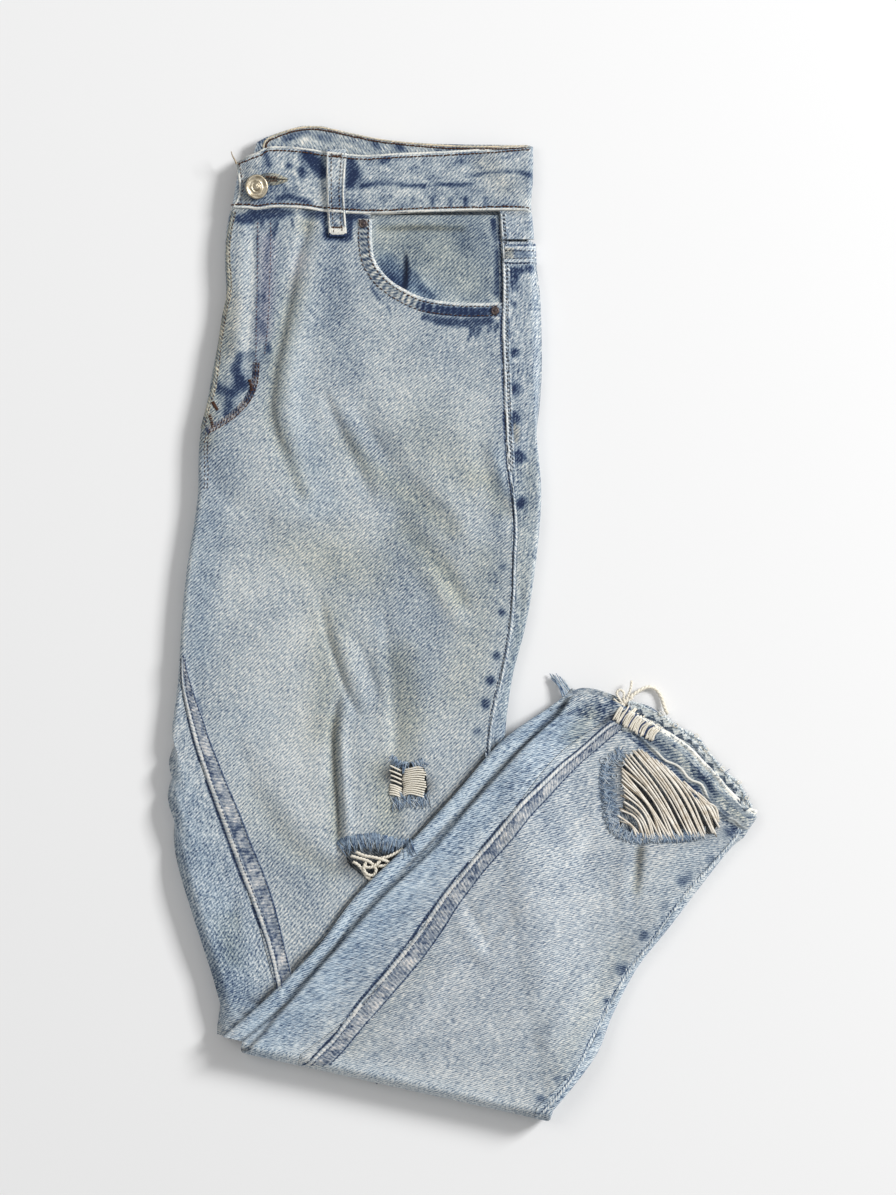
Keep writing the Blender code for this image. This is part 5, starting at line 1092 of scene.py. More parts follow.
def snapped(grid, keep, outlines):
    """Corners of kept faces that lie inside an opening move out to its outline."""
    rows, cols = grid.shape[:2]
    wanted = np.zeros((rows, cols), bool)
    for i, j in ((0, 0), (0, 1), (1, 0), (1, 1)):
        wanted[i:rows - 1 + i, j:cols - 1 + j] |= keep
    for outline in outlines:
        within = inside(outline, grid[..., 0], grid[..., 1]) & wanted
        ends = np.roll(outline, -1, axis=0)
        for i, j in zip(*np.nonzero(within)):
            spot = grid[i, j, :2]
            along = ends - outline
            share = ((spot - outline) * along).sum(-1) / np.maximum((along**2).sum(-1), 1e-9)
            near = outline + np.clip(share, 0.0, 1.0)[:, None] * along
            grid[i, j, :2] = near[np.argmin(np.hypot(*(near - spot).T))]
    return grid


def panel(name, leg, positions, start, end, shares, material, paint, openings=(), lay_on=True):
    """Sheet of cloth on a leg between two lengths of cloth, with openings left out."""
    grid, grain = leg_grid(leg, positions, start, end, shares)
    keep = np.ones((grid.shape[0] - 1, grid.shape[1] - 1), bool)
    middle = (grid[1:, 1:] + grid[:-1, :-1] + grid[1:, :-1] + grid[:-1, 1:]) / 4
    for outline in openings:
        keep &= ~inside(outline, middle[..., 0], middle[..., 1])
    grid = snapped(grid, keep, openings)
    faces = quads(*grid.shape[:2], keep=keep)
    piece = make_mesh(name, grid, faces, material, grain, paint(grid.reshape(-1, 3)), lay_on=lay_on)
    return piece, grid


def thigh_relief(x, y):
    return np.maximum(fold_height(THIGH_FOLDS, x, y), -DEEPEST_TROUGH)


def shin_relief(x, y):
    return np.maximum(fold_height(SHIN_FOLDS, x, y), -DEEPEST_TROUGH)


def roll_relief(x, y):
    return fold_height(ROLL_FOLDS, x, y)


def level(height):
    return lambda x, y: np.full_like(x, height)


left_thigh = Leg(THIGH_ROWS, level(LAYER_PITCH), thigh_relief, 1.0, free=uncovered, top_edge=waist_low_edge)
right_thigh = Leg(THIGH_ROWS, level(0.0), level(0.0), 1.0, out_left="tuck", out_right=-2.0)
left_shin = Leg(SHIN_ROWS, support, roll_relief, -1.0, out_left="roll", out_right=-3.0, seam=False)
right_shin = Leg(SHIN_ROWS, upper_support, shin_relief, -1.0, folded=True)

YOKE_END = 0.88
FINE = 1.7


def round_start(leg, positions):
    start = leg.side_seam(positions) + 0.3
    end = leg.all_round(positions) + leg.inseam_line(positions) - 0.3
    return start, end


def round_shares(leg, positions, start, end, side, under, inner):
    """Shares across a back panel with fine columns where it shows and coarse ones beneath."""
    quarter = leg.radius * math.pi / 2
    width = leg.width(positions)
    right = quarter + width - 2 * leg.radius
    turned = (right + 2 * quarter - start) / (end - start)
    back = (leg.all_round(positions) - 2 * quarter - start) / (end - start)
    a = float(turned.mean())
    b = float(back.mean())
    return columns([(a, side), (b, under), (1.0, inner)])


def back_panel(name, leg, positions, counts, material, paint):
    start, end = round_start(leg, positions)
    shares = round_shares(leg, positions, start, end, *counts)
    round_length = leg.all_round(positions)
    cloth = start[:, None] + (end - start)[:, None] * shares[None, :]
    wrapped = cloth - round_length[:, None]
    used = np.where(wrapped > -leg.radius * math.pi / 2, wrapped, cloth)
    grid = leg.cloth_point(positions[:, None], used)
    grain = np.stack([leg.sign * cloth, np.broadcast_to(-leg.along(positions)[:, None], cloth.shape)], -1)
    faces = quads(*grid.shape[:2])
    piece = make_mesh(name, grid, faces, material, grain, paint(grid.reshape(-1, 3)), lay_on=True, up=False)
    return piece, grid


def tube(name, leg, positions, count, material, paint, lay_on=True, turned_in=0.0):
    """Cloth all round a leg, its end turned in where asked."""
    shares = np.linspace(0.0, 1.0, count + 1)[:-1]
    round_length = leg.all_round(positions)
    cloth = -leg.radius * math.pi / 2 + round_length[:, None] * shares[None, :]
    grid = leg.cloth_point(positions[:, None], cloth)
    grain = np.stack([leg.sign * cloth, np.broadcast_to(-leg.along(positions)[:, None], cloth.shape)], -1)
    if turned_in:
        ends = [(grid[-1, :, :] + 0.0)]
        centre = grid[-1, :, 2].mean()
        mid = (grid[-1] + np.roll(grid[-1][::-1], 1, axis=0)) / 2
        direction = grid[-1] - grid[-2]
        direction /= np.linalg.norm(direction, axis=-1, keepdims=True)
        for inward, back in ((0.9, 0.2), (1.5, 1.6), (1.7, turned_in)):
            toward = mid - grid[-1]
            reach = np.linalg.norm(toward, axis=-1, keepdims=True)
            step = np.minimum(inward, reach * 0.45) * toward / np.maximum(reach, 0.1)
            ends.append(grid[-1] + step - direction * back)
        del centre
        grid = np.concatenate([grid] + [row[None] for row in ends[1:]])
        more = np.stack([grain[-1] + np.array([0.0, -1.5 * step]) for step in range(1, len(ends))])
        grain = np.concatenate([grain, more])
    faces = quads(*grid.shape[:2], ring=True)
    piece = make_mesh(name, grid, faces, material, grain, paint(grid.reshape(-1, 3)), lay_on=lay_on, up=False)
    return piece, grid


# The wearer's right leg beneath
hidden_positions = spaced(right_thigh, 0.0, right_thigh.last - 0.06, 6.0)
hidden_leg, hidden_grid = tube("right leg beneath", right_thigh, hidden_positions, 90, hidden_cloth, upper_paint)
cloth_sheet(area=area_of(hidden_leg), nodes=["right_leg_upper"])

# Thigh, top layer
thigh_positions = spaced(left_thigh, 0.0, left_thigh.last - 0.02, FINE)
yoke_rows = thigh_positions[thigh_positions <= YOKE_END]
back_rows = thigh_positions[thigh_positions > YOKE_END]
thigh_back, back_grid = back_panel("left back panel", left_thigh, back_rows, (18, 26, 34), back_cloth, upper_paint)
cloth_sheet(area=area_of(thigh_back), nodes=["left_back"])
yoke, yoke_grid = back_panel("left yoke cloth", left_thigh, yoke_rows, (18, 26, 8), back_cloth, upper_paint)
cloth_sheet(area=area_of(yoke), nodes=["left_yoke"])

facing_ys = np.arange(288.0, 211.0, -FINE)
facing_positions = np.interp(-facing_ys, [-row.left_y for row in THIGH_ROWS], np.arange(len(THIGH_ROWS)))


def facing_relief(x, y):
    return thigh_relief(x, y)


facing_leg = Leg(THIGH_ROWS, level(LAYER_PITCH - 1.7), facing_relief, 1.0, free=uncovered, seam=False)
facing_start = -73.0 - facing_leg.ends(facing_positions)[0][:, 0] - facing_leg.radius + left_thigh.radius * 1.5708
facing_end = facing_leg.side_seam(facing_positions) - 0.3
facing, facing_grid = panel("pocket facing", facing_leg, facing_positions, facing_start, facing_end,
                            np.linspace(0, 1, 60), facing_cloth, upper_paint)
cloth_sheet(area=area_of(facing), nodes=["left_pocket_facing"])

openings = [to_mm(POCKET_MOUTH), to_mm(SMALL_RIP), to_mm(LARGE_RIP)]
front_start = left_thigh.inseam_line(thigh_positions)
front_end = left_thigh.side_seam(thigh_positions)
thigh_front, front_grid = panel("left front panel", left_thigh, thigh_positions, front_start, front_end,
                                np.linspace(0.0, 1.0, 132), front_cloth, upper_paint, openings)
cloth_sheet(area=area_of(thigh_front),
            nodes=["left_front"])

# Lower legs, folded up over the thigh
roll_positions = spaced(left_shin, 0.0, left_shin.last - 0.04, 2.2)
roll, roll_grid = tube("left lower leg", left_shin, roll_positions, 150, lower_back_cloth, lower_paint)
cloth_sheet(area=area_of(roll), nodes=["left_leg_lower"])
hem_positions = np.linspace(left_shin.last - 0.04, left_shin.last + HEM_WIDTH + LEFT_HEM_BEYOND, 18)
left_hem, left_hem_grid = tube("left hem cloth", left_shin, hem_positions, 210, hem_cloth, lower_paint, turned_in=9.0)
cloth_sheet(area=area_of(left_hem), nodes=["left_hem"])

fold_rows = np.linspace(-1.0, 0.0, 24)[:-1]
shin_positions = np.concatenate([fold_rows, spaced(right_shin, 0.0, right_shin.last - 0.03, FINE)])
shin_back, shin_back_grid = back_panel("right back panel", right_shin, shin_positions, (16, 36, 40), lower_back_cloth,
                                       lower_paint)
cloth_sheet(area=area_of(shin_back), nodes=["right_back"])
shin_front, shin_front_grid = panel("right front panel", right_shin, shin_positions,
                                    right_shin.inseam_line(shin_positions), right_shin.side_seam(shin_positions),
                                    np.linspace(0.0, 1.0, 100), lower_cloth, lower_paint, [to_mm(SHIN_RIP)])
cloth_sheet(area=area_of(shin_front),
            nodes=["right_front"])
cuff_positions = np.linspace(right_shin.last - 0.03, right_shin.last + HEM_WIDTH, 22)
right_hem, right_hem_grid = tube("right hem cloth", right_shin, cuff_positions, 280, hem_cloth, lower_paint, turned_in=9.0)
cloth_sheet(area=area_of(right_hem), nodes=["right_hem"])

# Waistband: front stretch on top, round the side, back stretch beneath, its inner face in sight
WAIST_PARTS = np.linspace(0.0, 1.0, 25)
WAIST_THICK = 2.3


def waist_line():
    """Plan and height of the waistband's outer face at its lower and its upper edge."""
    rows = {key: np.array([getattr(row, key) for row in WAIST_ROWS]) for key in WaistRow._fields}
    fine = np.linspace(0.0, len(WAIST_ROWS) - 1.0, 110)
    index = np.arange(len(WAIST_ROWS))
    smooth = {key: np.interp(fine, index, value) for key, value in rows.items()}
    low = [(x, y, LAYER_PITCH + WAIST_HEIGHT) for x, y in zip(smooth["low_x"], smooth["low_y"])]
    high = [(x, y, LAYER_PITCH + WAIST_HEIGHT) for x, y in zip(smooth["top_x"], smooth["top_y"])]
    radius = WAIST_HEIGHT / 2
    last = WAIST_ROWS[-1]
    for angle in np.linspace(75.0, -75.0, 9):
        turn = math.radians(angle)
        share = (90.0 - angle) / 180.0
        rise = LAYER_PITCH + radius + radius * math.sin(turn)
        inward = radius * (1.0 - math.cos(turn))
        low.append((WAIST_RIGHT[0] - inward, last.low_y, rise))
        high.append((WAIST_RIGHT[1] - inward, last.top_y + (last.back_y - last.top_y) * share, rise))
    front = len(fine)
    for x, y in zip(smooth["low_x"][::-1], smooth["low_y"][::-1]):
        low.append((x + 3.0, y, LAYER_PITCH))
    for x, y in zip(smooth["back_x"][::-1], smooth["back_y"][::-1]):
        high.append((x, y, LAYER_PITCH))
    return np.array(low), np.array(high), front


def grid_normals(grid):
    across = np.gradient(grid, axis=1)
    along = np.gradient(grid, axis=0)
    normal = np.cross(across, along)
    return normal / np.maximum(np.linalg.norm(normal, axis=-1, keepdims=True), 1e-9)


low_line, high_line, waist_front_count = waist_line()
waist_grid = low_line[None] + (high_line - low_line)[None] * WAIST_PARTS[:, None, None]
waist_out = grid_normals(waist_grid)
if waist_out[12, 40, 2] < 0:
    waist_out = -waist_out
waist_x = waist_grid[..., 0]
waist_y = waist_grid[..., 1]
bulge = 0.5 * np.sin(math.pi * WAIST_PARTS)[:, None] - 0.25
pucker = 0.5 * (soft_noise(waist_x, waist_y, 7.0, 21) - 0.5) + 0.5 * (soft_noise(waist_x, waist_y, 17.0, 22) - 0.5)
edges = np.minimum(1.0, np.sin(math.pi * np.clip(WAIST_PARTS, 0.02, 0.98)) * 2.2)[:, None]
waist_grid = waist_grid + waist_out * ((bulge + pucker) * edges)[..., None]
inner_grid = waist_grid - waist_out * WAIST_THICK
waist_length = np.concatenate([[0.0], np.cumsum(np.linalg.norm(np.diff(waist_grid[12], axis=0), axis=-1))])
waist_grain = np.stack(np.broadcast_arrays(waist_length[None, :], WAIST_PARTS[:, None] * 41.0), -1)
rows, cols = waist_grid.shape[:2]
band_points = np.concatenate([waist_grid.reshape(-1, 3), inner_grid[[0, -1]].reshape(-1, 3)])
band_grain = np.concatenate([waist_grain.reshape(-1, 2), waist_grain[[0, -1]].reshape(-1, 2)])
band_faces = quads(rows, cols)
first = rows * cols
for j in range(cols - 1):
    band_faces.append((j, first + j, first + j + 1, j + 1))
    a = (rows - 1) * cols + j
    b = first + cols + j
    band_faces.append((a, a + 1, b + 1, b))
waist = make_mesh("waistband", band_points, band_faces, band_cloth, band_grain, upper_paint(band_points),
                  lay_on=True, up=False)
cloth_sheet(nodes=["waistband_left"])
inner_faces = quads(rows, cols)
lining = make_mesh("waistband inner face", inner_grid, inner_faces, lining_cloth, waist_grain,
                   upper_paint(inner_grid.reshape(-1, 3)), lay_on=True, up=False)
cloth_sheet()

# Belt loop
LOOP_PROFILE = [(269.5, 0.0), (274.0, 0.1), (281.0, 0.8), (288.0, 1.6), (300.0, 2.6), (314.0, 2.7), (325.0, 2.1),
                (329.0, 1.3), (330.6, 0.0), (331.0, -2.0), (330.9, -4.0)]


def belt_loop():
    ys = np.concatenate([np.linspace(269.5, 330.0, 50), np.linspace(330.3, 330.9, 4)])
    table = np.array(LOOP_PROFILE)
    drop_y = [269.5, 274.0, 281.0, 288.0, 300.0, 314.0, 325.0, 329.0, 330.4, 330.95]
    drop_z = [14.0, 14.1, 14.6, 15.1, 15.7, 15.7, 15.2, 14.6, 13.4, 11.4]
    z = np.interp(ys, drop_y, drop_z)
    del table
    centre = -87.0 - 1.5 * (ys - 269.5) / 60.0
    half = np.interp(ys, [269.5, 290.0, 310.0, 331.0], [6.3, 6.0, 6.3, 7.2])
    parts = np.linspace(-1.0, 1.0, 13)
    x = centre[:, None] + half[:, None] * parts[None, :]
    y = np.broadcast_to(ys[:, None], x.shape)
    edge = 0.9 * np.exp(-((np.abs(parts) - 0.93) / 0.1) ** 2) - 1.0 * np.clip((np.abs(parts) - 0.9) / 0.1, 0, 1)
    zz = z[:, None] + edge[None, :] * 0.6 + 0.25 * (soft_noise(x, y, 4.0, 31) - 0.5)
    grid = np.stack([x, y, zz], -1)
    under = grid - np.array([0.0, 0.0, 1.4])
    both = np.concatenate([grid, under[:, ::-1]], axis=1)
    grain = np.stack([both[..., 0], both[..., 1]], -1)
    faces = quads(*both.shape[:2], ring=True)
    return make_mesh("belt loop", both, faces, band_cloth, grain, upper_paint(both.reshape(-1, 3)), lay_on=True,
                     up=False), both


loop, loop_grid = belt_loop()
cloth_sheet(nodes=["belt_loop_front"])


# Lines of the seams and edges, in view units, from their upper or left end
WAIST_TOP_LINE = [
    (235.6, 161), (240, 158.6), (249, 155), (258, 151.8), (264, 147.5), (268.4, 146.2), (275.6, 145.9), (293, 146.6),
    (311, 148.6), (326, 151.6), (347, 153.8), (365, 155.1), (380, 154.2), (400, 152.7), (430, 151.6), (460, 150.1),
    (490, 148.1), (510, 146.6), (530, 145.1)]
WAIST_LOW_LINE = [
    (231, 208), (240, 206.8), (249, 207.3), (256, 208.6), (264, 207.7), (272, 206.2), (284, 206.4), (302, 207),
    (311, 208.2), (320, 210), (347, 212.2), (356, 212.4), (370, 213.2), (390, 212.8), (410, 211.6), (430, 210.6),
    (460, 210), (490, 209.5), (505, 209.2), (525, 209.5), (531, 211.5)]
WAIST_END_LINE = [
    (235.4, 161), (236.8, 172), (238.6, 180), (239.4, 189), (238.4, 195), (236.3, 200), (233.6, 205), (231.6, 208)]
BACK_TOP_LINE = [
    (262, 147), (263, 141.5), (266.6, 137.4), (275.6, 133), (284.5, 129.9), (293.4, 127.2), (302.4, 125.7),
    (311.3, 125.1), (320, 125.4), (329, 127.1), (338, 128.9), (347, 131.1), (362, 134.4), (380, 138), (400, 140.4),
    (430, 143.2), (460, 144.8), (495, 145.2), (528, 144)]
SIDE_SEAM_LINE = [
    (499.5, 214), (502, 250), (503.3, 290), (502.6, 330), (503.2, 352), (505, 400), (506.5, 440), (508, 470),
    (512.5, 500), (515, 530), (512.8, 560), (512.5, 590), (511, 612), (508, 640), (502, 670), (494.5, 700),
    (490, 720), (488, 742), (487.5, 757)]
UPPER_INSEAM_LEFT = [
    (181.6, 658), (181.5, 680), (184.5, 700), (190.5, 725), (197.5, 750), (207.5, 780), (218.5, 810), (229.5, 840),
    (240.5, 870), (252.5, 900), (263.5, 930), (271.5, 955), (279, 990)]
UPPER_INSEAM_RIGHT = [
    (183.5, 655), (188, 675), (194, 695), (201, 715), (209, 740), (219, 765), (229, 790), (240, 815), (251, 845),
    (262, 870), (271, 895), (279, 925), (285, 950), (291, 976)]
LOWER_INSEAM_LEFT = [
    (617, 721.8), (612, 722.6), (604.5, 728), (595.7, 736), (585.5, 745), (575, 754), (562, 764), (551, 774.4),
    (540, 784.7), (520, 803), (505, 822), (490, 840), (475, 857), (460, 875), (445, 893), (430, 915), (415, 937),
    (400, 955), (390, 968), (375, 985), (360, 1003), (345, 1022), (338.5, 1031), (331, 1040.4), (324, 1047),
    (317, 1053.7), (311, 1060.4), (306, 1064.5)]
LOWER_INSEAM_RIGHT = [
    (621, 729), (610, 737.7), (601.6, 745), (591, 754), (582.5, 761), (569, 774), (557.6, 786), (549, 796),
    (540, 805), (530, 815), (515, 835), (500, 852), (485, 868), (470, 888), (455, 908), (447, 922), (435, 940),
    (420, 960), (405, 978), (390, 995), (380, 1007), (365, 1023), (345, 1048), (335.6, 1057.6), (329, 1064)]
LOWER_SIDE_SEAM = [
    (741, 829), (733, 840), (727, 847), (718, 858), (708, 869), (697, 880), (685, 895), (675, 908), (665, 922),
    (655, 937), (645, 950), (632, 965), (622, 982), (613, 997), (605, 1012), (598, 1027), (590, 1040), (583, 1057),
    (577, 1067), (570, 1080), (560, 1091), (550, 1103), (538, 1115)]
POCKET_EDGE = [
    (371.5, 219), (371, 232), (371.4, 243), (372, 252), (375, 262), (380, 270), (387, 278), (396, 285), (405, 290),
    (417, 296), (430, 300), (445, 302), (465, 303.5), (485, 303.5), (499, 302.6)]
FLY_EDGE = [
    (232, 211), (227.5, 232), (225.5, 250), (227, 270), (228.4, 290), (223.2, 310), (220, 330), (217.2, 350),
    (215, 372), (211, 392), (205.4, 410), (200.5, 428)]
FLY_CURVE = [
    (257.7, 222), (257.9, 250), (257.0, 290), (256.3, 330), (256, 362), (255, 380), (251.5, 392), (245, 403),
    (234, 414), (221, 423), (206, 431)]
FLY_CURVE_OUTER = [
    (270.5, 222), (271, 250), (269.6, 290), (267.6, 330), (264.5, 355)]
CROTCH_LINE = [(203.4, 432), (202, 450), (203, 470), (202, 490)]
YOKE_LINE = [(504.5, 253.5), (514, 253.8), (524, 253.8), (536.5, 253.2)]
ROLL_EDGE = [
    (232.4, 1036), (238, 1031), (245, 1024), (252.5, 1015.5), (264, 999), (279, 984), (300, 962), (327, 940),
    (347, 910), (366, 888), (383, 868.6), (404.7, 851), (417, 837), (434, 815.5), (452, 798), (482, 762), (512, 733),
    (542, 713), (567, 700)]


def track(line, step=1.0):
    """Places a step apart along a line, their distance along it, and the way to its left."""
    spots = to_mm(line)
    for _ in range(2):
        early = spots[:-1] * 0.75 + spots[1:] * 0.25
        late = spots[:-1] * 0.25 + spots[1:] * 0.75
        spots = np.concatenate([spots[:1], np.stack([early, late], 1).reshape(-1, 2), spots[-1:]])
    length = np.concatenate([[0.0], np.cumsum(np.hypot(*np.diff(spots, axis=0).T))])
    at = np.linspace(0.0, length[-1], max(int(length[-1] / step), 2) + 1)
    xy = np.stack([np.interp(at, length, spots[:, 0]), np.interp(at, length, spots[:, 1])], -1)
    way = np.gradient(xy, axis=0)
    way /= np.maximum(np.linalg.norm(way, axis=1, keepdims=True), 1e-9)
    return at, xy, np.stack([-way[:, 1], way[:, 0]], -1)


def eased(values, times=2):
    for _ in range(times):
        middle = (values[:-2] + 2 * values[1:-1] + values[2:]) / 4
        values = np.concatenate([values[:1], middle, values[-1:]])
    return values


def bars(at, size, seed, sharp=3.0):
    """Uneven light and dark bars along a line, 0 to 1."""
    at = np.asarray(at, float)
    return smoothstep((soft_noise(at, 0.0 * at, size, seed) - 0.5) * sharp + 0.5)


def ribbon(name, line, offsets, heights, material, step=1.0, wave=None, paint=None):
    """Strip of cloth laid along a line, with its section given as offsets and heights."""
    at, xy, aside = track(line, step)
    offsets = np.asarray(offsets, float)
    plan = xy[:, None] + aside[:, None] * offsets[None, :, None]
    base = top.heights(plan.reshape(-1, 2)).reshape(plan.shape[:2])
    base = np.maximum(base, base.max(axis=1, keepdims=True) - 3.0)
    base = eased(base)
    distance = np.broadcast_to(at[:, None], base.shape)
    across = np.broadcast_to(offsets[None, :], base.shape)
    rise = np.broadcast_to(np.asarray(heights, float)[None, :], base.shape)
    if wave is not None:
        rise = rise + wave(distance, across)
    grid = np.concatenate([plan, (base + rise)[..., None]], -1)
    values = {"navy": 0.0, "pale": 0.0, "olive": 0.0, "blue": 0.0, "brown": 0.0}
    values.update(paint(distance, across) if paint else {})
    values = {key: np.broadcast_to(value, base.shape) for key, value in values.items()}
    grain = np.stack([across, distance], -1)
    piece = make_mesh(name, grid, quads(*base.shape), material, grain, values, lay_on=True)
    width = float(np.linalg.norm(np.diff(grid, axis=1), axis=-1).sum(1).max())
    if width > 10.0:
        cloth_sheet()
    return piece


def tubes(name, paths, radii, material, sides=5, lay_on=False):
    """Round strands along paths of points, closed at their ends."""
    points = []
    faces = []
    for path, radius in zip(paths, radii):
        path = np.asarray(path, float)
        way = np.gradient(path, axis=0)
        way /= np.maximum(np.linalg.norm(way, axis=1, keepdims=True), 1e-9)
        aside = np.cross(way, np.array([0.0, 0.0, 1.0]) + 1e-4)
        aside /= np.maximum(np.linalg.norm(aside, axis=1, keepdims=True), 1e-9)
        over = np.cross(aside, way)
        angles = np.arange(sides) * 2 * math.pi / sides
        ring = aside[:, None] * np.cos(angles)[None, :, None] + over[:, None] * np.sin(angles)[None, :, None]
        radius = np.broadcast_to(radius, len(path))
        first = len(points)
        points.extend((path[:, None] + ring * radius[:, None, None]).reshape(-1, 3))
        for i in range(len(path) - 1):
            for j in range(sides):
                k = (j + 1) % sides
                faces.append((first + i * sides + j, first + (i + 1) * sides + j, first + (i + 1) * sides + k,
                              first + i * sides + k))
        faces.append(tuple(first + j for j in range(sides)))
        end = first + (len(path) - 1) * sides
        faces.append(tuple(end + j for j in reversed(range(sides))))
    piece = make_mesh(name, points, faces, material, lay_on=lay_on, up=False)
    return piece


def stitches(name, rows, material, length=2.5, gap=0.8, radius=0.33, lift=0.12, jitter=0.12, seed=1):
    """Rows of stitches, each row a line and its offset to the line's left."""
    rng = np.random.default_rng(seed)
    paths = []
    radii = []
    for line, offset in rows:
        at, xy, aside = track(line, 0.5)
        start = 0.2
        while start + length < at[-1]:
            this = length * rng.uniform(0.8, 1.1)
            marks = start + this * np.array([0.0, 0.25, 0.75, 1.0])
            spots = np.stack([np.interp(marks, at, xy[:, k] + aside[:, k] * offset) for k in (0, 1)], -1)
            spots = spots + rng.normal(0.0, jitter, 2)
            z = top.heights(spots)
            z = np.maximum(z, z.max() - 0.8) + lift + radius * np.array([-0.9, 0.3, 0.3, -0.9])
            paths.append(np.concatenate([spots, z[:, None]], -1))
            radii.append(radius * np.array([0.55, 1.0, 1.0, 0.55]) * rng.uniform(0.85, 1.15))
            start += this + gap * rng.uniform(0.7, 1.4)
    return tubes(name, paths, radii, material)


def bar_tack(spot, size, angle, count):
    """Close zigzag of stitches, as lines for a row each."""
    turn = math.radians(angle)
    way = np.array([math.cos(turn), math.sin(turn)])
    aside = np.array([-way[1], way[0]])
    lines = []
    for step in range(count):
        centre = np.array(spot) + way * (step / (count - 1) - 0.5) * size[0]
        lines.append([tuple(centre - aside * size[1] / 2), tuple(centre + aside * size[1] / 2)])
    return lines


brown_yarn = yarn("brown yarn", (0.11, 0.050, 0.030), (0.032, 0.016, 0.012))
dark_yarn = yarn("dark yarn", (0.045, 0.045, 0.065), (0.014, 0.016, 0.028))
navy_yarn = yarn("navy yarn", (0.070, 0.100, 0.190), (0.020, 0.032, 0.080))
rose_yarn = yarn("rose yarn", (0.24, 0.15, 0.17), (0.09, 0.055, 0.075))
edge_cloth = denim("worn edge", wash=0.92, twill=0.15, fleck=0.35, mottle=0.30, tint=(1.0, 0.985, 0.955, 1))
seam_cloth = denim("seam band", wash=0.64, twill=0.15, fleck=0.55, mottle=0.30, tint=(1.0, 0.98, 0.98, 1))

PIPE = [-0.95, -0.7, -0.3, 0.3, 0.7, 0.95]
PIPE_HEIGHTS = [-0.15, 0.28, 0.52, 0.52, 0.28, -0.15]


def twist(at, across):
    return 0.10 * np.sin(at * 2.6 + across * 1.2) + 0.10 * (soft_noise(at, across, 2.2, 41) - 0.5)


def worn_edge(at, across):
    spots = bars(at, 3.4, 42, 4.0)
    return {"navy": 0.22 * spots * smoothstep((np.abs(across) - 0.2) / 0.5), "pale": 0.4 * (1 - spots)}


def piping(name, line, offset=0.0, wide=1.0, high=1.0, paint=worn_edge):
    return ribbon(name, line, [offset + wide * value for value in PIPE], [high * value for value in PIPE_HEIGHTS],
                  edge_cloth, step=0.8, wave=twist, paint=paint)


def brown_edge(at, across):
    return {"brown": 0.8, "pale": 0.1, "navy": 0.25 * bars(at, 5.0, 44)}


# Waistband edges and their stitches
piping("waist top edge", WAIST_TOP_LINE, -0.7, 0.95)
piping("waist lower edge", WAIST_LOW_LINE, 0.0, 1.1, 1.1)
piping("waist end edge", WAIST_END_LINE, 0.8, 0.8)
piping("waist back edge", BACK_TOP_LINE, -0.8, 0.8, paint=brown_edge)
stitches("waist stitches", [(WAIST_TOP_LINE, -3.0), (WAIST_LOW_LINE, 2.0)], brown_yarn, 2.3, 0.5, 0.56)
stitches("waist end stitches", [(WAIST_END_LINE[:-1], 2.6)], brown_yarn, 1.8, 1.0, 0.26)
stitches("waist back stitches", [(BACK_TOP_LINE, -2.4)], brown_yarn, 1.9, 0.2, 0.62)


# Side seam of the thigh
def side_seam_paint(at, across):
    # Navy left of the piping is painted shadow beside the raised seam; the navy spots right of it are dye blotches, and
    # pale is the worn piping
    dark = smoothstep((-across - 0.1) / 0.5) * smoothstep((across + 2.6) / 0.8)
    spots = bars(at, 7.0, 51)
    return {"navy": np.clip(dark * (0.55 + 0.4 * spots), 0, 1) + 0.35 * spots * smoothstep((across - 1.9) / 0.5),
            "pale": 1.9 * (np.abs(across - 0.9) < 0.75) * (0.7 + 0.3 * spots)}


seam_upper = [spot for spot in SIDE_SEAM_LINE if spot[1] <= 470]
seam_lower = [spot for spot in SIDE_SEAM_LINE if spot[1] >= 470]
ribbon("side seam", seam_upper, [-2.4, -1.4, -0.7, -0.2, 0.3, 0.9, 1.5, 2.0, 3.0, 4.4, 5.2],
       [0.05, 0.08, 0.02, 0.12, 0.50, 0.62, 0.50, 0.22, 0.25, 0.22, 0.02], back_cloth, 0.9, twist, side_seam_paint)


def groove_paint(at, across):
    # Painted shadow in the seam's groove, pale on the ridge to its right
    return {"navy": 0.9 * np.exp(-((across + 0.1) / 0.55) ** 2), "pale": 0.7 * smoothstep((across - 0.8) / 0.5)}


ribbon("side seam below", seam_lower, [-1.6, -0.9, -0.45, 0.0, 0.45, 0.9, 1.5, 2.2],
       [0.02, 0.10, 0.02, -0.05, 0.25, 0.45, 0.36, 0.03], back_cloth, 0.9, twist, groove_paint)
stitches("side seam stitches", [(seam_upper, 2.4), (seam_upper, 3.6)], dark_yarn, 2.0, 0.8, 0.27)
stitches("side seam line", [(SIDE_SEAM_LINE, -0.5)], dark_yarn, 2.6, 0.35, 0.26, lift=0.05)


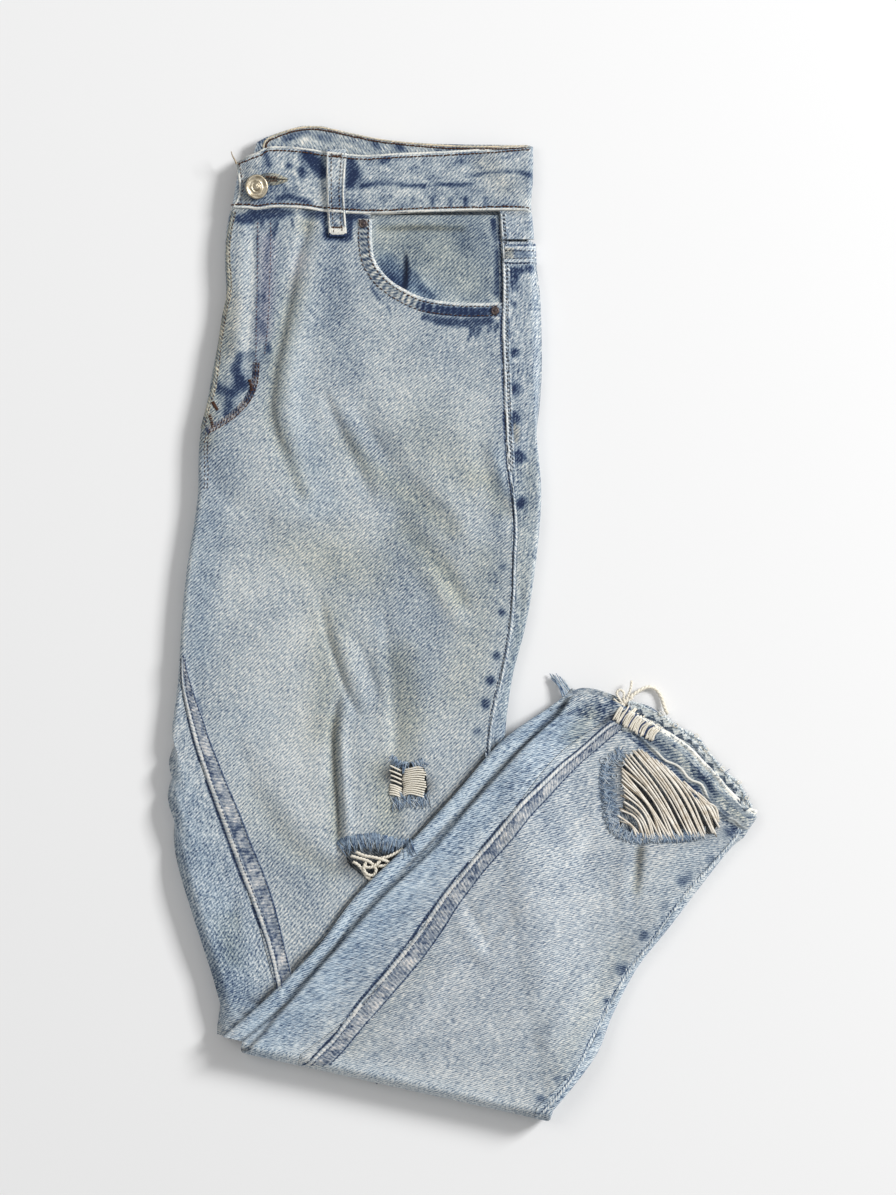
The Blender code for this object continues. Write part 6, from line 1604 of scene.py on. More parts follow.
# Inseams: a white twisted edge at the left, and a puckered band to a stitched line at the right
def inseam_band(name, left, right, material, dark):
    at, xy, _ = track(left, 1.0)
    _, other, _ = track(right, 1.0)
    order = np.arange(len(other))
    paired = np.stack([np.interp(np.linspace(0, len(other) - 1, len(xy)), order, other[:, k]) for k in (0, 1)], -1)
    shares = np.array([-0.22, -0.10, 0.0, 0.10, 0.19, 0.28, 0.42, 0.56, 0.70, 0.84, 0.94, 1.0, 1.08])
    plan = xy[:, None] + (paired - xy)[:, None] * shares[None, :, None]
    base = top.heights(plan.reshape(-1, 2)).reshape(plan.shape[:2])
    base = eased(np.maximum(base, base.max(axis=1, keepdims=True) - 3.0), 3)
    distance = np.broadcast_to(at[:, None], base.shape)
    across = np.broadcast_to(shares[None], base.shape)
    ladder = bars(distance + 3.0 * across, 4.6, 61, 4.0)
    small = soft_noise(distance, 9.0 * across, 2.2, 62)
    rise = np.interp(across, [-0.22, -0.1, 0.0, 0.1, 0.19, 0.28, 0.5, 0.84, 0.94, 1.0, 1.08],
                     [0.0, 0.05, 0.45, 0.62, 0.50, 0.22, 0.32, 0.35, 0.20, 0.25, -0.05])
    middle = smoothstep((across - 0.22) / 0.1) * smoothstep((0.96 - across) / 0.1)
    rise = rise + middle * (0.30 * (ladder - 0.5) + 0.25 * (small - 0.5))
    edge = np.exp(-((across - 0.10) / 0.09) ** 2)
    rise = rise + edge * 0.12 * np.sin(distance * 2.6)
    grid = np.concatenate([plan, (base + rise)[..., None]], -1)
    spots = smoothstep((soft_noise(distance, 9.0 * across, 3.0, 63) - 0.60) * 7.0)
    navy = dark * middle * (1 - ladder) * (0.3 + 0.7 * small)
    # The navy just left of the white edge is painted shadow beside the raised seam
    navy = navy + np.exp(-((across + 0.13) / 0.09) ** 2) + 0.35 * np.exp(-((across - 0.27) / 0.05) ** 2)
    navy = navy + 0.7 * np.exp(-((across - 1.0) / 0.05) ** 2)
    values = {"navy": np.clip(navy * (1 - 0.9 * edge), 0, 1), "pale": 1.9 * edge + 0.25 * middle * ladder,
              "dark": middle * (0.45 * (1 - ladder) + 1.1 * spots), "rose": 0.22 * middle, "brown": 0.12 * middle}
    piece = make_mesh(name, grid, quads(*base.shape), material, np.stack([across * 9.0, distance], -1), values,
                      lay_on=True)
    cloth_sheet()
    return piece


inseam_band("upper inseam", UPPER_INSEAM_LEFT, UPPER_INSEAM_RIGHT, seam_cloth, 0.22)
inseam_band("lower inseam", LOWER_INSEAM_LEFT, LOWER_INSEAM_RIGHT, seam_cloth, 0.12)
stitches("inseam stitches", [(UPPER_INSEAM_RIGHT, -0.4), (UPPER_INSEAM_LEFT, 2.7), (LOWER_INSEAM_RIGHT, 0.4),
                             (LOWER_INSEAM_LEFT, 2.6)], navy_yarn, 2.1, 0.9, 0.32)
stitches("inseam shadow line", [(UPPER_INSEAM_LEFT, -0.9), (LOWER_INSEAM_LEFT, -0.9)], dark_yarn, 2.8, 0.4, 0.20,
         lift=0.0)


# Lower side seam: a pale ridge with a thin dark line
def lower_seam_paint(at, across):
    return {"pale": 0.9 * np.exp(-((across - 0.5) / 0.7) ** 2), "navy": 0.75 * np.exp(-((across + 0.9) / 0.45) ** 2)}


ribbon("lower side seam", LOWER_SIDE_SEAM, [-2.0, -1.3, -0.8, -0.3, 0.3, 0.9, 1.6], [0.0, 0.04, 0.02, 0.3, 0.45, 0.3, 0.0],
       lower_back_cloth, 0.9, twist, lower_seam_paint)


# Pocket mouth: white edge and a puckered band between two brown rows
def pocket_ribs(at):
    return 0.5 + 0.5 * np.sin(at * 1.55 + 2.2 * soft_noise(at, 0 * at, 7.0, 73)) * (0.6 + 0.4 * bars(at, 9.0, 71))


def pocket_paint(at, across):
    ladder = pocket_ribs(at)
    inner = smoothstep((-across - 1.6) / 0.4) * smoothstep((across + 8.4) / 0.5)
    right = smoothstep((at - 66.0) / 12.0)
    blue = right * smoothstep((-across - 3.0) / 0.8)
    return {"navy": np.clip(inner * 0.42 * (1 - ladder) + 0.70 * blue * (0.7 + 0.3 * (1 - ladder)), 0, 1),
            "dark": 0.5 * inner * (1 - ladder), "brown": 0.35 * inner * (1 - right),
            "pale": 1.9 * (across > -1.7) + 0.9 * inner * ladder * (1 - 0.7 * right)}


def pocket_wave(at, across):
    inner = smoothstep((-across - 1.6) / 0.6) * smoothstep((across + 8.4) / 0.8)
    return 0.36 * (pocket_ribs(at) - 0.5) * inner + 0.08 * np.sin(at * 2.4) * (across > -1.7)


# The opening's own edge is thrown up where the hand goes in
ribbon("pocket band", POCKET_EDGE, [0.7, 0.5, 0.1, -0.5, -1.1, -1.7, -2.6, -3.8, -5.0, -6.2, -7.2, -8.2, -9.0, -9.8],
       [-1.5, 0.1, 0.55, 0.75, 0.62, 0.34, 0.42, 0.5, 0.5, 0.46, 0.40, 0.22, 0.10, -0.05], band_cloth, 0.8, pocket_wave,
       pocket_paint)
stitches("pocket stitches", [(POCKET_EDGE, -2.1), (POCKET_EDGE, -8.6)], brown_yarn, 2.2, 0.8, 0.34)


# Yoke seam on the back panel's strip
def yoke_paint(at, across):
    return {"navy": np.clip(0.9 * np.exp(-((across - 6.2) / 0.7) ** 2) + 0.8 * np.exp(-((across + 6.7) / 0.8) ** 2)
                            + 0.35 * bars(at + across, 4.0, 81) * (np.abs(across) < 3), 0, 1),
            "pale": np.clip(1.0 * np.exp(-((across - 4.4) / 0.8) ** 2) + 0.5 * np.exp(-((across + 5.2) / 0.7) ** 2), 0, 1),
            "brown": 0.7 * smoothstep((9.0 - at) / 5.0) * (np.abs(across) < 4.0)}


ribbon("yoke seam", YOKE_LINE, [7.4, 6.2, 5.2, 4.4, 3.6, 2.4, 0.0, -2.4, -4.2, -5.2, -6.0, -6.8, -7.8],
       [0.0, 0.08, 0.45, 0.66, 0.5, 0.26, 0.3, 0.28, 0.32, 0.42, 0.22, 0.04, 0.0], back_cloth, 0.8, twist, yoke_paint)
stitches("yoke stitches", [(YOKE_LINE, 2.2), (YOKE_LINE, -3.0), (YOKE_LINE, -6.4)], dark_yarn, 1.9, 0.8, 0.28)


# Fly: folded edge with a row beside it, two rose rows that curve to the crotch, brown tacks
def fly_edge_paint(at, across):
    return {"pale": 0.5 * np.exp(-((across - 0.4) / 0.7) ** 2), "brown": 0.5, "olive": 0.4}


ribbon("fly edge", FLY_EDGE, [-0.3, 0.3, 0.9, 1.5, 2.1, 3.2], [0.1, 0.42, 0.5, 0.3, 0.12, 0.0], band_cloth, 0.9, twist,
       fly_edge_paint)
stitches("fly edge stitches", [(FLY_EDGE, 2.3), (CROTCH_LINE, 1.4), (CROTCH_LINE, 3.6)], brown_yarn, 1.9, 1.0, 0.25)
fly_straight = FLY_CURVE[:5]
fly_round = FLY_CURVE[4:]
stitches("fly rows", [(fly_straight, 0.0), (FLY_CURVE_OUTER, 0.0)], rose_yarn, 1.7, 1.2, 0.27)
stitches("fly curve", [(fly_round, 0.0), (fly_round, 2.1)], brown_yarn, 2.1, 0.5, 0.42)
ribbon("fly seam", fly_round, [-2.4, -1.6, -0.8, 0.0, 0.8, 1.8, 2.6], [0.0, 0.14, 0.30, 0.36, 0.34, 0.26, 0.0],
       band_cloth, 0.8, twist, lambda at, across: {"brown": 0.6, "rose": 0.7, "dark": 0.9, "navy": 0.5 * bars(at, 4.0, 83)})
tack_rows = []
for spot, size, angle, count in (((213.5, 406.5), (9.0, 7.0), 62.0, 18), ((210.0, 421.0), (12.0, 6.5), 75.0, 12),
                                 ((250.5, 385.0), (11.0, 4.6), 78.0, 13)):
    tack_rows += [(line, 0.0) for line in bar_tack(spot, size, angle, count)]
stitches("fly tacks", tack_rows, brown_yarn, 2.6, 0.2, 0.32)


# Frayed yarns and threads
fray_blue = yarn("frayed blue", (0.36, 0.46, 0.56), (0.035, 0.070, 0.150), 0.42)
fray_pale = yarn("frayed pale", (0.62, 0.65, 0.66), (0.33, 0.40, 0.47))
linen_yarn = yarn("tan yarn", (0.50, 0.42, 0.31), (0.26, 0.20, 0.14))

HEM_OUTER = [
    (627, 709), (640, 717), (650, 722), (660, 729), (669, 733), (679, 740), (690, 748), (697, 755), (704, 763),
    (713, 771.5), (719, 777), (726, 787.6), (735, 796), (744, 804.5), (751, 810), (757.5, 812)]
HEM_INNER = [
    (622, 729), (629.5, 728), (640, 736), (648.5, 745), (657, 752), (665, 761), (675, 764), (681.5, 768.5),
    (687, 777), (692.5, 781), (699, 782.5), (703, 786), (706, 793.5), (710, 801), (716, 807), (723, 814), (729, 818),
    (735, 820), (741, 826), (748, 829)]
LEFT_HEM_OUTER = [
    (629, 702), (641, 705), (651.5, 710.5), (662, 714.5), (669, 720), (676, 726.5), (687, 732), (697, 737), (703, 744),
    (707, 751), (715, 760), (723, 770), (731, 777), (740, 783.5), (742, 789), (747, 799), (752, 807)]
SHIN_RIP_LEFT = [
    (622, 752), (614, 757), (607, 762), (604, 773), (604, 785), (606, 795), (608, 806), (609, 820), (613, 828),
    (619, 835)]
SHIN_RIP_LOW = [(619, 834), (630, 839), (645, 840), (660, 838), (679, 838), (692, 836), (706, 834)]
SHIN_THREAD_STARTS = [
    (706, 803), (694, 791), (681, 780), (668, 767), (656, 760), (643, 750), (633, 749), (626, 756), (621, 766),
    (622, 778), (625, 792), (622, 806), (618, 822)]
SHIN_THREAD_ENDS = [
    (718, 818), (717, 825), (716, 832), (711, 835), (704, 835), (697, 836), (689, 837), (681, 838), (672, 838),
    (664, 839), (656, 839), (646, 839), (636, 838)]
SMALL_RIP_TOP = [(389, 757), (396, 762), (404, 766), (412, 766), (420, 763), (425, 761)]
SMALL_RIP_LOW = [(392, 800), (400, 797), (410, 796), (420, 796), (428, 795)]
LARGE_RIP_TOP = [
    (338, 845), (344, 839.5), (354, 838.5), (364, 836), (374, 835), (384, 837.5), (394, 840.5), (403, 842), (412, 841)]


def view(points, z):
    """Path from view units with a given height for each point."""
    plan = to_mm([(x, y) for x, y in points])
    return np.concatenate([plan, np.broadcast_to(np.asarray(z, float), len(points))[:, None]], -1)


def curved(path, count=14):
    """Smooth path through a few points."""
    path = np.asarray(path, float)
    for _ in range(3):
        early = path[:-1] * 0.75 + path[1:] * 0.25
        late = path[:-1] * 0.25 + path[1:] * 0.75
        path = np.concatenate([path[:1], np.stack([early, late], 1).reshape(-1, 3), path[-1:]])
    length = np.concatenate([[0.0], np.cumsum(np.linalg.norm(np.diff(path, axis=0), axis=1))])
    at = np.linspace(0.0, length[-1], count)
    return np.stack([np.interp(at, length, path[:, k]) for k in range(3)], -1)


def plied(path, radius, twist_length=3.4):
    """Two strands wound round each other along a path."""
    length = float(np.linalg.norm(np.diff(path, axis=0), axis=1).sum())
    path = curved(path, max(int(length / (twist_length / 7)), 6))
    way = np.gradient(path, axis=0)
    way /= np.maximum(np.linalg.norm(way, axis=1, keepdims=True), 1e-9)
    aside = np.cross(way, np.array([0.02, 0.01, 1.0]))
    aside /= np.maximum(np.linalg.norm(aside, axis=1, keepdims=True), 1e-9)
    over = np.cross(aside, way)
    turn = np.linspace(0.0, 2 * math.pi * length / twist_length, len(path))
    strands = []
    for start in (0.0, math.pi):
        ring = aside * np.cos(turn + start)[:, None] + over * np.sin(turn + start)[:, None]
        strands.append(path + ring * radius * 0.55)
    return strands


def frayed(name, line, reach, count, material, lean=0.0, spread=0.35, radius=0.24, back=1.0, lift=0.25, seed=5,
           sink=0.8, curl=0.5):
    """Loose yarn ends along an edge, standing out to its left."""
    rng = np.random.default_rng(seed)
    at, xy, aside = track(line, 0.5)
    paths = []
    radii = []
    for _ in range(count):
        mark = rng.uniform(0.0, at[-1])
        out = np.array([np.interp(mark, at, aside[:, k]) for k in (0, 1)])
        turn = lean + rng.normal(0.0, spread)
        way = np.array([out[0] * math.cos(turn) - out[1] * math.sin(turn),
                        out[0] * math.sin(turn) + out[1] * math.cos(turn)])
        start = np.array([np.interp(mark, at, xy[:, k]) for k in (0, 1)]) - way * back * rng.uniform(0.6, 1.3)
        length = (reach + back) * rng.uniform(0.55, 1.25)
        share = np.linspace(0.0, 1.0, 6)
        bend = rng.normal(0.0, curl)
        side = np.array([-way[1], way[0]])
        plan = start + way * (share * length)[:, None] + side * (bend * share**2 * length * 0.5)[:, None]
        z = top.heights(plan)
        z = np.maximum(z, z[0] - sink * share * 2.0) + lift + rng.uniform(0.0, 0.5) * np.sin(math.pi * share)
        paths.append(np.concatenate([plan, z[:, None]], -1))
        radii.append(radius * rng.uniform(0.7, 1.3) * np.array([1.0, 1.0, 0.95, 0.85, 0.7, 0.4]))
    return tubes(name, paths, radii, material, sides=4)


def small_loops(name, spots, size, material, seed=7):
    """Little rings of yarn that curl up from a frayed edge."""
    rng = np.random.default_rng(seed)
    paths = []
    for x, y in spots:
        centre = to_mm([(x, y)])[0]
        turn = rng.uniform(0.0, 6.0)
        angles = turn + np.linspace(0.0, 5.6, 14)
        reach = size * rng.uniform(0.8, 1.2)
        plan = centre + np.stack([np.cos(angles) * reach, np.sin(angles) * reach * 0.85], -1)
        z = top.heights(plan).max() + 0.45 + 0.35 * np.sin(angles * 0.5)
        paths.append(np.concatenate([plan, np.broadcast_to(z, len(plan))[:, None]], -1))
    return tubes(name, paths, [0.3] * len(paths), material, sides=5)


# Belt loop: bleached edges, twin stitches and tacks at both ends
LOOP_LEFT = [(327, 153), (326.5, 170), (326.8, 190), (327.5, 210), (329, 233)]
LOOP_RIGHT = [(346.5, 153), (345, 170), (343.6, 190), (344.6, 210), (346.5, 233)]
LOOP_FOOT = [(328.5, 232.5), (337, 233.2), (346.5, 232.5)]
piping("loop left edge", LOOP_LEFT, 0.5, 0.8, 1.0)
piping("loop right edge", LOOP_RIGHT, -0.5, 0.8, 1.0)
ribbon("loop foot", LOOP_FOOT, [-1.2, -0.4, 0.6, 1.8, 3.0, 4.2], [0.0, 0.35, 0.45, 0.4, 0.3, 0.1], edge_cloth, 0.8, twist,
       lambda at, across: {"pale": 1.0})
stitches("loop stitches", [([(x + 4.6, y) for x, y in LOOP_LEFT], 0.0), ([(x - 4.6, y) for x, y in LOOP_RIGHT], 0.0)],
         brown_yarn, 2.0, 1.0, 0.26)
loop_tacks = []
for spot, size in (((337.0, 157.0), (4.2, 7.5)), ((337.2, 227.5), (2.6, 10.0))):
    loop_tacks += [(line, 0.0) for line in bar_tack(spot, (size[1], size[0]), 0.0, 11)]
stitches("loop tacks", loop_tacks, brown_yarn, 1.6, 0.2, 0.30)


# Button: a worn dished disc, tilted under the brown edge of its hole
def tilted_button():
    profile = [(3.2, 0.0), (7.4, 0.1), (8.3, 0.5), (8.7, 1.2), (8.6, 1.9), (8.0, 2.35), (7.3, 2.25), (6.7, 1.7),
               (5.4, 1.45), (4.6, 1.5), (4.2, 1.8), (3.7, 1.85), (3.4, 1.5), (2.9, 1.5), (2.6, 2.1), (1.8, 2.7),
               (0.9, 2.85), (0.05, 2.9)]
    sides = 64
    angles = np.arange(sides) * 2 * math.pi / sides
    points = []
    for radius, height in profile:
        dent = 0.08 * np.sin(angles * 3 + radius) + 0.05 * np.sin(angles * 7 + 2 * radius)
        points.append(np.stack([radius * np.cos(angles), radius * np.sin(angles), height + dent], -1))
    points = np.concatenate(points)
    tilt = math.radians(10.0)
    x = points[:, 0] * math.cos(tilt) + points[:, 2] * math.sin(tilt)
    z = -points[:, 0] * math.sin(tilt) + points[:, 2] * math.cos(tilt)
    centre = to_mm([(256.5, 187.0)])[0]
    points = np.stack([x * 0.92 + centre[0], points[:, 1] + centre[1], z + 13.9], -1)
    faces = quads(len(profile), sides, ring=True)
    return make_mesh("button disc", points, faces, brass, None, None, up=True)


def metal(name, light, dark, rough=0.42):
    n = Nodes(name)
    place = n.add("ShaderNodeTexCoord").outputs["Object"]
    mm = n.add("ShaderNodeVectorMath", {0: place, "Scale": 1000.0}, operation="SCALE").outputs[0]
    worn = n.remap(n.noise(mm, 0.35, 4.0, 0.6), 0.35, 0.65)
    scratch = n.noise(mm, 2.2, 3.0, 0.7)
    n.shader.inputs["Metallic"].default_value = 0.85
    n.finish(n.mix(worn, (*dark, 1.0), (*light, 1.0)), n.remap(scratch, 0.3, 0.7, rough - 0.1, rough + 0.15), scratch,
             0.00015, 0.5)
    n.shader.inputs["Specular IOR Level"].default_value = 0.5
    return n.material


brass = metal("worn brass button", (0.62, 0.56, 0.44), (0.30, 0.25, 0.17))
rivet_metal = metal("dark rivet", (0.20, 0.15, 0.12), (0.05, 0.045, 0.06), 0.5)
button_piece = tilted_button()
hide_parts("button")


def buttonhole():
    """Lip of cloth over the button's right side, with thick brown stitching round its slit."""
    length = np.linspace(0.0, 1.0, 22)
    parts = np.linspace(-1.0, 1.0, 15)
    left = to_mm([(259.5, 178.5)])[0]
    right = to_mm([(287.5, 179.8)])[0]
    spine = left[None] + (right - left)[None] * length[:, None]
    half = 5.2 * np.sin(math.pi * np.clip(0.12 + 0.80 * length, 0, 1)) ** 0.8 * (1.0 - 0.35 * length)
    plan = spine[:, None] + np.stack([0.0 * parts, parts], -1)[None] * half[:, None, None]
    base = top.heights(plan.reshape(-1, 2)).reshape(plan.shape[:2])
    base = eased(base, 3)
    swell = (1.0 - parts[None] ** 2) * (1.1 + 0.8 * (1.0 - length[:, None]))
    slit = np.exp(-((parts[None] + 0.02) / 0.16) ** 2) * smoothstep((length[:, None] - 0.1) / 0.2)
    rise = swell * smoothstep(length[:, None] / 0.2) - 1.4 * slit * smoothstep((1.0 - length[:, None]) / 0.15)
    grid = np.concatenate([plan, (base + np.maximum(rise, -0.3) + 0.15)[..., None]], -1)
    # Painted shade in the slit
    values = {"brown": np.broadcast_to(0.7, base.shape), "olive": np.broadcast_to(0.4, base.shape),
              "shade": np.clip(slit * 1.2, 0, 1), "navy": 0.0 * base, "pale": 0.0 * base, "blue": 0.0 * base}
    grain = np.stack([plan[..., 0], plan[..., 1]], -1)
    piece = make_mesh("buttonhole lip", grid, quads(*base.shape), band_cloth, grain, values, lay_on=True)
    rows = []
    for share in np.linspace(0.22, 0.98, 15):
        spot = np.array([259.5, 178.5]) + (np.array([287.5, 179.8]) - np.array([259.5, 178.5])) * share
        for sign in (-1, 1):
            tip = 4.6 * (1.0 - 0.55 * share)
            rows.append(([(spot[0], spot[1] + sign * 0.5), (spot[0] + 0.9, spot[1] + sign * tip)], 0.0))
    return stitches("buttonhole stitches", rows, brown_yarn, 1.7, 0.2, 0.36, lift=0.05)


buttonhole()

# Rivets, dark and worn, with a flat rim and a small nipple
for node_name, spot, radius in (("rivet_pocket_top", (363.0, 223.5), 3.1), ("rivet_pocket_side", (495.0, 310.5), 2.9)):
    centre = to_mm([spot])[0]
    seat = top.height(float(centre[0]), float(centre[1]))
    profile = [(radius, -0.3), (radius, 0.5), (radius * 0.9, 0.85), (radius * 0.62, 0.8), (radius * 0.5, 0.55),
               (radius * 0.36, 0.6), (radius * 0.28, 1.15), (0.05, 1.3)]
    angles = np.arange(36) * 2 * math.pi / 36
    rings = [np.stack([centre[0] + r * np.cos(angles), centre[1] + r * np.sin(angles),
                       seat + h + 0.05 * np.sin(3 * angles)], -1) for r, h in profile]
    rivet = make_mesh(node_name + " head", np.concatenate(rings), quads(len(profile), 36, ring=True), rivet_metal)
    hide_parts(node_name)

# Corner thread that stands out of the waistband's end
spike = [curved(np.concatenate([view([(236.5, 164), (235, 160), (232.4, 156), (231.2, 151.5)], 0.0)[:, :2],
                                np.array([[12.9], [13.6], [14.0], [13.2]])], -1), 10)]
tubes("corner thread", spike, [np.linspace(0.7, 0.3, 10)], linen_yarn, sides=6)

# Small knee rip: bunched pale weft over a slit darkened with painted shade, blue warp ends above and below
rng = np.random.default_rng(11)
weft = []
for step in range(13):
    y = 768.5 + step * 2.2
    lean = (step - 6) / 6.0
    weft.append(view([(403.0 + 0.8 * math.sin(step), y + 1.2), (409, y - 0.6 - 1.4 * lean), (417, y - 0.9 + 0.8 * lean),
                      (425 + rng.uniform(-1.5, 1.5), y + 0.6 + 1.5 * lean)],
                     [10.6, 11.9, 12.1, 11.2]) + np.array([0, 0, rng.uniform(-0.25, 0.25)]))
    if step % 2 == 0 or step > 8:
        weft.append(view([(389.5 + rng.uniform(-1, 1), y - 3.0 + 0.6 * step * 0.3), (395, y - 0.5), (401.5, y + 2.6)],
                         [11.2, 11.9, 10.4]))
small_rip = tubes("small rip threads", [curved(path, 12) for path in weft], [0.62] * len(weft), cream_yarn, sides=6)
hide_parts("knee_threads_small")
frayed("small rip fringe", SMALL_RIP_TOP, 4.6, 46, fray_blue, lean=math.pi, spread=0.25, radius=0.34, back=2.5, sink=0.3,
       seed=12)
frayed("small rip fringe pale", SMALL_RIP_TOP, 3.8, 22, fray_pale, lean=math.pi, spread=0.3, radius=0.26, back=2.5,
       sink=0.3, seed=13)
frayed("small rip lower fringe", SMALL_RIP_LOW, 2.5, 40, fray_blue, lean=0.1, spread=0.35, radius=0.34, back=7.5,
       sink=0.3, seed=14)
frayed("small rip lower pale", SMALL_RIP_LOW, 2.0, 26, fray_pale, lean=0.1, spread=0.4, radius=0.26, back=8.0, sink=0.3,
       seed=15)

# Large knee rip: crescent of blue warp ends, thick cream loops below it
frayed("large rip fringe", LARGE_RIP_TOP, 9.0, 110, fray_blue, lean=math.pi, spread=0.16, radius=0.42, back=1.8, sink=0.2,
       seed=16, curl=0.25)
frayed("large rip fringe pale", LARGE_RIP_TOP, 8.0, 46, fray_pale, lean=math.pi, spread=0.18, radius=0.28, back=1.2,
       sink=0.15, seed=17, curl=0.25)
knot = [
    view([(351, 856), (358, 858), (366, 860), (372, 863), (377, 870), (374, 876), (367, 875), (363, 869), (366, 862)],
         [11.6, 12.6, 13.0, 13.0, 12.6, 12.6, 12.8, 13.2, 12.4]),
    view([(353, 862), (359, 865), (364, 872), (368, 879), (375, 880)], [11.4, 12.3, 12.0, 11.8, 11.6]),
    view([(356, 852), (364, 856), (373, 857), (381, 859), (389, 862)], [11.8, 12.8, 13.4, 13.2, 12.6]),
    view([(378, 866), (386, 866), (394, 861), (401, 855), (407, 851)], [12.4, 13.0, 13.0, 12.6, 11.8]),
    view([(381, 858), (388, 857), (396, 853), (403, 849)], [12.6, 13.2, 13.0, 12.2]),
    view([(363, 866), (369, 868), (375, 866), (380, 861)], [12.8, 13.8, 14.0, 13.4])]
strands = [strand for path in knot for strand in plied(path, 0.95, 5.0)]
large_rip = tubes("large rip threads", strands, [0.72] * len(strands), cream_yarn, sides=7)
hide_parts("knee_threads_large")

# Shin rip: long cream weft in a fan, frayed blue border at its left and below
starts = np.array(SHIN_THREAD_STARTS, float)
ends = np.array(SHIN_THREAD_ENDS, float)
weft = []
radii = []
count = 34
for step in range(count):
    share = (step + rng.uniform(-0.2, 0.2)) / (count - 1) * (len(starts) - 1)
    share = min(max(share, 0.0), len(starts) - 1.0)
    index = np.arange(len(starts))
    a = np.array([np.interp(share, index, starts[:, k]) for k in (0, 1)])
    b = np.array([np.interp(share, index, ends[:, k]) for k in (0, 1)])
    bow = 4.0 + 5.0 * rng.uniform(0, 1)
    mid = (a + b) / 2 + np.array([bow * 0.75, -bow * 0.65])
    plan = [tuple(a + rng.normal(0, 0.8, 2)), tuple(mid + rng.normal(0, 1.0, 2)), tuple(b + rng.normal(0, 1.6, 2))]
    ground = top.heights(to_mm(plan))
    crest = max(ground[0], ground[2])
    rise = rng.uniform(-0.5, 0.5)
    weft.append(view(plan, [ground[0] + 0.1, crest + 0.1 + rise, ground[2] + 0.25]))
    radii.append(rng.uniform(0.5, 0.78))
long_threads = tubes("shin rip threads", [curved(path, 16) for path in weft], radii, rip_yarn, sides=6)
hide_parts("shin_threads")
thin = [curved(path + rng.normal(0, 1.0, path.shape) * np.array([1.4, 1.4, 0.25]), 14) for path in weft[4::3]]
tubes("shin rip thin threads", thin, [0.3] * len(thin), linen_yarn, sides=5)
frayed("shin rip left fringe", SHIN_RIP_LEFT, 6.5, 110, fray_blue, lean=0.1, spread=0.8, radius=0.36, back=3.5, sink=0.5,
       seed=21)
frayed("shin rip left pale", SHIN_RIP_LEFT, 5.5, 110, fray_pale, lean=0.0, spread=1.0, radius=0.28, back=3.5, sink=0.5,
       seed=22)
frayed("shin rip low fringe", SHIN_RIP_LOW, 5.0, 110, fray_blue, lean=0.0, spread=0.5, radius=0.36, back=3.2, sink=0.4,
       seed=23)
frayed("shin rip low pale", SHIN_RIP_LOW, 4.8, 100, fray_pale, lean=0.0, spread=0.6, radius=0.28, back=3.2, sink=0.4,
       seed=24)
small_loops("shin rip loops", [(621, 763), (620, 786), (653, 838), (604, 760), (607, 815), (615, 776)], 2.2, fray_pale)

# Hems: worn white edges, frayed loops, navy blotches and painted shade between the puckers
def hem_inner_paint(at, across):
    shown = 0.25 + 0.75 * smoothstep((at - 26.0) / 10.0) * smoothstep((84.0 - at) / 12.0)
    edge = (np.abs(across - 0.1) < 0.6) * shown
    # Navy blotches with painted shade beside the raised pale inner edge
    return {"navy": np.clip((1 - edge) * (0.45 + 0.55 * bars(at, 6.0, 92)), 0, 1), "shade": 0.35 * (1 - edge),
            "pale": 1.0 * edge}


ribbon("hem inner edge", HEM_INNER, [-2.4, -1.5, -0.9, -0.4, 0.1, 0.6, 1.0, 1.6, 2.6],
       [0.0, 0.02, 0.15, 0.5, 0.62, 0.5, 0.2, 0.08, 0.0], edge_cloth, 0.7,
       lambda at, across: 0.35 * (bars(at, 5.0, 91) - 0.4) * (np.abs(across) < 1.2), hem_inner_paint)


def blotched(at, across):
    spots = smoothstep((soft_noise(at, across, 6.0, 93) - 0.60) * 6.0)
    return {"navy": 0.6 * spots * smoothstep((-across - 1.6) / 1.0), "dark": 1.6 * smoothstep((-across - 1.6) / 1.4),
            "pale": 1.0 * (across > -1.4)}


def hem_gaps(at, across):
    """Dark wedges of painted shade between the puckers of the hem behind."""
    place = at / 8.4 + 0.7 * soft_noise(at, 0.0 * at, 18.0, 96)
    wedge = 2.0 * np.abs(place - np.floor(place) - 0.5)
    dark = smoothstep((-across - 1.9 - 3.6 * wedge) / 0.8)
    return {"navy": np.clip(1.1 * dark, 0, 1), "shade": 0.5 * dark, "dark": 0.3 * (1 - dark),
            "blue": 0.2 * (1 - dark)}


def puckers(at, across):
    return 0.45 * (bars(at, 4.6, 95) - 0.5) * (across > -5.0)


ribbon("hem outer edge", HEM_OUTER, [1.0, 0.4, -0.3, -1.0, -1.9, -3.0, -4.6, -6.4], [-1.2, 0.2, 0.75, 0.7, 0.35, 0.2, 0.12, 0.0],
       edge_cloth, 0.8, lambda at, across: 0.18 * (bars(at, 6.0, 94) - 0.5) * (across > -3.0), blotched)
ribbon("left hem outer edge", LEFT_HEM_OUTER, [0.9, 0.3, -0.4, -1.1, -2.0, -2.8, -3.6, -4.5, -5.4, -6.4],
       [-0.9, 0.2, 0.6, 0.62, 0.5, 0.4, 0.3, 0.2, 0.1, 0.0], edge_cloth, 0.6, puckers, hem_gaps)
frayed("hem frays", HEM_OUTER, 0.7, 60, fray_pale, spread=0.8, radius=0.22, back=1.2, sink=0.6, seed=31, curl=1.2)
frayed("left hem frays", LEFT_HEM_OUTER, 1.2, 110, fray_pale, spread=0.8, radius=0.26, back=1.4, sink=0.6, seed=33,
       curl=1.2)
frayed("left hem frays blue", LEFT_HEM_OUTER[5:], 0.6, 40, fray_blue, spread=0.9, radius=0.24, back=2.0, sink=0.5, seed=34,
       curl=1.2)
small_loops("hem loops", [(x, y - 1.0) for x, y in LEFT_HEM_OUTER[3::2]], 1.5, cream_yarn, 8)

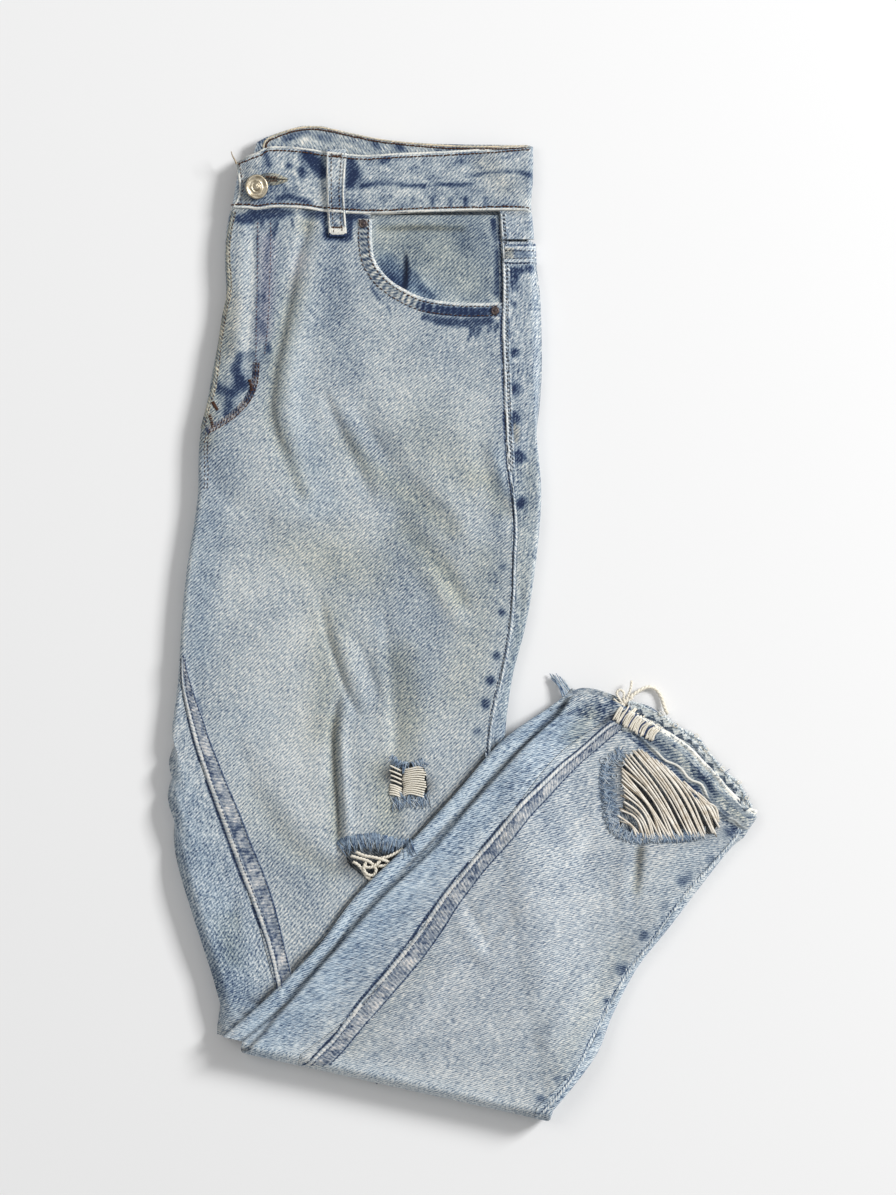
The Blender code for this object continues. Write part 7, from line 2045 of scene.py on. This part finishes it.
# Weft wound round the worn left end of the hem
wound = []
for step in range(33):
    share = step / 32.0
    x = 617.0 + 38.0 * share
    y = 710.0 + 23.0 * share
    wound.append(view([(x - 4.0 + 2 * share, y + 9.0 + rng.uniform(-2, 2)), (x + rng.uniform(-1, 1), y + 1.0),
                       (x + 7.0 + rng.uniform(-2, 2), y - 8.0 + 5.0 * share + rng.uniform(-2, 2))], 0.0))
wound_paths = []
for path in wound:
    path = curved(path, 10)
    path[:, 2] = eased(top.heights(path[:, :2]), 2) + 0.45 + 0.4 * np.sin(np.linspace(0, math.pi, 10))
    wound_paths.append(path)
dark_turns = (6, 12, 20, 25)
pale_turns = [turn for turn in range(33) if turn not in dark_turns]
tubes("hem wound threads", [wound_paths[turn] for turn in pale_turns], [0.62] * len(pale_turns), cream_yarn, sides=6)
tubes("hem wound threads dark", [wound_paths[turn] for turn in dark_turns], [0.7] * len(dark_turns), navy_yarn, sides=6)

# Tassel of frayed denim at the left corner, and the loose threads
tassel_paths = []
for step in range(42):
    share = step / 41.0
    root = np.array([566.0 + 9.0 * share + rng.normal(0, 0.7), 702.0 - 3.0 * share + rng.normal(0, 1.5)])
    bend = np.array([561.0 + 10.0 * share + rng.normal(0, 1.0), 689.0 + rng.normal(0, 1.2)])
    if share < 0.55:
        tip = np.array([550.5 + 8.0 * share + rng.normal(0, 1.0), 673.0 + 7.0 * rng.uniform(0, 1)])
    else:
        tip = np.array([556.0 + 14.0 * (share - 0.5) + rng.normal(0, 1.4), 676.0 + 10.0 * rng.uniform(0, 1)])
    low = [6.8, 5.2, 2.2 + rng.uniform(0, 1.2)]
    tassel_paths.append(curved(view([tuple(root), tuple(bend), tuple(tip)], low), 10))
tassel = tubes("tassel yarns", tassel_paths[::2], [np.linspace(0.62, 0.25, 10)] * len(tassel_paths[::2]), fray_blue)
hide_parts("hem_tassel")
tubes("tassel pale yarns", tassel_paths[1::2], [np.linspace(0.5, 0.2, 10)] * len(tassel_paths[1::2]), fray_pale)

loop_path = [(630, 698), (638, 691.5), (648.5, 686.4), (657, 689), (662.5, 698), (665, 708), (668, 714)]
loop_paths = plied(view(loop_path, [7.2, 5.4, 3.4, 2.2, 2.2, 2.8, 4.6]), 0.85, 6.0)
curls = [
    plied(view([(632, 681), (631, 689), (628, 697), (625, 704)], [6.0, 6.8, 7.4, 7.4]), 0.7, 4.0),
    plied(view([(626, 706), (620, 700), (616, 693), (620, 689), (625, 693), (623, 700), (628, 705)],
               [7.4, 8.0, 7.4, 7.2, 7.8, 8.2, 7.6]), 0.6, 4.0),
    plied(view([(614, 699), (619, 704), (626, 703), (633, 698)], [7.0, 7.6, 8.0, 7.6]), 0.55, 4.0)]
loose = loop_paths + [strand for pair in curls for strand in pair]
loose_piece = tubes("loose threads", loose, [0.95] * 2 + [0.62] * (len(loose) - 2), cream_yarn, sides=6)
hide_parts("loose_thread")
tubes("fold thread", [curved(view([(364, 1073), (368, 1077.5), (373, 1080.5), (377, 1085)], [8.5, 8.0, 5.0, 2.0]), 10)],
      [0.5], navy_yarn, sides=6)


def camera_light_floor():
    camera = bpy.data.cameras.new("camera")
    camera.type = "PERSP"
    camera.sensor_width = 36.0
    camera.lens = 172.1
    seen = bpy.data.objects.new("camera", camera)
    seen.location = (-0.0098, 0.0168, 4.012)
    bpy.context.scene.collection.objects.link(seen)
    bpy.context.scene.camera = seen
    mesh = bpy.data.meshes.new("floor")
    half = 3.0
    mesh.from_pydata([(-half, -half, 0), (half, -half, 0), (half, half, 0), (-half, half, 0)], [], [(0, 1, 2, 3)])
    floor = bpy.data.objects.new("floor", mesh)
    bpy.context.scene.collection.objects.link(floor)
    n = Nodes("white surface")
    n.shader.inputs["Base Color"].default_value = (0.86, 0.86, 0.86, 1.0)
    n.shader.inputs["Roughness"].default_value = 0.95
    n.shader.inputs["Specular IOR Level"].default_value = 0.1
    mesh.materials.append(n.material)
    for name, place, aim, size, power in (("key light", (3.6, 1.7, 2.5), (0.0, 0.0, 0.0), 1.3, 238.0),
                                          ("fill light", (-2.0, 1.0, 3.5), (0.0, 0.0, 0.0), 2.0, 22.0)):
        lamp = bpy.data.lights.new(name, "AREA")
        lamp.size = size
        lamp.energy = power
        light = bpy.data.objects.new(name, lamp)
        light.location = place
        light.rotation_euler = (Vector(aim) - Vector(place)).to_track_quat("-Z", "Y").to_euler()
        bpy.context.scene.collection.objects.link(light)
    world = bpy.data.worlds.new("room")
    world.use_nodes = True
    world.node_tree.nodes["Background"].inputs[0].default_value = (1.0, 1.0, 1.0, 1.0)
    world.node_tree.nodes["Background"].inputs[1].default_value = 0.37
    bpy.context.scene.world = world
    bpy.context.scene.view_settings.view_transform = "Standard"
    bpy.context.scene.view_settings.look = "None"
    bpy.context.scene.view_settings.exposure = 0.0
    bpy.context.scene.view_settings.gamma = 1.0


camera_light_floor()
